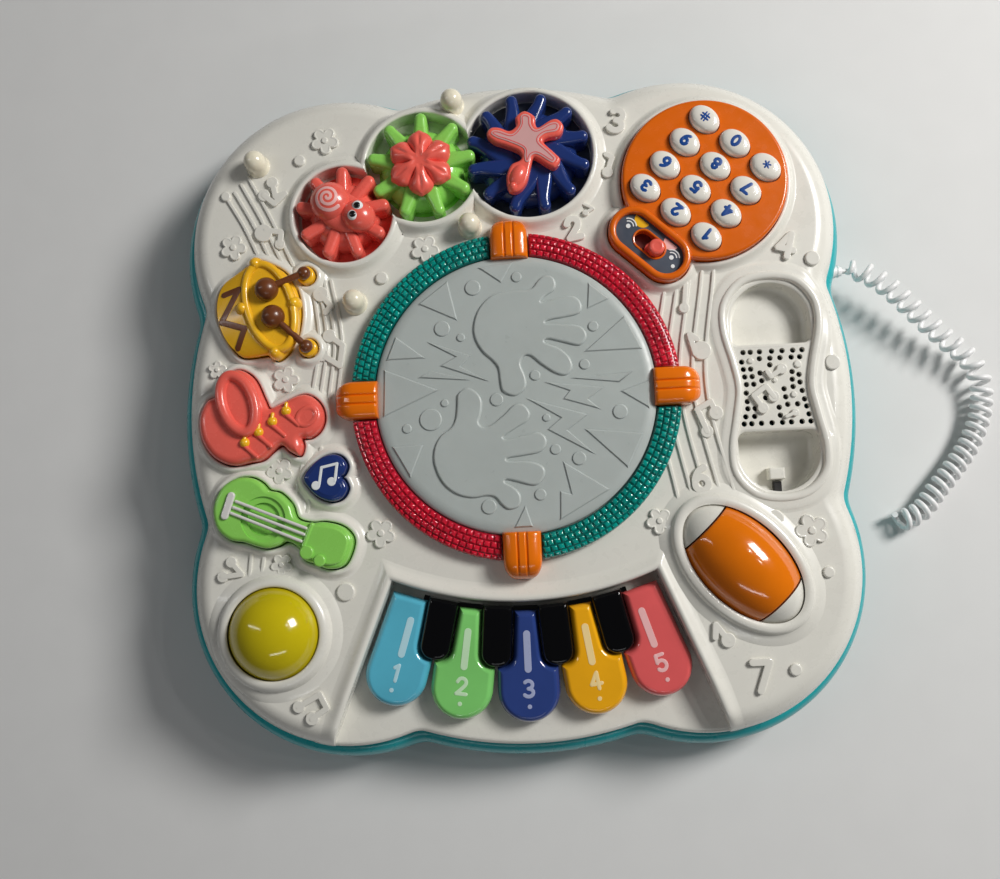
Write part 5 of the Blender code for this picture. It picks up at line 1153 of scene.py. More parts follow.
def make_cups():
    """The floors of the gear wells, and the bowls of the handset's pockets."""
    bodies = []
    for index, (centre, _, tip, _) in enumerate((FLOWER, SNAIL, STAR)):
        step = WELL_FLOOR_STEP * index
        floor = circle(centre, tip + WELL_CLEARANCE + WELL_FLOOR_GROW - step, 96)
        bodies.append(prism(floor, WELL_FLOOR_LOW_Z, WELL_FLOOR_Z - step))
    for loop, floor_z in zip(POCKETS, POCKET_FLOORS):
        bowl = (
            (2.6, floor_z - 2.5), (2.6, 51.4), (1.5, 52.06), (0.7, 51.9), (0.1, 51.3), (0.0, 50.4),
            (0.0, floor_z + 3.0), (-0.4, floor_z + 1.6), (-1.4, floor_z + 0.5), (-3.0, floor_z),
        )
        bodies.append(profiled(loop, bowl))
    piece("shell_cups", bodies, "white")


TRAY_FLOOR_INSET = 1.3
TRAY_FLOOR_SPREAD = math.radians(1.2)
TRAY_FLOOR_REACH = 3.0
TRAY_FLOOR_EDGE = 3.0
TRAY_FLOOR_SPACING = 1.6
TRAY_FRONT_Y = -120.0
# Section of the ridge round the tray: (distance out from its edge, height above the shell)
RIDGE_SECTION = (
    (0.0, 0.6), (0.12, 1.3), (0.45, 2.0), (1.0, 2.55), (1.8, 2.8), (2.6, 2.7), (3.6, 2.25), (4.8, 1.5),
    (6.2, 0.7), (7.6, 0.2), (9.0, -0.05), (10.0, -0.3),
)
RIDGE_FOOT_Z = PARTING_Z - 0.6
RIDGE_FADE = 26.0
RIDGE_FADE_POWER = 0.7
RIDGE_SINK = 0.3
RIDGE_SIDE_POINTS = 60


def make_piano_tray():
    """The tray under the piano keys, which rolls over the front edge, and the ridge round it."""
    spread = TRAY_HALF_ANGLE + TRAY_FLOOR_SPREAD
    front = []
    for x, y in plan(-SHELL_INSET - TRAY_FLOOR_INSET, 2 * PLAN_POINTS):
        angle = math.atan2(x - FAN_CENTRE[0], FAN_CENTRE[1] - y)
        if abs(angle) < spread and y < TRAY_FRONT_Y:
            front.append((x, y))
    front.sort()
    rear = []
    for step in range(TRAY_STEPS + 1):
        rear.append(fan_point(spread * (1 - 2 * step / TRAY_STEPS), TRAY_REAR_R - TRAY_FLOOR_REACH))
    loop = resampled(front + rear, TRAY_FLOOR_SPACING)
    piece("tray_floor", [raised(loop, PARTING_Z + 0.2, TRAY_FLOOR_Z, TRAY_FLOOR_EDGE, steps=5)], "white")
    lip = tray_lip()
    rings = []
    for places in zip(*(tray_edge(grow, lip) for grow, _ in RIDGE_SECTION)):
        from_lip = lip - math.hypot(places[0][0] - FAN_CENTRE[0], places[0][1] - FAN_CENTRE[1])
        fade = clamped(from_lip / RIDGE_FADE) ** RIDGE_FADE_POWER
        crest = []
        for (x, y), (_, rise) in zip(places, RIDGE_SECTION):
            crest.append((x, y, shell_height(x, y) + rise * fade - RIDGE_SINK * (1 - fade)))
        rings.append(np.array([(*places[0], RIDGE_FOOT_Z), *crest, (*places[-1], RIDGE_FOOT_Z)]))
    piece("tray_ridge", [loft(rings)], "white", sharp=75.0)


def tray_lip():
    """How far out from the fan's centre the tray's side meets the shell's front edge."""
    for radius in np.arange(TRAY_FRONT_R, TRAY_REAR_R, -0.25):
        if shell_inset(*fan_point(TRAY_HALF_ANGLE, radius)) > SHELL_INSET + 0.3:
            return radius


def tray_edge(grow, lip):
    """The tray's edge moved outwards: from the front lip round its rear side and back to the lip."""
    rear = TRAY_REAR_R - grow
    side = []
    for radius in np.linspace(lip, rear, RIDGE_SIDE_POINTS, endpoint=False):
        side.append(fan_point(TRAY_HALF_ANGLE, radius, grow))
    middle = []
    for share in np.linspace(1.0, -1.0, TRAY_STEPS + 1):
        middle.append(fan_point(TRAY_HALF_ANGLE * share, rear, grow * share))
    return side + middle + [(-x, y) for x, y in reversed(side)]


LIP_Z = PARTING_Z - 0.3


def bottom_profile():
    """(grow, height) of the teal tray from its base over the belly to its lip."""
    profile = []
    for cosine, sine in quarter(8):
        grow = -BASE_INSET + (BASE_INSET + BELLY_OUT) * sine
        profile.append((grow, FOOT_HEIGHT + (BELLY_Z - FOOT_HEIGHT) * (1 - cosine)))
    for cosine, sine in quarter(6, 1):
        grow = -LIP_INSET + (BELLY_OUT + LIP_INSET) * cosine
        profile.append((grow, BELLY_Z + (LIP_Z - BELLY_Z) * sine))
    return profile


DOOR_GAP = 0.3
BASE_CUT_Z = -5.0
SCREW_WELL_R = 3.4
SCREW_HEAD = 4.0
FOOT_PLACE = 105.0
FOOT_SECTION = ((7.4, 0.0), (8.1, 0.3), (8.5, 1.0), (9.0, 3.2))
# The cord's outlet as (distance along it, radius)
OUTLET_RIBS = (
    (0.0, 4.0), (5.0, 4.0), (5.4, 3.5), (6.4, 3.4), (6.7, 2.9), (7.3, 2.9), (7.6, 3.2), (8.4, 3.1),
    (8.7, 2.6), (9.3, 2.5), (9.8, 2.3), (10.0, 1.9),
)


def make_bottom_shell():
    """The teal tray with its rounded belly, feet, door opening, screw wells and cord outlet."""
    inside = [
        (-LIP_INSET - WALL, LIP_Z),
        (BELLY_OUT - 2 * WALL, BELLY_Z),
        (-BASE_INSET - WALL, FOOT_HEIGHT + WALL),
    ]
    skin = loft([level(plan(grow), z) for grow, z in bottom_profile() + inside])
    low, high = (np.array(corner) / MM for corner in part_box("battery_door"))
    left, front = low[:2] - DOOR_GAP
    right, rear = high[:2] + DOOR_GAP
    door = np.array([(left, front), (right, front), (right, rear), (left, rear)])
    openings = [prism(door, BASE_CUT_Z, high[2] + DOOR_GAP)]
    for number in range(1, 5):
        low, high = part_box(f"casing_screw_{number}")
        centre = ((low[0] + high[0]) / 2 / MM, (low[1] + high[1]) / 2 / MM)
        openings.append(prism(circle(centre, SCREW_WELL_R, 32), BASE_CUT_Z, low[2] / MM + SCREW_HEAD))
    piece("bottom_shell_skin", [skin], "teal", replaces="bottom_shell", sharp=SHELL_SHARP, cuts=[openings])
    places = [(x, y) for x in (-FOOT_PLACE, FOOT_PLACE) for y in (-FOOT_PLACE, FOOT_PLACE)]
    piece("feet", [lathe(place, FOOT_SECTION, 48) for place in places], "teal")
    x, y, z = OUTLET_PLACE
    path = [(x + along, y, z) for along, _ in OUTLET_RIBS]
    piece("cord_outlet", [tube(path, [size for _, size in OUTLET_RIBS], 40)], "cord")


# Drum pad, light ring and clips

# The pad's figures are read on a grid of rows and columns that starts at its left rear corner
PAD_GRID = 7.565
PAD_GRID_CORNER = (-92.0, 95.0)
PAD_FLAT_R = 66.5


def pad_place(column, row):
    """A place on the drum pad from its reading on the grid, kept on the pad's flat top."""
    left, rear = PAD_GRID_CORNER
    place = np.array([column / PAD_GRID + left, rear - row / PAD_GRID])
    away = place - DRUM_CENTRE
    reach = np.hypot(*away)
    return place if reach < PAD_FLAT_R else DRUM_CENTRE + away * PAD_FLAT_R / reach


UPPER_HAND = (
    (650, 690), (695, 708), (735, 680), (738, 640), (722, 590), (735, 560), (760, 560), (800, 595),
    (850, 630), (890, 638), (915, 610), (905, 570), (870, 535), (825, 515), (815, 505), (830, 498),
    (890, 515), (945, 528), (973, 500), (968, 470), (940, 450), (880, 442), (828, 437), (822, 432),
    (840, 425), (900, 417), (950, 405), (962, 375), (945, 345), (910, 335), (860, 345), (815, 355),
    (810, 350), (830, 330), (860, 312), (868, 285), (855, 258), (825, 253), (800, 270), (780, 295),
    (760, 303), (700, 305), (640, 312), (600, 335), (565, 380), (548, 440), (555, 490), (580, 535),
    (615, 570), (635, 600), (640, 650),
)
LOWER_HAND = (
    (480, 690), (515, 668), (550, 685), (570, 720), (565, 770), (555, 800), (570, 818), (600, 812),
    (650, 775), (690, 740), (725, 742), (748, 775), (735, 805), (700, 825), (650, 855), (645, 865),
    (660, 868), (720, 858), (770, 847), (800, 865), (803, 895), (780, 922), (730, 932), (660, 940),
    (655, 948), (680, 952), (740, 955), (785, 975), (793, 1005), (770, 1040), (740, 1045), (690, 1030),
    (650, 1020), (645, 1030), (670, 1045), (695, 1070), (700, 1100), (685, 1125), (650, 1130), (625, 1110),
    (605, 1085), (575, 1077), (520, 1082), (460, 1065), (410, 1020), (382, 950), (385, 890), (410, 845),
    (450, 815), (468, 780), (475, 730),
)
BOLTS = (
    ((370, 485), (535, 545), (495, 585), (600, 648), (415, 580), (475, 548)),
    ((330, 622), (388, 595), (530, 640)),
    ((805, 660), (1028, 690), (968, 733), (1015, 775), (872, 728), (897, 698)),
    ((905, 650), (1140, 635), (1085, 675)),
    ((735, 718), (965, 790), (885, 845), (985, 942), (808, 840), (860, 798)),
    ((570, 190), (710, 180), (660, 272)),
    ((447, 235), (490, 410), (330, 325)),
    ((235, 450), (365, 548), (205, 545)),
    ((188, 580), (410, 672), (190, 765)),
    ((220, 880), (345, 873), (287, 1000)),
    ((995, 280), (980, 390), (1070, 350)),
    ((1130, 415), (960, 553), (1185, 550)),
    ((1215, 670), (1087, 708), (1205, 780)),
    ((945, 843), (1165, 868), (1105, 1000)),
    ((860, 960), (1045, 1090), (842, 1185), (845, 1070), (885, 1082)),
    ((715, 1115), (670, 1200), (740, 1200)),
)
PAD_DOTS = (
    (552, 285, 30), (720, 252, 20), (430, 437, 30), (500, 475, 16), (773, 633, 20), (960, 600, 20),
    (1000, 457, 20), (625, 718, 25), (430, 722, 15), (375, 782, 42), (285, 812, 18), (808, 795, 15),
    (836, 915, 20), (922, 952, 26), (1083, 785, 28), (580, 1117, 28), (772, 1080, 22),
)


PAD_LOW_Z = 55.0
PAD_SIDE_Z = 57.6
PAD_RISE = 2.6
PAD_EDGE = 6.0
PAD_FOOT_WIDTH = 4.0
# Relief on the pad: foot, top and edge
HAND_RELIEF = (59.8, 61.4, 1.2)
BOLT_RELIEF = (59.7, 60.85, 0.6)
DOT_RELIEF = (59.8, 60.9, 0.65)


def make_drum_pad():
    profile = [(PAD_R - PAD_FOOT_WIDTH, PAD_LOW_Z), (PAD_R, PAD_LOW_Z)]
    for cosine, sine in quarter(10):
        profile.append((PAD_R - PAD_EDGE * (1 - cosine), PAD_SIDE_Z + PAD_RISE * sine))
    bodies = [lathe(DRUM_CENTRE, profile, 160)]
    for hand in (UPPER_HAND, LOWER_HAND):
        loop = smooth_loop([pad_place(*point) for point in hand], 5)
        bodies.append(raised(loop, *HAND_RELIEF, steps=8))
    for bolt in BOLTS:
        bodies.append(facet([pad_place(*point) for point in bolt], *BOLT_RELIEF))
    for column, row, size in PAD_DOTS:
        dot = circle(pad_place(column, row), size / PAD_GRID, 40)
        bodies.append(raised(dot, *DOT_RELIEF, steps=6))
    piece("drum_pad_disc", bodies, "pad", "drum_pad", "drum_pad")


RING_LOW_Z = 52.3
RING_SECTION = (
    (RING_INNER, RING_LOW_Z), (RING_INNER, 57.6), (RING_INNER + 0.6, 58.3), (RING_INNER + 4.4, 58.9),
    (RING_INNER + 8.8, 58.6), (RING_OUTER - 1.6, 57.8), (RING_OUTER - 0.6, 56.6),
    (RING_OUTER - 0.3, RING_LOW_Z),
)
# Rows of bricks: inner and outer place on the ring's section, and the bricks' rise
BRICK_ROWS = (
    ((71.1, 58.30), (73.7, 58.75), 1.0),
    ((74.2, 58.85), (76.9, 58.85), 1.0),
    ((77.4, 58.80), (79.9, 58.40), 1.0),
    ((80.4, 58.25), (82.2, 57.30), 0.8),
    ((82.35, 56.9), (82.85, 53.2), 0.3),
)
BRICK_LENGTH = 3.5
BRICK_GAP = 0.5
# A brick's outline as it rises: share that it has shrunk by, and share of its rise
BRICK_PILLOW = ((0.0, -0.4), (0.02, 0.15), (0.12, 0.55), (0.32, 0.86), (0.62, 1.0))
RING_END_GAP = 0.3
BRICK_END_GAP = 0.6


def ring_point(angle, radius, z):
    return (*polar(DRUM_CENTRE, angle, radius), z)


def brick(start, end, inner, outer, rise):
    """A small pillow on the ring between two angles and two places on its section."""
    inner, outer = np.array(inner), np.array(outer)
    run = outer - inner
    outward = np.array([-run[1], run[0]]) / np.hypot(*run)
    rings = []
    for shrink, lift in BRICK_PILLOW:
        low = inner + run * shrink / 2 + outward * rise * lift
        high = outer - run * shrink / 2 + outward * rise * lift
        side = (end - start) * shrink / 2
        angles = [start + side + (end - start - 2 * side) * share for share in (0.0, 0.5, 1.0)]
        ring = [ring_point(angle, *low) for angle in angles]
        ring += [ring_point(angle, *high) for angle in reversed(angles)]
        rings.append(np.array(ring))
    return loft(rings)


def make_light_ring(number):
    """A light segment between two clips: a smooth core under rows of moulded bricks; the core is a darker
    copy of the ring's colour, painted shade in the gaps between the bricks.
    """
    first = (number - 1) * math.pi / 2
    rings = []
    for share in np.linspace(0.0, 1.0, 41):
        ring = []
        for radius, z in RING_SECTION:
            end = math.asin((CLIP_WIDTH / 2 + RING_END_GAP) / radius)
            ring.append(ring_point(first + end + (math.pi / 2 - 2 * end) * share, radius, z))
        rings.append(np.array(ring))
    colour = "red" if number % 2 else "teal"
    piece(f"light_ring_core_{number}", [loft(rings)], f"core_{colour}")
    bodies = []
    for row, (inner, outer, rise) in enumerate(BRICK_ROWS):
        middle = (inner[0] + outer[0]) / 2
        end = math.asin((CLIP_WIDTH / 2 + BRICK_END_GAP) / middle)
        span = math.pi / 2 - 2 * end
        count = round(span * middle / BRICK_LENGTH)
        pitch = span / count
        gap = BRICK_GAP / middle / 2
        edges = [first + end + pitch * step for step in range(count + 1)]
        if row % 2:
            halves = [first + end + pitch * (step + 0.5) for step in range(count)]
            edges = [edges[0], *halves, edges[-1]]
        for start, stop in zip(edges, edges[1:]):
            bodies.append(brick(start + gap, stop - gap, inner, outer, rise))
    node = f"light_ring_{number}"
    piece(f"light_ring_bricks_{number}", bodies, f"ring_{colour}", replaces=node, sharp=60.0)


CLIP_ROLL = 9.5
CLIP_FALL = 9.5
CLIP_SIDE_GAP = 0.3
CLIP_NOSE_OVERLAP = 1.6
CLIP_NOSE_LENGTH = 1.4
CLIP_NOSE_FALL = 1.6
CLIP_NOSE_LOW_Z = 58.2
CLIP_PINCH = 6.2
CLIP_CROWN = 0.7
CLIP_CHEEK = 4.2
CLIP_CHEEK_POWER = 3.6
CLIP_CHEEK_LEAST = 0.3
GROOVE_PLACE = 2.2
GROOVE_DEPTH = 0.95
GROOVE_WIDTH = 0.42
CLIP_POINTS = 61


def rounding(share):
    """Height of a quarter circle: one up to where it starts, and nothing at its end."""
    return math.sqrt(max(0.0, 1 - max(0.0, share) ** 2))


def make_clip(side, quarter_turns):
    """A clip over the ring: a back with two grooves, round cheeks and an outer end that rolls down."""
    half = CLIP_WIDTH / 2 - CLIP_SIDE_GAP
    nose = PAD_R - CLIP_NOSE_OVERLAP
    reach = CLIP_REACHES[side]
    stations = [nose, nose + 0.25, nose + 0.7, nose + CLIP_NOSE_LENGTH, RING_INNER - 0.1, RING_INNER]
    stations += list(np.linspace(RING_INNER + 1.0, reach - CLIP_ROLL, 8))
    stations += [reach - CLIP_ROLL * (1 - sine) for _, sine in quarter(12, 1)]
    rings = []
    for along in stations:
        roll = rounding((along - reach + CLIP_ROLL) / CLIP_ROLL)
        lip = rounding(1 - (along - nose) / CLIP_NOSE_LENGTH)
        width = half - CLIP_PINCH * (1 - roll)
        crown = CLIP_CROWN * math.sin(math.pi * (along - nose) / (reach - nose))
        back_z = CLIP_TOP_Z + crown - CLIP_FALL * (1 - roll) - CLIP_NOSE_FALL * (1 - lip)
        foot = CLIP_NOSE_LOW_Z if along < RING_INNER else RING_LOW_Z
        ring = [(along, -width, foot)]
        for share in np.linspace(-1.0, 1.0, CLIP_POINTS):
            across = width * share
            cheek = CLIP_CHEEK * (1 - math.sqrt(max(0.0, 1 - abs(share) ** CLIP_CHEEK_POWER)))
            cheek *= CLIP_CHEEK_LEAST + (1 - CLIP_CHEEK_LEAST) * roll
            groove = math.exp(-(((abs(across) - GROOVE_PLACE) / GROOVE_WIDTH) ** 2))
            z = back_z - cheek - GROOVE_DEPTH * groove * roll
            ring.append((along, across, max(z, foot + 0.1)))
        ring.append((along, width, foot))
        ring = np.array(ring)
        place = turned(DRUM_CENTRE, ring[:, :2], quarter_turns * math.pi / 2)
        rings.append(np.column_stack([place, ring[:, 2]]))
    piece(f"clip_{side}", [loft(rings)], "clip", replaces=f"ring_clip_{side}", sharp=50.0)


# Gears and their caps

FINGER_POINTS = 16
SWIRL_START = 3.0
SWIRL_LENGTH = 20.0
FLARE_SHARE = 0.75
FLARE_POWER = 1.2


def finger_loops(gear, inner, swirl, flare):
    """Outlines of a gear's fingers: each flares towards the hub, and a swirl bends it there."""
    centre, count, tip, phase = gear
    loops = []
    for finger in range(count):
        heading = math.radians(phase + 360.0 * finger / count)
        path = []
        widths = []
        for radius in np.linspace(inner, tip - FINGER_HALF_WIDTH, FINGER_POINTS):
            bend = math.radians(swirl) * max(0.0, (tip - SWIRL_START - radius) / SWIRL_LENGTH) ** 2
            path.append(polar(centre, heading + bend, radius))
            inward = max(0.0, 1 - (radius - inner) / (FLARE_SHARE * (tip - inner)))
            widths.append(FINGER_HALF_WIDTH + flare * inward**FLARE_POWER)
        loops.append(ribbon(path, widths, 10))
    return loops


GEAR_LOW_Z = 46.5
FINGER_EDGE = 2.6
FINGER_STEP = 0.02
HUB_LOW_Z = 46.45
HUB_EDGE_Z = 48.6
HUB_RISE = 11.0
HUB_TOP_R = 9.0


def make_gear(name, gear, finish, root, inner, swirl, flare):
    """Round-ended fingers, each a hair lower than the one before, on a hub that rises towards the cap."""
    bodies = []
    for index, loop in enumerate(finger_loops(gear, inner, swirl, flare)):
        bodies.append(raised(loop, GEAR_LOW_Z, GEAR_TOP_Z - FINGER_STEP * index, FINGER_EDGE, steps=7))
    hub = [(root, HUB_LOW_Z), (root, HUB_EDGE_Z)]
    for cosine, sine in quarter(8, 1):
        hub.append((root - (root - HUB_TOP_R) * (1 - cosine), HUB_EDGE_Z + HUB_RISE * sine))
    bodies.append(lathe(gear[0], hub, 72))
    piece(f"{name}_gear_fingers", bodies, finish, f"{name}_wheel", f"{name}_gear", sharp=45.0)


SNAIL_DISC_R = 23.6
FLOWER_DISC_R = 23.2
STAR_SHADE_GROW = 0.3
# Foot and top of the discs
GEAR_DISC = (46.18, 46.36)
STAR_SHADE_DISC = (45.7, 46.1)


def make_well_liners():
    """Discs under the wheels: two of the wheels' own colours, and a dark one under the star that is painted
    shade on its well's floor.
    """
    snail = circle(SNAIL[0], SNAIL_DISC_R, 96)
    flower = circle(FLOWER[0], FLOWER_DISC_R, 96)
    star = circle(STAR[0], STAR[2] + STAR_SHADE_GROW, 96)
    piece("snail_gear_disc", [prism(snail, *GEAR_DISC)], "coral", "snail_wheel")
    piece("flower_gear_disc", [prism(flower, *GEAR_DISC)], "lime", "flower_wheel")
    # A dark disc in the star's well: painted shade on its floor.
    piece("star_well_liner", [prism(star, *STAR_SHADE_DISC)], "slate")


FIELD_SPOKES = 180
FIELD_RINGS = 22
FIELD_HEART = 0.01


def polar_field(centre, reach, height, low):
    """A closed body whose edge and height are given for each heading and share of the way out."""
    layers = []
    for ring in range(FIELD_RINGS + 1):
        share = max(FIELD_HEART, ring / FIELD_RINGS)
        layer = []
        for spoke in range(FIELD_SPOKES):
            angle = 2 * math.pi * spoke / FIELD_SPOKES
            layer.append((*polar(centre, angle, reach(angle) * share), height(angle, share)))
        layers.append(np.array(layer))
    foot = layers[-1].copy()
    foot[:, 2] = low
    return loft([*layers, foot])


CAP_BASE_Z = 60.5
FLOWER_PETALS = 6
PETAL_PITCH = 360.0 / FLOWER_PETALS
PETAL_R = 16.6
PETAL_NOTCH = 3.4
PETAL_POINT = 0.9
PETAL_SIDE_Z = CAP_BASE_Z + 0.9
PETAL_RISE = 5.0
VALLEY_DEPTH = 0.66
CREASE_DEPTH = 0.9
HEART_DEPTH = 1.1
HEART_SHARE = 0.26


def petal_turn(angle):
    """Degrees from the middle line of the nearest petal."""
    return abs((math.degrees(angle) - 90.0 + PETAL_PITCH / 2) % PETAL_PITCH - PETAL_PITCH / 2)


def petal_reach(angle):
    away = petal_turn(angle)
    notch = PETAL_NOTCH * (away / (PETAL_PITCH / 2)) ** 2.2
    return PETAL_R - notch + PETAL_POINT * math.exp(-((away / 4.5) ** 2))


def petal_height(angle, share):
    """A plump petal with a soft middle crease, deep valleys beside it and a sunken heart."""
    away = petal_turn(angle)
    edge = max(0.0, 1 - share**3.4) ** 0.5
    valley = 1 - VALLEY_DEPTH * (away / (PETAL_PITCH / 2)) ** 3 * clamped((share - HEART_SHARE) / 0.3)
    outer = max(0.0, (share - 0.42) / 0.58)
    crease = CREASE_DEPTH * math.exp(-((away / 4.4) ** 2)) * math.sin(math.pi * outer**0.8)
    heart = HEART_DEPTH * math.exp(-((share / HEART_SHARE) ** 4))
    return PETAL_SIDE_Z + PETAL_RISE * edge * valley - crease - heart


def make_flower_cap():
    flower = polar_field(FLOWER[0], petal_reach, petal_height, CAP_BASE_Z)
    piece("flower_cap_petals", [flower], "coral", "flower_wheel", "flower_cap", sharp=60.0)


STAR_OUTLINE = (
    (6.5, 139.0), (6.5, 143.5), (11.0, 146.5), (16.0, 143.5), (16.5, 139.0), (18.0, 137.5), (24.0, 141.0),
    (28.0, 141.0), (30.5, 137.0), (28.0, 132.5), (22.0, 131.5), (20.0, 129.5), (25.0, 124.0), (28.0, 120.0),
    (25.5, 116.0), (22.5, 116.5), (17.0, 120.5), (14.5, 121.5), (13.0, 117.0), (10.5, 109.0), (6.0, 104.5),
    (1.5, 105.5), (0.5, 112.0), (3.0, 118.5), (8.0, 121.0), (7.5, 125.0), (1.0, 128.5), (-5.0, 131.0),
    (-8.5, 135.0), (-6.5, 138.5), (-2.0, 138.5), (3.0, 136.5),
)
STAR_FACE = (
    (8.5, 138.5), (9.0, 143.0), (11.0, 144.4), (13.8, 143.0), (14.2, 138.5), (16.8, 135.8), (23.5, 138.8),
    (27.0, 139.0), (28.2, 137.0), (26.5, 134.5), (20.5, 133.4), (17.6, 129.8), (22.6, 124.2), (25.6, 120.5),
    (24.6, 118.4), (22.8, 118.6), (16.8, 122.8), (13.6, 122.4), (12.0, 119.2), (10.4, 119.6), (10.0, 122.2),
    (9.6, 126.4), (2.2, 130.4), (-3.6, 132.8), (-6.2, 135.0), (-5.2, 136.6), (-2.0, 136.4), (4.2, 134.2),
)


STAR_TOP_Z = 65.6
STAR_EDGE = 1.7
# The pale face's foot, top and edge, and the line's section
STAR_FACE_RELIEF = (65.0, 65.95, 0.25)
STAR_LINE = ((-0.75, 65.7), (-0.75, 66.05), (-1.2, 66.05), (-1.2, 65.7))
KNOB_TURN = math.radians(62.0)


def make_star_cap():
    """A flat five-armed figure with a pale face inside a thin line, and a knobbly end."""
    face = smooth_loop(STAR_FACE, 6)
    bodies = [
        raised(smooth_loop(STAR_OUTLINE, 6), CAP_BASE_Z, STAR_TOP_Z, STAR_EDGE, steps=6),
        dome((6.2, 112.6), 7.8, 5.0, KNOB_TURN, CAP_BASE_Z + 1.0, 6.2, 56, 9),
        dome((3.6, 107.2), 3.0, 2.6, KNOB_TURN, CAP_BASE_Z + 2.2, 4.4, 48, 8),
    ]
    piece("star_cap_figure", bodies, "coral", "star_wheel", "star_cap", sharp=50.0)
    piece("star_cap_face", [raised(face, *STAR_FACE_RELIEF)], "rose", "star_wheel")
    piece("star_cap_line", [profiled(face, STAR_LINE, True)], "key_red", "star_wheel")


SNAIL_SHELL = (-89.6, 105.6)
SNAIL_SHELL_R = 10.4
SNAIL_SHELL_RISE = 8.8
SNAIL_HEAD = (-75.6, 97.4)
SNAIL_EYES = ((-74.9, 100.6), (-77.2, 96.2))
EYE_R = 2.9
PUPIL_R = 1.75
COIL_POINTS = 71


def snail_shell_top(x, y):
    reach = math.hypot(x - SNAIL_SHELL[0], y - SNAIL_SHELL[1]) / SNAIL_SHELL_R
    return CAP_BASE_Z + SNAIL_SHELL_RISE * math.sqrt(1 - reach * reach)


def make_snail_cap():
    """A snail of smooth domes with a pale coil on its shell and two round eyes."""
    bodies = [
        dome(SNAIL[0], 14.0, 10.0, math.radians(-32.0), CAP_BASE_Z, 3.6, 64, 10),
        dome(SNAIL_SHELL, SNAIL_SHELL_R, SNAIL_SHELL_R, 0.0, CAP_BASE_Z, SNAIL_SHELL_RISE, 64, 10),
        dome(SNAIL_HEAD, 8.2, 9.0, math.radians(60.0), CAP_BASE_Z, 7.8, 64, 10),
    ]
    piece("snail_cap_body", bodies, "coral", "snail_wheel", "snail_cap", sharp=60.0)
    coil = []
    for step in range(COIL_POINTS):
        coil.append(polar(SNAIL_SHELL, math.radians(200.0 + 12.0 * step), 0.6 + 0.088 * step))
    piece("snail_coil", [stroke(coil, 0.75, -0.5, 0.12, snail_shell_top, 0.1)], "pink", "snail_wheel")
    eyes = [dome(place, EYE_R, EYE_R, 0.0, CAP_BASE_Z + 6.2, 2.1) for place in SNAIL_EYES]
    pupils = [dome(place, PUPIL_R, PUPIL_R, 0.0, CAP_BASE_Z + 7.7, 0.85) for place in SNAIL_EYES]
    piece("snail_eyes", eyes, "ink", "snail_wheel")
    piece("snail_pupils", pupils, "pupil", "snail_wheel")


# Phone keypad and volume slider


def slider_place(along, across):
    return turned(SLIDER_CENTRE, [(along, across)], PHONE_TURN)[0]


def slider_loop(radius):
    return stadium(slider_place(-SLIDER_HALF_LENGTH, 0.0), slider_place(SLIDER_HALF_LENGTH, 0.0), radius, 24)


def slot_loop(radius):
    return stadium(slider_place(-SLIDER_TRAVEL / 2, 0.0), slider_place(SLIDER_TRAVEL / 2, 0.0), radius, 20)


def phone_key_place(index):
    row, column = divmod(index, 3)
    local = ((1 - column) * KEY_COLUMN_PITCH, (row - 1.5) * KEY_ROW_PITCH)
    return turned(PHONE_CENTRE, [local], PHONE_TURN)[0]


PANEL_LOW_Z = 51.8
PANEL_EDGE = 1.8
KEY_GAP = 0.5
KEY_WELL_Z = 56.5
HOUSING_CUT_Z = 50.0
HOUSING_OVERLAP = 1.5
HOUSING_SLOT_R = 4.6
HOUSING_SLOT_Z = 45.0
HOUSING_SECTION = (
    (0.0, PANEL_LOW_Z), (0.0, 59.6), (-0.3, 60.5), (-1.0, 61.05), (-1.8, 61.2), (-2.8, 61.1), (-3.4, 60.7),
    (-3.7, 60.0), (-3.75, SLIDER_RECESS_Z),
)


def make_phone_panel():
    """The orange face with its key openings, and the slider's housing beside it."""
    openings = []
    for index in range(len(PHONE_KEYS)):
        half_length, half_width = KEY_HALF
        well = ellipse(phone_key_place(index), half_length + KEY_GAP, half_width + KEY_GAP, PHONE_TURN, 48)
        openings.append(prism(well, KEY_WELL_Z, CUT_TOP_Z))
    openings.append(prism(slider_loop(SLIDER_R - HOUSING_OVERLAP), HOUSING_CUT_Z, CUT_TOP_Z))
    face = raised(circle(PHONE_CENTRE, PHONE_R, 144), PANEL_LOW_Z, PHONE_TOP_Z, PANEL_EDGE, steps=6)
    piece("phone_face", [face], "panel", replaces="phone_panel", sharp=32.0, cuts=[openings])
    slot = prism(slot_loop(HOUSING_SLOT_R), HOUSING_SLOT_Z, CUT_TOP_Z)
    piece("slider_housing", [profiled(slider_loop(SLIDER_R), HOUSING_SECTION)], "panel", cuts=[[slot]])


# A phone key's section: share of its plan, and height
KEY_SECTION = (
    (1.0, 58.2), (1.0, 61.0), (0.985, 61.7), (0.94, 62.4), (0.86, 63.1), (0.74, 63.65), (0.56, 64.0),
    (0.32, 64.17), (0.12, 64.2),
)
DIGIT_TURN = math.radians(137.5)
DIGIT_HEIGHT = 6.3
DIGIT_LOW = -0.4
DIGIT_TOP = 0.08
DIGIT_HALF_WIDTH = 1.02
SIGN_HALF_WIDTH = 0.6


def key_surface(place):
    """Height of a phone key's crown above a place in the plan."""
    shares = [share for share, _ in KEY_SECTION[:0:-1]]
    heights = [z for _, z in KEY_SECTION[:0:-1]]

    def height(x, y):
        away = turned((0.0, 0.0), [(x - place[0], y - place[1])], -PHONE_TURN)[0]
        return float(np.interp(np.hypot(away[0] / KEY_HALF[0], away[1] / KEY_HALF[1]), shares, heights))

    return height


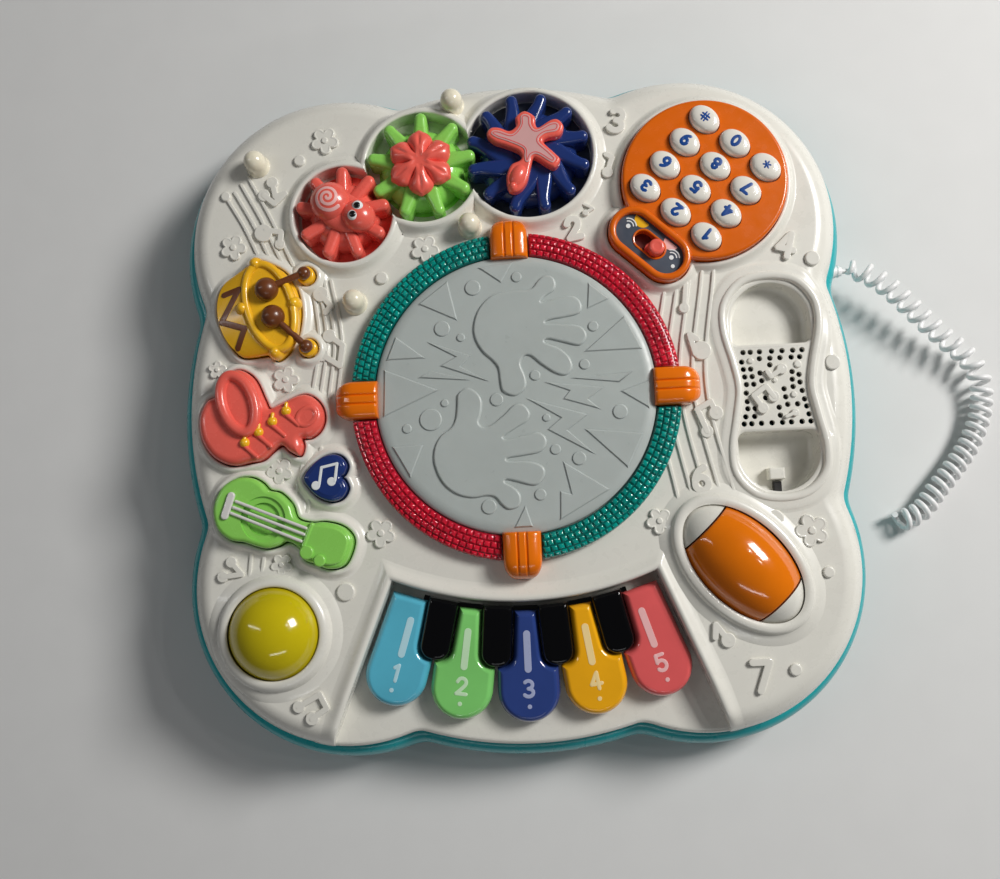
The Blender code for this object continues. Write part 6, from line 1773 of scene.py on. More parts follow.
def make_phone_keys():
    for index, name in enumerate(PHONE_KEYS):
        place = phone_key_place(index)
        rings = []
        for share, z in KEY_SECTION:
            loop = ellipse(place, KEY_HALF[0] * share, KEY_HALF[1] * share, PHONE_TURN, 56)
            rings.append(level(loop, z))
        body = f"phone_key_{name}"
        piece(f"{body}_cap", [loft(rings)], "key_white", body, body, sharp=50.0)
        half_width = DIGIT_HALF_WIDTH if name.isdigit() else SIGN_HALF_WIDTH
        sizes = (DIGIT_HEIGHT, DIGIT_TURN, half_width, DIGIT_LOW, DIGIT_TOP)
        piece(f"{body}_figure", figure(name, place, *sizes, key_surface(place)), "digit", body)


# The slider's plate and the dark floor under its slot, which is painted shade, each as foot and top
PLATE = (57.4, 58.2)
SLOT_SHADE_FLOOR = (52.1, 52.6)
PLATE_SLOT_R = 4.9
SLOT_SHADE_R = 6.6
SLOT_RIM_R = 5.4
SLOT_RIM = ((0.0, 56.0), (0.0, 58.5), (-0.4, 58.7), (-0.9, 58.5), (-0.9, 56.0))
# Pictures on the slider's plate: foot, top and edge
PICTURE = (58.0, 58.4, 0.1)
HALF_DISC = (58.0, 58.35, 0.1)
SOUND_SIGNS = ((-14.2, 0.4), (12.8, 1.6))
SOUND_SIZE = 1.3
KNOB_SECTION = (
    (5.4, 52.9), (5.4, 54.2), (4.1, 54.2), (4.1, 61.6), (4.0, 62.3), (3.6, 62.9), (2.8, 63.2), (2.0, 63.1),
    (1.2, 62.9),
)


def make_slider():
    """The slate plate with its pictures, the rimmed slot round the knob, and the knob."""
    slot = prism(slot_loop(PLATE_SLOT_R), HOUSING_CUT_Z, CUT_TOP_Z)
    plate = prism(slider_loop(SLIDER_RECESS_R - 0.1), *PLATE)
    piece("slider_face", [plate], "slate", replaces="slider_plate", cuts=[[slot]])
    piece("slider_slot", [profiled(slot_loop(SLOT_RIM_R), SLOT_RIM, True)], "panel")
    # Painted shade: a dark floor under the slot.
    piece("slider_floor", [prism(slot_loop(SLOT_SHADE_R), *SLOT_SHADE_FLOOR)], "slot")
    pale = []
    for along, across in SOUND_SIGNS:
        place = slider_place(along, across)
        pale.append(raised(circle(place, 0.9 * SOUND_SIZE, 20), *PICTURE))
        for reach in (2.0, 3.1):
            wave = []
            for step in range(9):
                angle = PHONE_TURN + math.radians(90.0 + 100.0 * (step / 8 - 0.5))
                wave.append(polar(place, angle, reach * SOUND_SIZE))
            pale.append(raised(ribbon(wave, 0.32), *PICTURE))
    pale.append(raised(circle(slider_place(16.2, -1.4), 1.0, 20), *PICTURE))
    piece("slider_pictures", pale, "ink")
    piece("slider_mark_low", [raised(half_disc(slider_place(-10.6, 7.6), 4.2), *HALF_DISC)], "yellow")
    piece("slider_mark_high", [raised(half_disc(slider_place(8.0, 7.6), 4.0), *HALF_DISC)], "pink")
    knob = lathe(slider_place(SLIDER_TRAVEL / 2, 0.0), KNOB_SECTION, 48)
    piece("volume_knob", [knob], "coral", "volume_slider", "volume_slider")


def half_disc(centre, radius):
    turn = PHONE_TURN + math.pi
    return resampled([polar(centre, turn + math.pi * step / 14, radius) for step in range(15)], 0.6)


# Picture buttons

BUTTON_LOW = 49.8
BUTTON_TOP_Z = 60.5

# The drum's head as centre, half length, half width and turn; its side runs away from it and down
DRUM_HEAD = ((-121.6, 52.9), 24.6, 13.4, math.radians(105.0))
DRUM_SIDE = (-13.5, -3.6)
DRUM_SIDE_TOP = 62.0
DRUM_SIDE_DROP = 4.6
DRUM_NARROWING = 3.0
DRUM_WIDENING = 0.6
DRUM_BASE_Z = 57.6
DRUM_BASE_EDGE = 2.2
DRUM_RIM = (
    (0.0, 57.4), (0.0, 61.7), (-0.3, 62.7), (-1.0, 63.4), (-2.0, 63.6), (-3.0, 63.4), (-3.7, 62.7),
    (-4.0, 61.8), (-4.6, 61.5),
)
DRUM_LUGS = ((-128.6, 75.4), (-109.4, 54.0), (-135.6, 52.6), (-119.2, 29.4))
LUG_R = 3.8
LUG_LOW_Z = 58.6
LUG_RISE = 6.0
DRUM_CORDS = ((-145.6, 60.6), (-137.2, 62.4), (-147.2, 46.8), (-134.6, 42.2), (-139.0, 33.0))
# The cords' half width, and their foot and top above the drum's side
DRUM_CORD = (1.6, -1.0, 0.25)
STICK_PAD_Z = 58.0
STICK_PAD_EDGE = 1.4
# The sticks' two ends as height and radius
STICK_BALL = (63.6, 6.0)
STICK_TIP = (60.6, 3.4)
STICK_R = 1.75
STICK_ENDS_Z = (64.6, 61.0)


def drum_ring(share):
    """The drum's cross-section at a share of the way from its head to its far end."""
    (x, y), long_half, short_half, turn = DRUM_HEAD
    centre = (x + DRUM_SIDE[0] * share, y + DRUM_SIDE[1] * share)
    return centre, long_half - DRUM_NARROWING * share, short_half + DRUM_WIDENING * share, turn


HALVINGS = 24


def drum_side(x, y):
    """Height of the drum's sloping side above a place in the plan."""
    inside, outside = 1.0, 0.0
    for _ in range(HALVINGS):
        share = (inside + outside) / 2
        centre, long_half, short_half, turn = drum_ring(share)
        along, across = turned((0.0, 0.0), [(x - centre[0], y - centre[1])], -turn)[0]
        if math.hypot(along / long_half, across / short_half) < 1:
            inside = share
        else:
            outside = share
    return DRUM_SIDE_TOP - DRUM_SIDE_DROP * inside


def make_drum_button():
    """A drum seen from its side, with a rimmed head, lugs, cords and two sticks."""
    side = []
    for share in np.linspace(1.0, 0.0, 9):
        side.append(level(ellipse(*drum_ring(share), 96), DRUM_SIDE_TOP - DRUM_SIDE_DROP * share))
    bodies = [
        raised(BUTTONS["drum"], BUTTON_LOW, DRUM_BASE_Z, DRUM_BASE_EDGE, steps=6),
        loft(side),
        profiled(ellipse(*DRUM_HEAD, 96), DRUM_RIM),
    ]
    for place in DRUM_LUGS:
        bodies.append(dome(place, LUG_R, LUG_R, 0.0, LUG_LOW_Z, LUG_RISE, 48, 9))
    for _, tip in STICKS:
        bodies.append(raised(circle(tip, STICK_PAD_R, 40), BUTTON_LOW, STICK_PAD_Z, STICK_PAD_EDGE))
    piece("drum_button_body", bodies, "yellow", "drum_button", "drum_button")
    brown = []
    half_width, low, top = DRUM_CORD
    for index, ends in enumerate(zip(DRUM_CORDS, DRUM_CORDS[1:])):
        brown.append(stroke(ends, half_width, low, top + STROKE_LIFT * index, drum_side))
    for ball, tip in STICKS:
        brown.append(sphere(ball, *STICK_BALL, 32, 16, 0.02))
        brown.append(sphere(tip, *STICK_TIP, 32, 16, 0.02))
        brown.append(capsule((*ball, STICK_ENDS_Z[0]), (*tip, STICK_ENDS_Z[1]), STICK_R))
    piece("drum_button_sticks", brown, "brown", "drum_button")


def sphere(centre, z, radius, sides, steps, least):
    """A ball whose poles keep the least share of its width."""
    profile = []
    for step in range(steps + 1):
        angle = math.pi * (step / steps - 0.5)
        profile.append((radius * max(least, math.cos(angle)), z + radius * math.sin(angle)))
    return lathe(centre, profile, sides)


# Ovals as centre, half length, half width and turn
SAX_BELL = ((-138.4, 4.2), 17.6, 10.6, math.radians(108.0))
SAX_FLARE = (
    (-0.6, 57.0), (0.0, 61.4), (-0.3, 62.8), (-1.2, 63.7), (-2.6, 64.0), (-3.9, 63.7), (-4.8, 62.9),
    (-5.3, 61.8), (-5.6, 61.2),
)
SAX_MOUTH = ((-104.4, -3.8), 6.6, 5.4, math.radians(40.0))
SAX_MOUTH_RIM = ((0.0, 59.6), (-0.4, 60.8), (-1.3, 61.3), (-2.4, 61.0), (-3.2, 60.4))
SAX_KEYS = ((-135.5, -15.5), (-128.5, -10.5), (-121.5, -5.5), (-114.5, -0.5))
SAX_EDGE = 4.2
SAX_KEY_R = 2.5
SAX_KEY_LOW_Z = 60.4
SAX_KEY_RISE = 2.4
SAX_BAR_R = 1.15
SAX_LEVER_R = 0.95


def make_sax_button():
    """A saxophone with a wide bell, a bent tube and four keys."""
    bodies = [
        raised(BUTTONS["sax"], BUTTON_LOW, BUTTON_TOP_Z, SAX_EDGE, steps=8),
        profiled(ellipse(*SAX_BELL, 96), SAX_FLARE),
        profiled(ellipse(*SAX_MOUTH, 64), SAX_MOUTH_RIM),
    ]
    keys = []
    for x, y in SAX_KEYS:
        bodies.append(capsule((x - 0.6, y - 1.2, 60.7), (x + 6.0, y - 7.4, 60.2), SAX_BAR_R))
        keys.append(dome((x, y), SAX_KEY_R, SAX_KEY_R, 0.0, SAX_KEY_LOW_Z, SAX_KEY_RISE))
        keys.append(capsule((x, y + 0.8, 61.4), (x + 0.3, y + 3.6, 60.9), SAX_LEVER_R))
    piece("sax_button_body", bodies, "coral", "sax_button", "sax_button", sharp=45.0)
    piece("sax_button_keys", keys, "yellow", "sax_button")


GUITAR_EDGE = 2.4
GUITAR_HOLE = (-127.0, -53.8)
# The hole and the step round it: radius and floor
GUITAR_HOLE_STEPS = ((11.2, 59.4), (8.2, 58.0))
GUITAR_HEAD = (
    (-104.8, -58.4), (-97.0, -58.2), (-89.0, -60.6), (-85.0, -65.2), (-86.2, -71.8), (-89.4, -76.6),
    (-95.2, -77.6), (-100.6, -75.4), (-106.4, -72.6), (-107.4, -67.6),
)
# Foot, top and edge
GUITAR_HEAD_RELIEF = (59.8, 61.9, 1.1)
GUITAR_NUT = ((-102.6, -57.8, 61.0), (-106.8, -67.8, 61.0), 1.4)
GUITAR_PEGS = ((-105.3, -71.0, 3.5), (-99.0, -75.2, 3.0))
GUITAR_PEG_RELIEF = (58.0, 63.0, 0.9)
GUITAR_BRIDGE = ((-142.4, -41.6), (-145.8, -51.4), 1.9, 10)
GUITAR_BRIDGE_RELIEF = (60.0, 62.0, 0.8)
STRINGS = (
    ((-140.0, -44.5, 61.0), (-105.5, -59.2, 61.4)),
    ((-141.4, -47.4, 61.0), (-106.5, -62.2, 61.4)),
    ((-142.6, -50.2, 61.0), (-108.0, -65.4, 61.4)),
)
STRING_R = 0.8


def make_guitar_button():
    """A guitar with a stepped hole, a head with two pegs, a bridge and three strings."""
    body = raised(BUTTONS["guitar"], BUTTON_LOW, BUTTON_TOP_Z, GUITAR_EDGE, steps=6)
    holes = [[prism(circle(GUITAR_HOLE, radius, 64), z, CUT_TOP_Z)] for radius, z in GUITAR_HOLE_STEPS]
    piece("guitar_button_body", [body], "lime", "guitar_button", "guitar_button", cuts=holes)
    head = [raised(smooth_loop(GUITAR_HEAD, 6), *GUITAR_HEAD_RELIEF), capsule(*GUITAR_NUT)]
    for x, y, size in GUITAR_PEGS:
        head.append(raised(circle((x, y), size, 40), *GUITAR_PEG_RELIEF))
    piece("guitar_button_head", head, "lime", "guitar_button")
    pale = [raised(stadium(*GUITAR_BRIDGE), *GUITAR_BRIDGE_RELIEF)]
    pale += [capsule(start, end, STRING_R) for start, end in STRINGS]
    piece("guitar_button_strings", pale, "egg", "guitar_button")


HEART_TOP_Z = BUTTON_TOP_Z - 0.4
HEART_EDGE = 2.0
HEART_CROWN = 0.4
HEART_NOTE_HEADS = ((-100.4, -38.4, 2.3), (-92.6, -36.8, 2.3))
HEART_NOTE_STEM = ((-98.7, -38.0), (-97.4, -29.6), (-89.6, -28.0), (-90.9, -36.4))
# Half width of the notes' stems, and their foot and top
HEART_NOTE = (0.75, 59.9, 60.7)


def make_heart_button():
    heart = raised(BUTTONS["heart"], BUTTON_LOW, HEART_TOP_Z, HEART_EDGE, HEART_CROWN, steps=6)
    piece("heart_button_body", [heart], "navy", "heart_button", "heart_button")
    marks = note(HEART_NOTE_HEADS, HEART_NOTE_STEM, *HEART_NOTE)
    piece("heart_button_note", marks, "ink", "heart_button")


# Ball, roller, pegs and hook


def make_ball():
    ball = sphere(BALL_CENTRE, BALL_Z, BALL_R, 96, 40, 0.004)
    piece("ball_sphere", [ball], "ball", "spinning_ball", "spinning_ball")


BARREL_EASE = 0.35
BARREL_SHARES = (-1.0, *np.linspace(-0.985, 0.985, 33), 1.0)


def make_roller():
    """The spinning barrel: the middle of an egg, its edges eased."""
    rings = []
    for share in BARREL_SHARES:
        along = ROLLER_HALF * share
        ease = BARREL_EASE if abs(share) == 1.0 else 0.0
        rings.append(roller_ring(along, egg_radius(along) - ease, 96))
    piece("roller_barrel", [loft(rings)], "roller", "spinning_roller", "spinning_roller")


PEG_PLACES = ((-129.0, 130.4), (-26.3, 157.5), (-19.6, 91.3), (-79.7, 54.6))
PEG_FOOT = ((2.8, 47.0), (2.8, 51.6), (6.2, 51.7), (6.3, 52.6), (5.9, 53.4), (5.5, 54.6))
PEG_R = 5.6
PEG_RISE = 5.9
PEG_Z = 58.6


def make_pegs():
    profile = list(PEG_FOOT)
    for step in range(12):
        angle = math.pi / 2 * (step / 11.2) - 0.1
        profile.append((PEG_R * math.cos(angle), PEG_Z + PEG_RISE * math.sin(angle)))
    for number, place in enumerate(PEG_PLACES, 1):
        node = f"ball_peg_{number}"
        piece(f"{node}_knob", [lathe(place, profile, 48)], "ivory", replaces=node, sharp=50.0)


BLOCK_SPACING = 0.7


def block(centre, width, depth, low, top, edge):
    """A box with a round top edge."""
    x, y = centre
    left, right = x - width / 2, x + width / 2
    front, rear = y - depth / 2, y + depth / 2
    corners = [(left, front), (right, front), (right, rear), (left, rear)]
    return raised(resampled(corners, BLOCK_SPACING), low, top, edge)


# Width, depth, foot, top and edge
HOOK_TAB = (8.0, 6.0, 33.0, 43.5, 0.9)
HOOK_SLOT_SHADE = (4.0, 6.0, 36.4, 40.5, 0.4)
HOOK_SLOT_SHADE_PLACE = (HOOK_PLACE[0] + 0.6, HOOK_PLACE[1] - 6.9)


def make_hook():
    """The hook switch's tab, and a dark block in front of it, painted shade where its slot opens."""
    piece("hook_tab", [block(HOOK_PLACE, *HOOK_TAB)], "white", "hook_switch", "hook_switch")
    # A dark block that stands for the slot's opening: painted shade.
    piece("hook_slot", [block(HOOK_SLOT_SHADE_PLACE, *HOOK_SLOT_SHADE)], "dark")


# Piano

PIANO_COLOURS = tuple(KEY_SHADES)
PIANO_SPACING = 1.2


def piano_angle(index):
    return (index - 2) * FAN_STEP


def key_side(index, side):
    """One side of a key from the rear to where it meets its neighbour, round the black key between them."""
    angle = piano_angle(index)
    if index + side not in range(len(PIANO_COLOURS)):
        return [fan_point(angle, KEY_REAR_R, side * KEY_ROUND_R * KEY_REAR_R / FAN_FRONT_R)]
    middle = angle + side * FAN_STEP / 2
    points = [fan_point(middle, KEY_REAR_R, -side * (BLACK_HALF_WIDTH + PIANO_GAP))]
    for cosine, sine in quarter(9):
        across = BLACK_HALF_WIDTH - BLACK_CORNER + (BLACK_CORNER + PIANO_GAP) * cosine
        reach = BLACK_FRONT_R - BLACK_CORNER + (BLACK_CORNER + PIANO_GAP) * sine
        points.append(fan_point(middle, reach, -side * across))
    return points + [fan_point(middle, BLACK_FRONT_R + 2 * PIANO_GAP, -side * PIANO_GAP)]


def piano_key_loop(index):
    front = []
    for step in range(41):
        angle = math.pi * step / 40
        radius = FAN_FRONT_R + KEY_ROUND_R * math.sin(angle)
        front.append(fan_point(piano_angle(index), radius, KEY_ROUND_R * math.cos(angle)))
    return resampled(key_side(index, 1) + front + key_side(index, -1)[::-1], PIANO_SPACING)


def black_key_loop(angle):
    front = BLACK_FRONT_R - BLACK_CORNER
    local = [(-BLACK_HALF_WIDTH, BLACK_REAR_R + 0.3), (-BLACK_HALF_WIDTH, front)]
    for cosine, sine in quarter(6, 1):
        local.append((-BLACK_HALF_WIDTH + BLACK_CORNER * (1 - cosine), front + BLACK_CORNER * sine))
    local += [(-across, radius) for across, radius in reversed(local)]
    return resampled([fan_point(angle, radius, across) for across, radius in local], PIANO_SPACING)


# Marks on the keys: where they lie along the fan, their sizes, and their foot, top and edge
MARK_BAR = (188.4, 205.4, 1.75)
MARK_DOT = (223.4, 1.1)
MARK_FIGURE = (214.8, 9.0, 1.0)
MARK_RELIEF = (49.8, 50.14, 0.1)
FIGURE_TOP_Z = 50.12
# The black keys' foot, top and edge, and the foot and top of the strip that joins them
BLACK_RELIEF = (40.4, 52.0, 2.6)
STRIP = (40.3, 42.6)
STRIP_FRONT_R = 184.0
STRIP_STEPS = 24
STRIP_SHARE = 0.95


def piano_marks(index):
    """A bar, a dot and the key's number."""
    angle = piano_angle(index)
    start, end, half_width = MARK_BAR
    bar = stadium(fan_point(angle, start), fan_point(angle, end), half_width, 10)
    reach, radius = MARK_DOT
    dot = circle(fan_point(angle, reach), radius, 24)
    reach, height, half_width = MARK_FIGURE
    place = fan_point(angle, reach)
    number = figure(str(index + 1), place, height, angle, half_width, MARK_RELIEF[0], FIGURE_TOP_Z)
    return [raised(bar, *MARK_RELIEF), raised(dot, *MARK_RELIEF), *number]


def make_piano():
    for index, colour in enumerate(PIANO_COLOURS):
        body = f"piano_key_{index + 1}"
        key = raised_over(piano_key_loop(index), PIANO_UNDER_Z, PIANO_TOP_Z, PIANO_EDGE, 10)
        piece(f"{body}_top", [key], f"key_{colour}", body, body)
        piece(f"{body}_marks", piano_marks(index), f"mark_{colour}", body)
    black = []
    for index in range(len(PIANO_COLOURS) - 1):
        black.append(raised(black_key_loop(piano_angle(index) + FAN_STEP / 2), *BLACK_RELIEF, steps=7))
    last = piano_angle(len(PIANO_COLOURS) - 1)
    sweep = [last * (1 - 2 * step / STRIP_STEPS) * STRIP_SHARE for step in range(STRIP_STEPS + 1)]
    strip = [fan_point(angle, BLACK_REAR_R + 0.4) for angle in sweep]
    strip += [fan_point(angle, STRIP_FRONT_R) for angle in reversed(sweep)]
    black.append(prism(counter_clockwise(strip), *STRIP))
    piece("black_keys_tops", black, "black", replaces="black_keys")


# Moulded relief on the white shell

RELIEF_LOW = PLATEAU_Z - 1.2
RELIEF_TOP = PLATEAU_Z + 1.6
NOTE_TOP = RELIEF_TOP + 0.15
FIGURE_TOP = RELIEF_TOP + 0.25
STAVE_TOP = PLATEAU_Z + 1.05
GRILLE_STUD_TOP = PLATEAU_Z + 1.0
# Flowers and studs as (x, y, radius)
BLOSSOMS = (
    (-142.4, 87.2, 7.0), (-151.3, 23.4, 5.0), (-93.5, 142.0, 7.5), (-43.0, 81.0, 7.5), (-116.3, 16.6, 7.0),
    (-120.3, -29.7, 7.0), (-70.0, -63.0, 7.5), (141.8, -70.9, 8.4), (68.0, -63.0, 6.8), (-120.0, -76.5, 5.8),
)
STUDS = (
    (-107.0, 132.0, 3.0), (-88.3, -91.2, 4.5), (124.6, -64.2, 4.2), (148.4, -91.4, 2.8), (128.9, -137.3, 3.0),
    (152.8, 65.6, 3.8), (158.6, 12.0, 3.9), (-65.8, 67.0, 3.2), (-146.0, 114.8, 2.6),
)
# Music notes: round heads as (x, y, radius), and the corners of each note's stem
NOTES = (
    (((-121.5, 120.9, 3.1), (-125.9, 114.1, 3.2)), ((-121.5, 120.9), (-119.8, 113.0), (-115.0, 114.6),
                                                    (-120.6, 109.4), (-125.9, 114.1))),
    (((-126.5, 94.0, 4.7), (-118.0, 87.6, 2.8)), ((-125.0, 95.4), (-117.2, 94.0), (-118.0, 87.6))),
    (((-97.5, 60.1, 4.0),), ((-97.5, 60.1), (-92.4, 53.6), (-95.2, 50.4))),
    (((-93.5, 38.1, 3.5), (-97.5, 28.5, 3.5)), ((-93.5, 38.1), (-86.8, 33.0), (-88.4, 22.4), (-97.5, 28.5))),
    (((-145.3, -74.2, 2.8), (-149.7, -81.3, 2.8)), ((-145.3, -74.2), (-140.2, -80.4), (-149.7, -81.3))),
    (((-112.8, -145.8, 3.0), (-106.3, -151.7, 3.3)), ((-112.8, -145.8), (-102.4, -140.2), (-99.0, -147.0),
                                                      (-106.3, -151.7))),
    (((94.1, 21.1, 4.8),), ((91.0, 19.6), (88.6, 29.6), (92.0, 27.0))),
    (((86.8, 43.2, 2.7),), ((86.8, 43.2), (88.4, 56.0))),
    (((99.1, -10.7, 3.6), (94.1, -19.8, 3.2)), ((99.1, -10.7), (96.8, -5.0), (90.0, -8.6), (94.1, -19.8))),
    (((97.5, -122.0, 3.6),), ((97.5, -122.0), (92.0, -114.4), (91.4, -120.4))),
    (((52.2, 116.4, 2.9),), ((52.2, 116.4), (55.0, 124.2), (52.0, 126.0))),
    (((40.0, 95.6, 1.7),), ((40.0, 95.6), (43.8, 97.6), (38.6, 100.6))),
    (((133.2, 9.8, 2.7),), ((133.2, 9.8), (127.6, 6.2), (126.0, 8.6))),
    (((122.5, -9.5, 2.8), (128.2, -3.9, 2.8)), ((122.5, -9.5), (118.4, -3.0), (124.6, 1.4), (128.2, -3.9))),
    (((138.2, -12.4, 1.9),), ((138.2, -12.4), (133.8, -14.2))),
)
GRILLE_STUDS = ((118.2, 14.8, 1.6), (141.4, 12.0, 2.0), (138.4, -3.2, 1.6), (129.6, 4.4, 1.2))
# Plain figures as (sign, x, y, height, turn in degrees)
RAISED_FIGURES = (
    ("3", 58.6, 143.8, 13.0, -14.0), ("2", 33.4, 87.8, 12.0, 10.0), ("4", 140.2, 73.2, 14.0, -16.0),
    ("6", 89.6, -43.4, 13.5, 4.0), ("7", 112.4, -139.8, 16.0, 0.0),
)


# Staves: ends of the rear side, ends of the front side, how the lines bow, and their number
STAVES = (
    (((-144.8, 112.6), (-134.3, 124.9)), ((-129.4, 82.0), (-111.5, 76.3)), (0.6, 0.6), 4),
    (((-102.0, 67.0), (-92.0, 67.0)), ((-103.4, 6.0), (-90.0, 6.0)), (4.0, 0.0), 4),
    (((-106.0, -17.0), (-99.0, -19.0)), ((-114.0, -48.0), (-107.0, -52.0)), (0.0, 0.0), 2),
    (((-135.2, -70.0), (-128.4, -69.0)), ((-136.6, -84.0), (-130.4, -82.0)), (0.0, 0.0), 2),
    (((79.0, 60.0), (103.0, 62.0)), ((78.0, -53.0), (106.0, -53.0)), (-9.0, 0.0), 5),
)
STAVE_HALF_WIDTH = 0.85
STAVE_POINTS = 40
FIGURE_HALF_WIDTH = 1.75
PETALS = 5
PETAL_POINTS = 120
PETAL_PLACE = 0.61
PETAL_SHARE = 0.375
BLOSSOM_FACE = (
    (0.0, RELIEF_LOW), (0.0, RELIEF_TOP - 0.5), (-0.2, RELIEF_TOP - 0.12), (-0.6, RELIEF_TOP),
    (-1.1, RELIEF_TOP - 0.16), (-1.4, RELIEF_TOP - 0.3),
)


def blossom(x, y, size):
    """A flat five-petalled flower with a slightly sunken face and a stud in its middle."""
    turn = 0.3 + x * 0.1
    loop = []
    for step in range(PETAL_POINTS):
        angle = 2 * math.pi * step / PETAL_POINTS
        away = (angle + math.pi / PETALS) % (2 * math.pi / PETALS) - math.pi / PETALS
        sweep = math.sqrt((PETAL_SHARE * size) ** 2 - (PETAL_PLACE * size * math.sin(away)) ** 2)
        loop.append(polar((x, y), angle + turn, PETAL_PLACE * size * math.cos(away) + sweep))
    return [profiled(np.array(loop), BLOSSOM_FACE), stud((x, y, size * 0.24), RELIEF_TOP + 0.45)]


def stud(place, top=RELIEF_TOP):
    x, y, radius = place
    return raised(circle((x, y), radius, 48), RELIEF_LOW, top, min(0.8, 0.45 * radius), steps=5)


def note(heads, stem, half_width, low, top):
    """A music note: round heads and a bent stem, each part a hair above the one before."""
    bodies = []
    for index, (x, y, radius) in enumerate(heads):
        head = circle((x, y), radius, 44)
        bodies.append(raised(head, low, top - 0.02 * index, min(0.5, radius / 3), steps=4))
    for index, ends in enumerate(zip(stem, stem[1:])):
        bodies.append(stroke(ends, half_width, low, top + 0.02 + STROKE_LIFT * index))
    return bodies


def stave(tops, bottoms, bow, lines):
    """Thin lines between two rows of ends, each bent through its middle and kept clear of the drum."""
    bodies = []
    for share in np.linspace(0.0, 1.0, lines):
        start = np.array(tops[0]) + (np.array(tops[1]) - tops[0]) * share
        end = np.array(bottoms[0]) + (np.array(bottoms[1]) - bottoms[0]) * share
        path = []
        for point in bent([start, (start + end) / 2 + np.array(bow), end], STAVE_POINTS):
            if np.hypot(*(point - np.array(DRUM_CENTRE))) > RING_OUTER - 2.0:
                path.append(point)
        bodies.append(stroke(path, STAVE_HALF_WIDTH, RELIEF_LOW, STAVE_TOP))
    return bodies


def make_relief():
    """Flowers, studs, staves, notes and plain figures moulded on the white shell."""
    bodies = []
    for place in BLOSSOMS:
        bodies += blossom(*place)
    for heads, stem in NOTES:
        bodies += note(heads, stem, min(1.5, 0.48 * heads[0][2]), RELIEF_LOW, NOTE_TOP)
    bodies += [stud(place, GRILLE_STUD_TOP) for place in GRILLE_STUDS]
    for lines in STAVES:
        bodies += stave(*lines)
    for sign, x, y, height, turn in RAISED_FIGURES:
        sizes = (height, math.radians(turn), FIGURE_HALF_WIDTH, RELIEF_LOW, FIGURE_TOP)
        bodies += figure(sign, (x, y), *sizes)
    bodies = [settled(body) for body in bodies]
    for x, y, radius in STUDS:
        points, faces = stud((x, y, radius))
        fall = PLATEAU_Z - shell_height(x, y)
        bodies.append((points - np.array((0.0, 0.0, fall)), faces))
    piece("shell_relief", bodies, "white", sharp=50.0)


# Curly cord

LINE_SAMPLES = 400
ROUTE_STEPS = 24


def cord_line():
    """Evenly spaced points of the curls' centre line, from the outlet to the bare end."""
    x, y, z = OUTLET_PLACE
    route = [(x + OUTLET_LENGTH + CORD_LEAD, y, z), *CORD_ROUTE]
    return even_path(bent(route, ROUTE_STEPS * len(CORD_ROUTE)), LINE_SAMPLES + 1)


def share_at_turn(turns):
    if turns < LOOSE_CURLS:
        return LOOSE_SHARE * turns / LOOSE_CURLS
    return LOOSE_SHARE + (1 - LOOSE_SHARE) * (turns - LOOSE_CURLS) / TIGHT_CURLS


def cord_points():
    """The cord: a lead out of its outlet, then curls wound round the centre line."""
    line = [Vector(point) for point in cord_line()]
    points = [Vector(OUTLET_PLACE) + Vector((OUTLET_LENGTH - CORD_INSERT, 0.0, 0.0)), line[0]]
    for step in range(1, (LOOSE_CURLS + TIGHT_CURLS) * CURL_POINTS + 1):
        turn = step / CURL_POINTS
        place = share_at_turn(turn) * LINE_SAMPLES
        index = min(int(place), LINE_SAMPLES - 1)
        centre = line[index].lerp(line[index + 1], place - index)
        ahead = (line[index + 1] - line[index]).normalized()
        side = ahead.cross(Vector(UP)).normalized()
        rise = side.cross(ahead)
        radius = CURL_R * min(1.0, 2 * turn)
        angle = 2 * math.pi * turn
        points.append(centre + radius * (math.cos(angle) * side + math.sin(angle) * rise))
    last = points[-1] - points[-2]
    points.append(points[-1] + last.normalized() * CORD_LEAD)
    return points


def make_cord():
    points = [point * MM for point in cord_points()]
    curve = bpy.data.curves.new("handset_cord_curls", "CURVE")
    curve.dimensions = "3D"
    curve.bevel_depth = CORD_R * MM
    curve.bevel_resolution = 4
    curve.use_fill_caps = True
    spline = curve.splines.new("POLY")
    spline.points.add(len(points) - 1)
    for target, point in zip(spline.points, points):
        target.co = (*point, 1.0)
    curve.materials.append(FINISHES["cord"])
    cord = link("handset_cord_curls", curve)
    length = sum((after - before).length for before, after in zip(points, points[1:]))
    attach(cord, "casing")
    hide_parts("handset_cord")


# Pieces inside, which keep their solids

INSIDE = {
    "board": ("main_board", "keypad_board"),
    "steel": ("casing_screw_1", "casing_screw_2", "casing_screw_3", "casing_screw_4", "door_screw"),
    "cell": ("battery_pack",),
    "dark": ("speaker",),
    "teal": ("battery_door",),
}


def dress_inside():
    for finish, nodes in INSIDE.items():
        for node in nodes:
            target = bpy.data.objects[node]
            target.data.materials.clear()
            target.data.materials.append(FINISHES[finish])


# Camera, light and floor

SENSOR_WIDTH = 36.0
FLOOR_HALF = 3.0
FLOOR_SHADE = (226, 226, 225)
SKY_COLOUR = (0.96, 0.98, 1.0, 1.0)
SKY_STRENGTH = 0.052
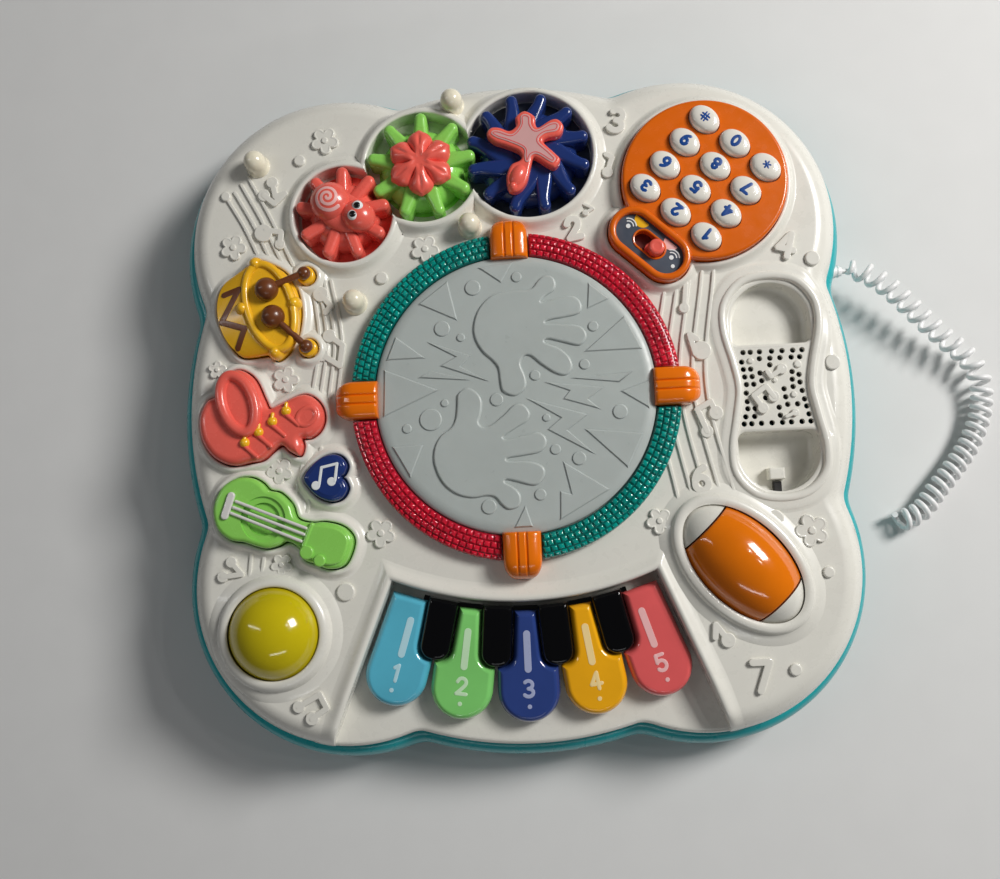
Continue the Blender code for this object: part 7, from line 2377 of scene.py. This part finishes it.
# Area lights in metres: place, point aimed at, size, power and colour
LIGHTS = {
    "window": ((1.00, 0.50, 0.95), (0.0, 0.0, 0.03), (0.42, 0.38), 17.6, (1.0, 0.985, 0.96)),
    "strip_left": ((-0.78, 0.15, 0.75), (0.0, 0.0, 0.05), (0.05, 0.6), 0.7, (0.97, 0.98, 1.0)),
    "strip_front": ((0.05, -0.80, 0.70), (0.0, 0.0, 0.05), (0.6, 0.05), 0.7, (0.97, 0.98, 1.0)),
    "lamp_1": ((0.62, 0.34, 1.05), (0.0, 0.0, 0.03), (0.03, 0.03), 0.3, (1.0, 0.99, 0.97)),
    "lamp_2": ((0.88, 0.36, 1.05), (0.0, 0.0, 0.03), (0.03, 0.03), 0.3, (1.0, 0.99, 0.97)),
    "lamp_3": ((0.76, 0.12, 1.05), (0.0, 0.0, 0.03), (0.03, 0.03), 0.3, (1.0, 0.99, 0.97)),
}


def make_camera():
    data = bpy.data.cameras.new("camera")
    data.sensor_width = SENSOR_WIDTH
    data.lens = CAMERA_LENS
    data.clip_start = 0.01
    camera = link("camera", data)
    columns = (CAMERA_RIGHT, CAMERA_UP, CAMERA_BACK)
    matrix = Matrix([[column[row] for column in columns] for row in range(3)]).to_4x4()
    matrix.translation = Vector(CAMERA_PLACE) * MM
    camera.matrix_world = matrix
    bpy.context.scene.camera = camera


def make_light(name, place, aim, size, power, colour):
    data = bpy.data.lights.new(name, "AREA")
    data.shape = "RECTANGLE"
    data.size, data.size_y = size
    data.energy = power
    data.color = colour
    light = link(name, data)
    light.location = place
    light.rotation_euler = (Vector(aim) - Vector(place)).to_track_quat("-Z", "Y").to_euler()


def make_stage():
    """A pale floor, a faint sky, a large window at the right rear and small fill lights."""
    mesh = bpy.data.meshes.new("floor")
    corners = [(x * FLOOR_HALF, y * FLOOR_HALF, 0.0) for x, y in ((-1, -1), (1, -1), (1, 1), (-1, 1))]
    mesh.from_pydata(corners, [], [(0, 1, 2, 3)])
    mesh.materials.append(plastic("floor_pale", FLOOR_SHADE, 0.8, 0.01, 0.0, shine=0.1))
    floor = link("floor", mesh)
    world = bpy.data.worlds.new("studio")
    world.use_nodes = True
    sky = world.node_tree.nodes["Background"]
    sky.inputs["Color"].default_value = SKY_COLOUR
    sky.inputs["Strength"].default_value = SKY_STRENGTH
    bpy.context.scene.world = world
    for name, settings in LIGHTS.items():
        make_light(name, *settings)


make_camera()
make_stage()
make_cord()
make_top_shell()
make_rims()
make_cups()
make_piano_tray()
make_bottom_shell()
make_drum_pad()
for ring_number in range(1, 5):
    make_light_ring(ring_number)
for clip_quarter, clip_side in enumerate(("right", "rear", "left", "front")):
    make_clip(clip_side, clip_quarter)
make_gear("flower", FLOWER, "lime", 21.5, 10.0, 0.0, 1.8)
make_gear("snail", SNAIL, "coral", 18.0, 8.0, 0.0, 0.4)
make_gear("star", STAR, "navy", 25.5, 11.0, 28.0, 2.4)
make_well_liners()
make_flower_cap()
make_star_cap()
make_snail_cap()
make_phone_panel()
make_phone_keys()
make_slider()
make_drum_button()
make_sax_button()
make_guitar_button()
make_heart_button()
make_ball()
make_roller()
make_pegs()
make_hook()
make_piano()
make_relief()
dress_inside()

bpy.context.scene.view_settings.view_transform = "Standard"
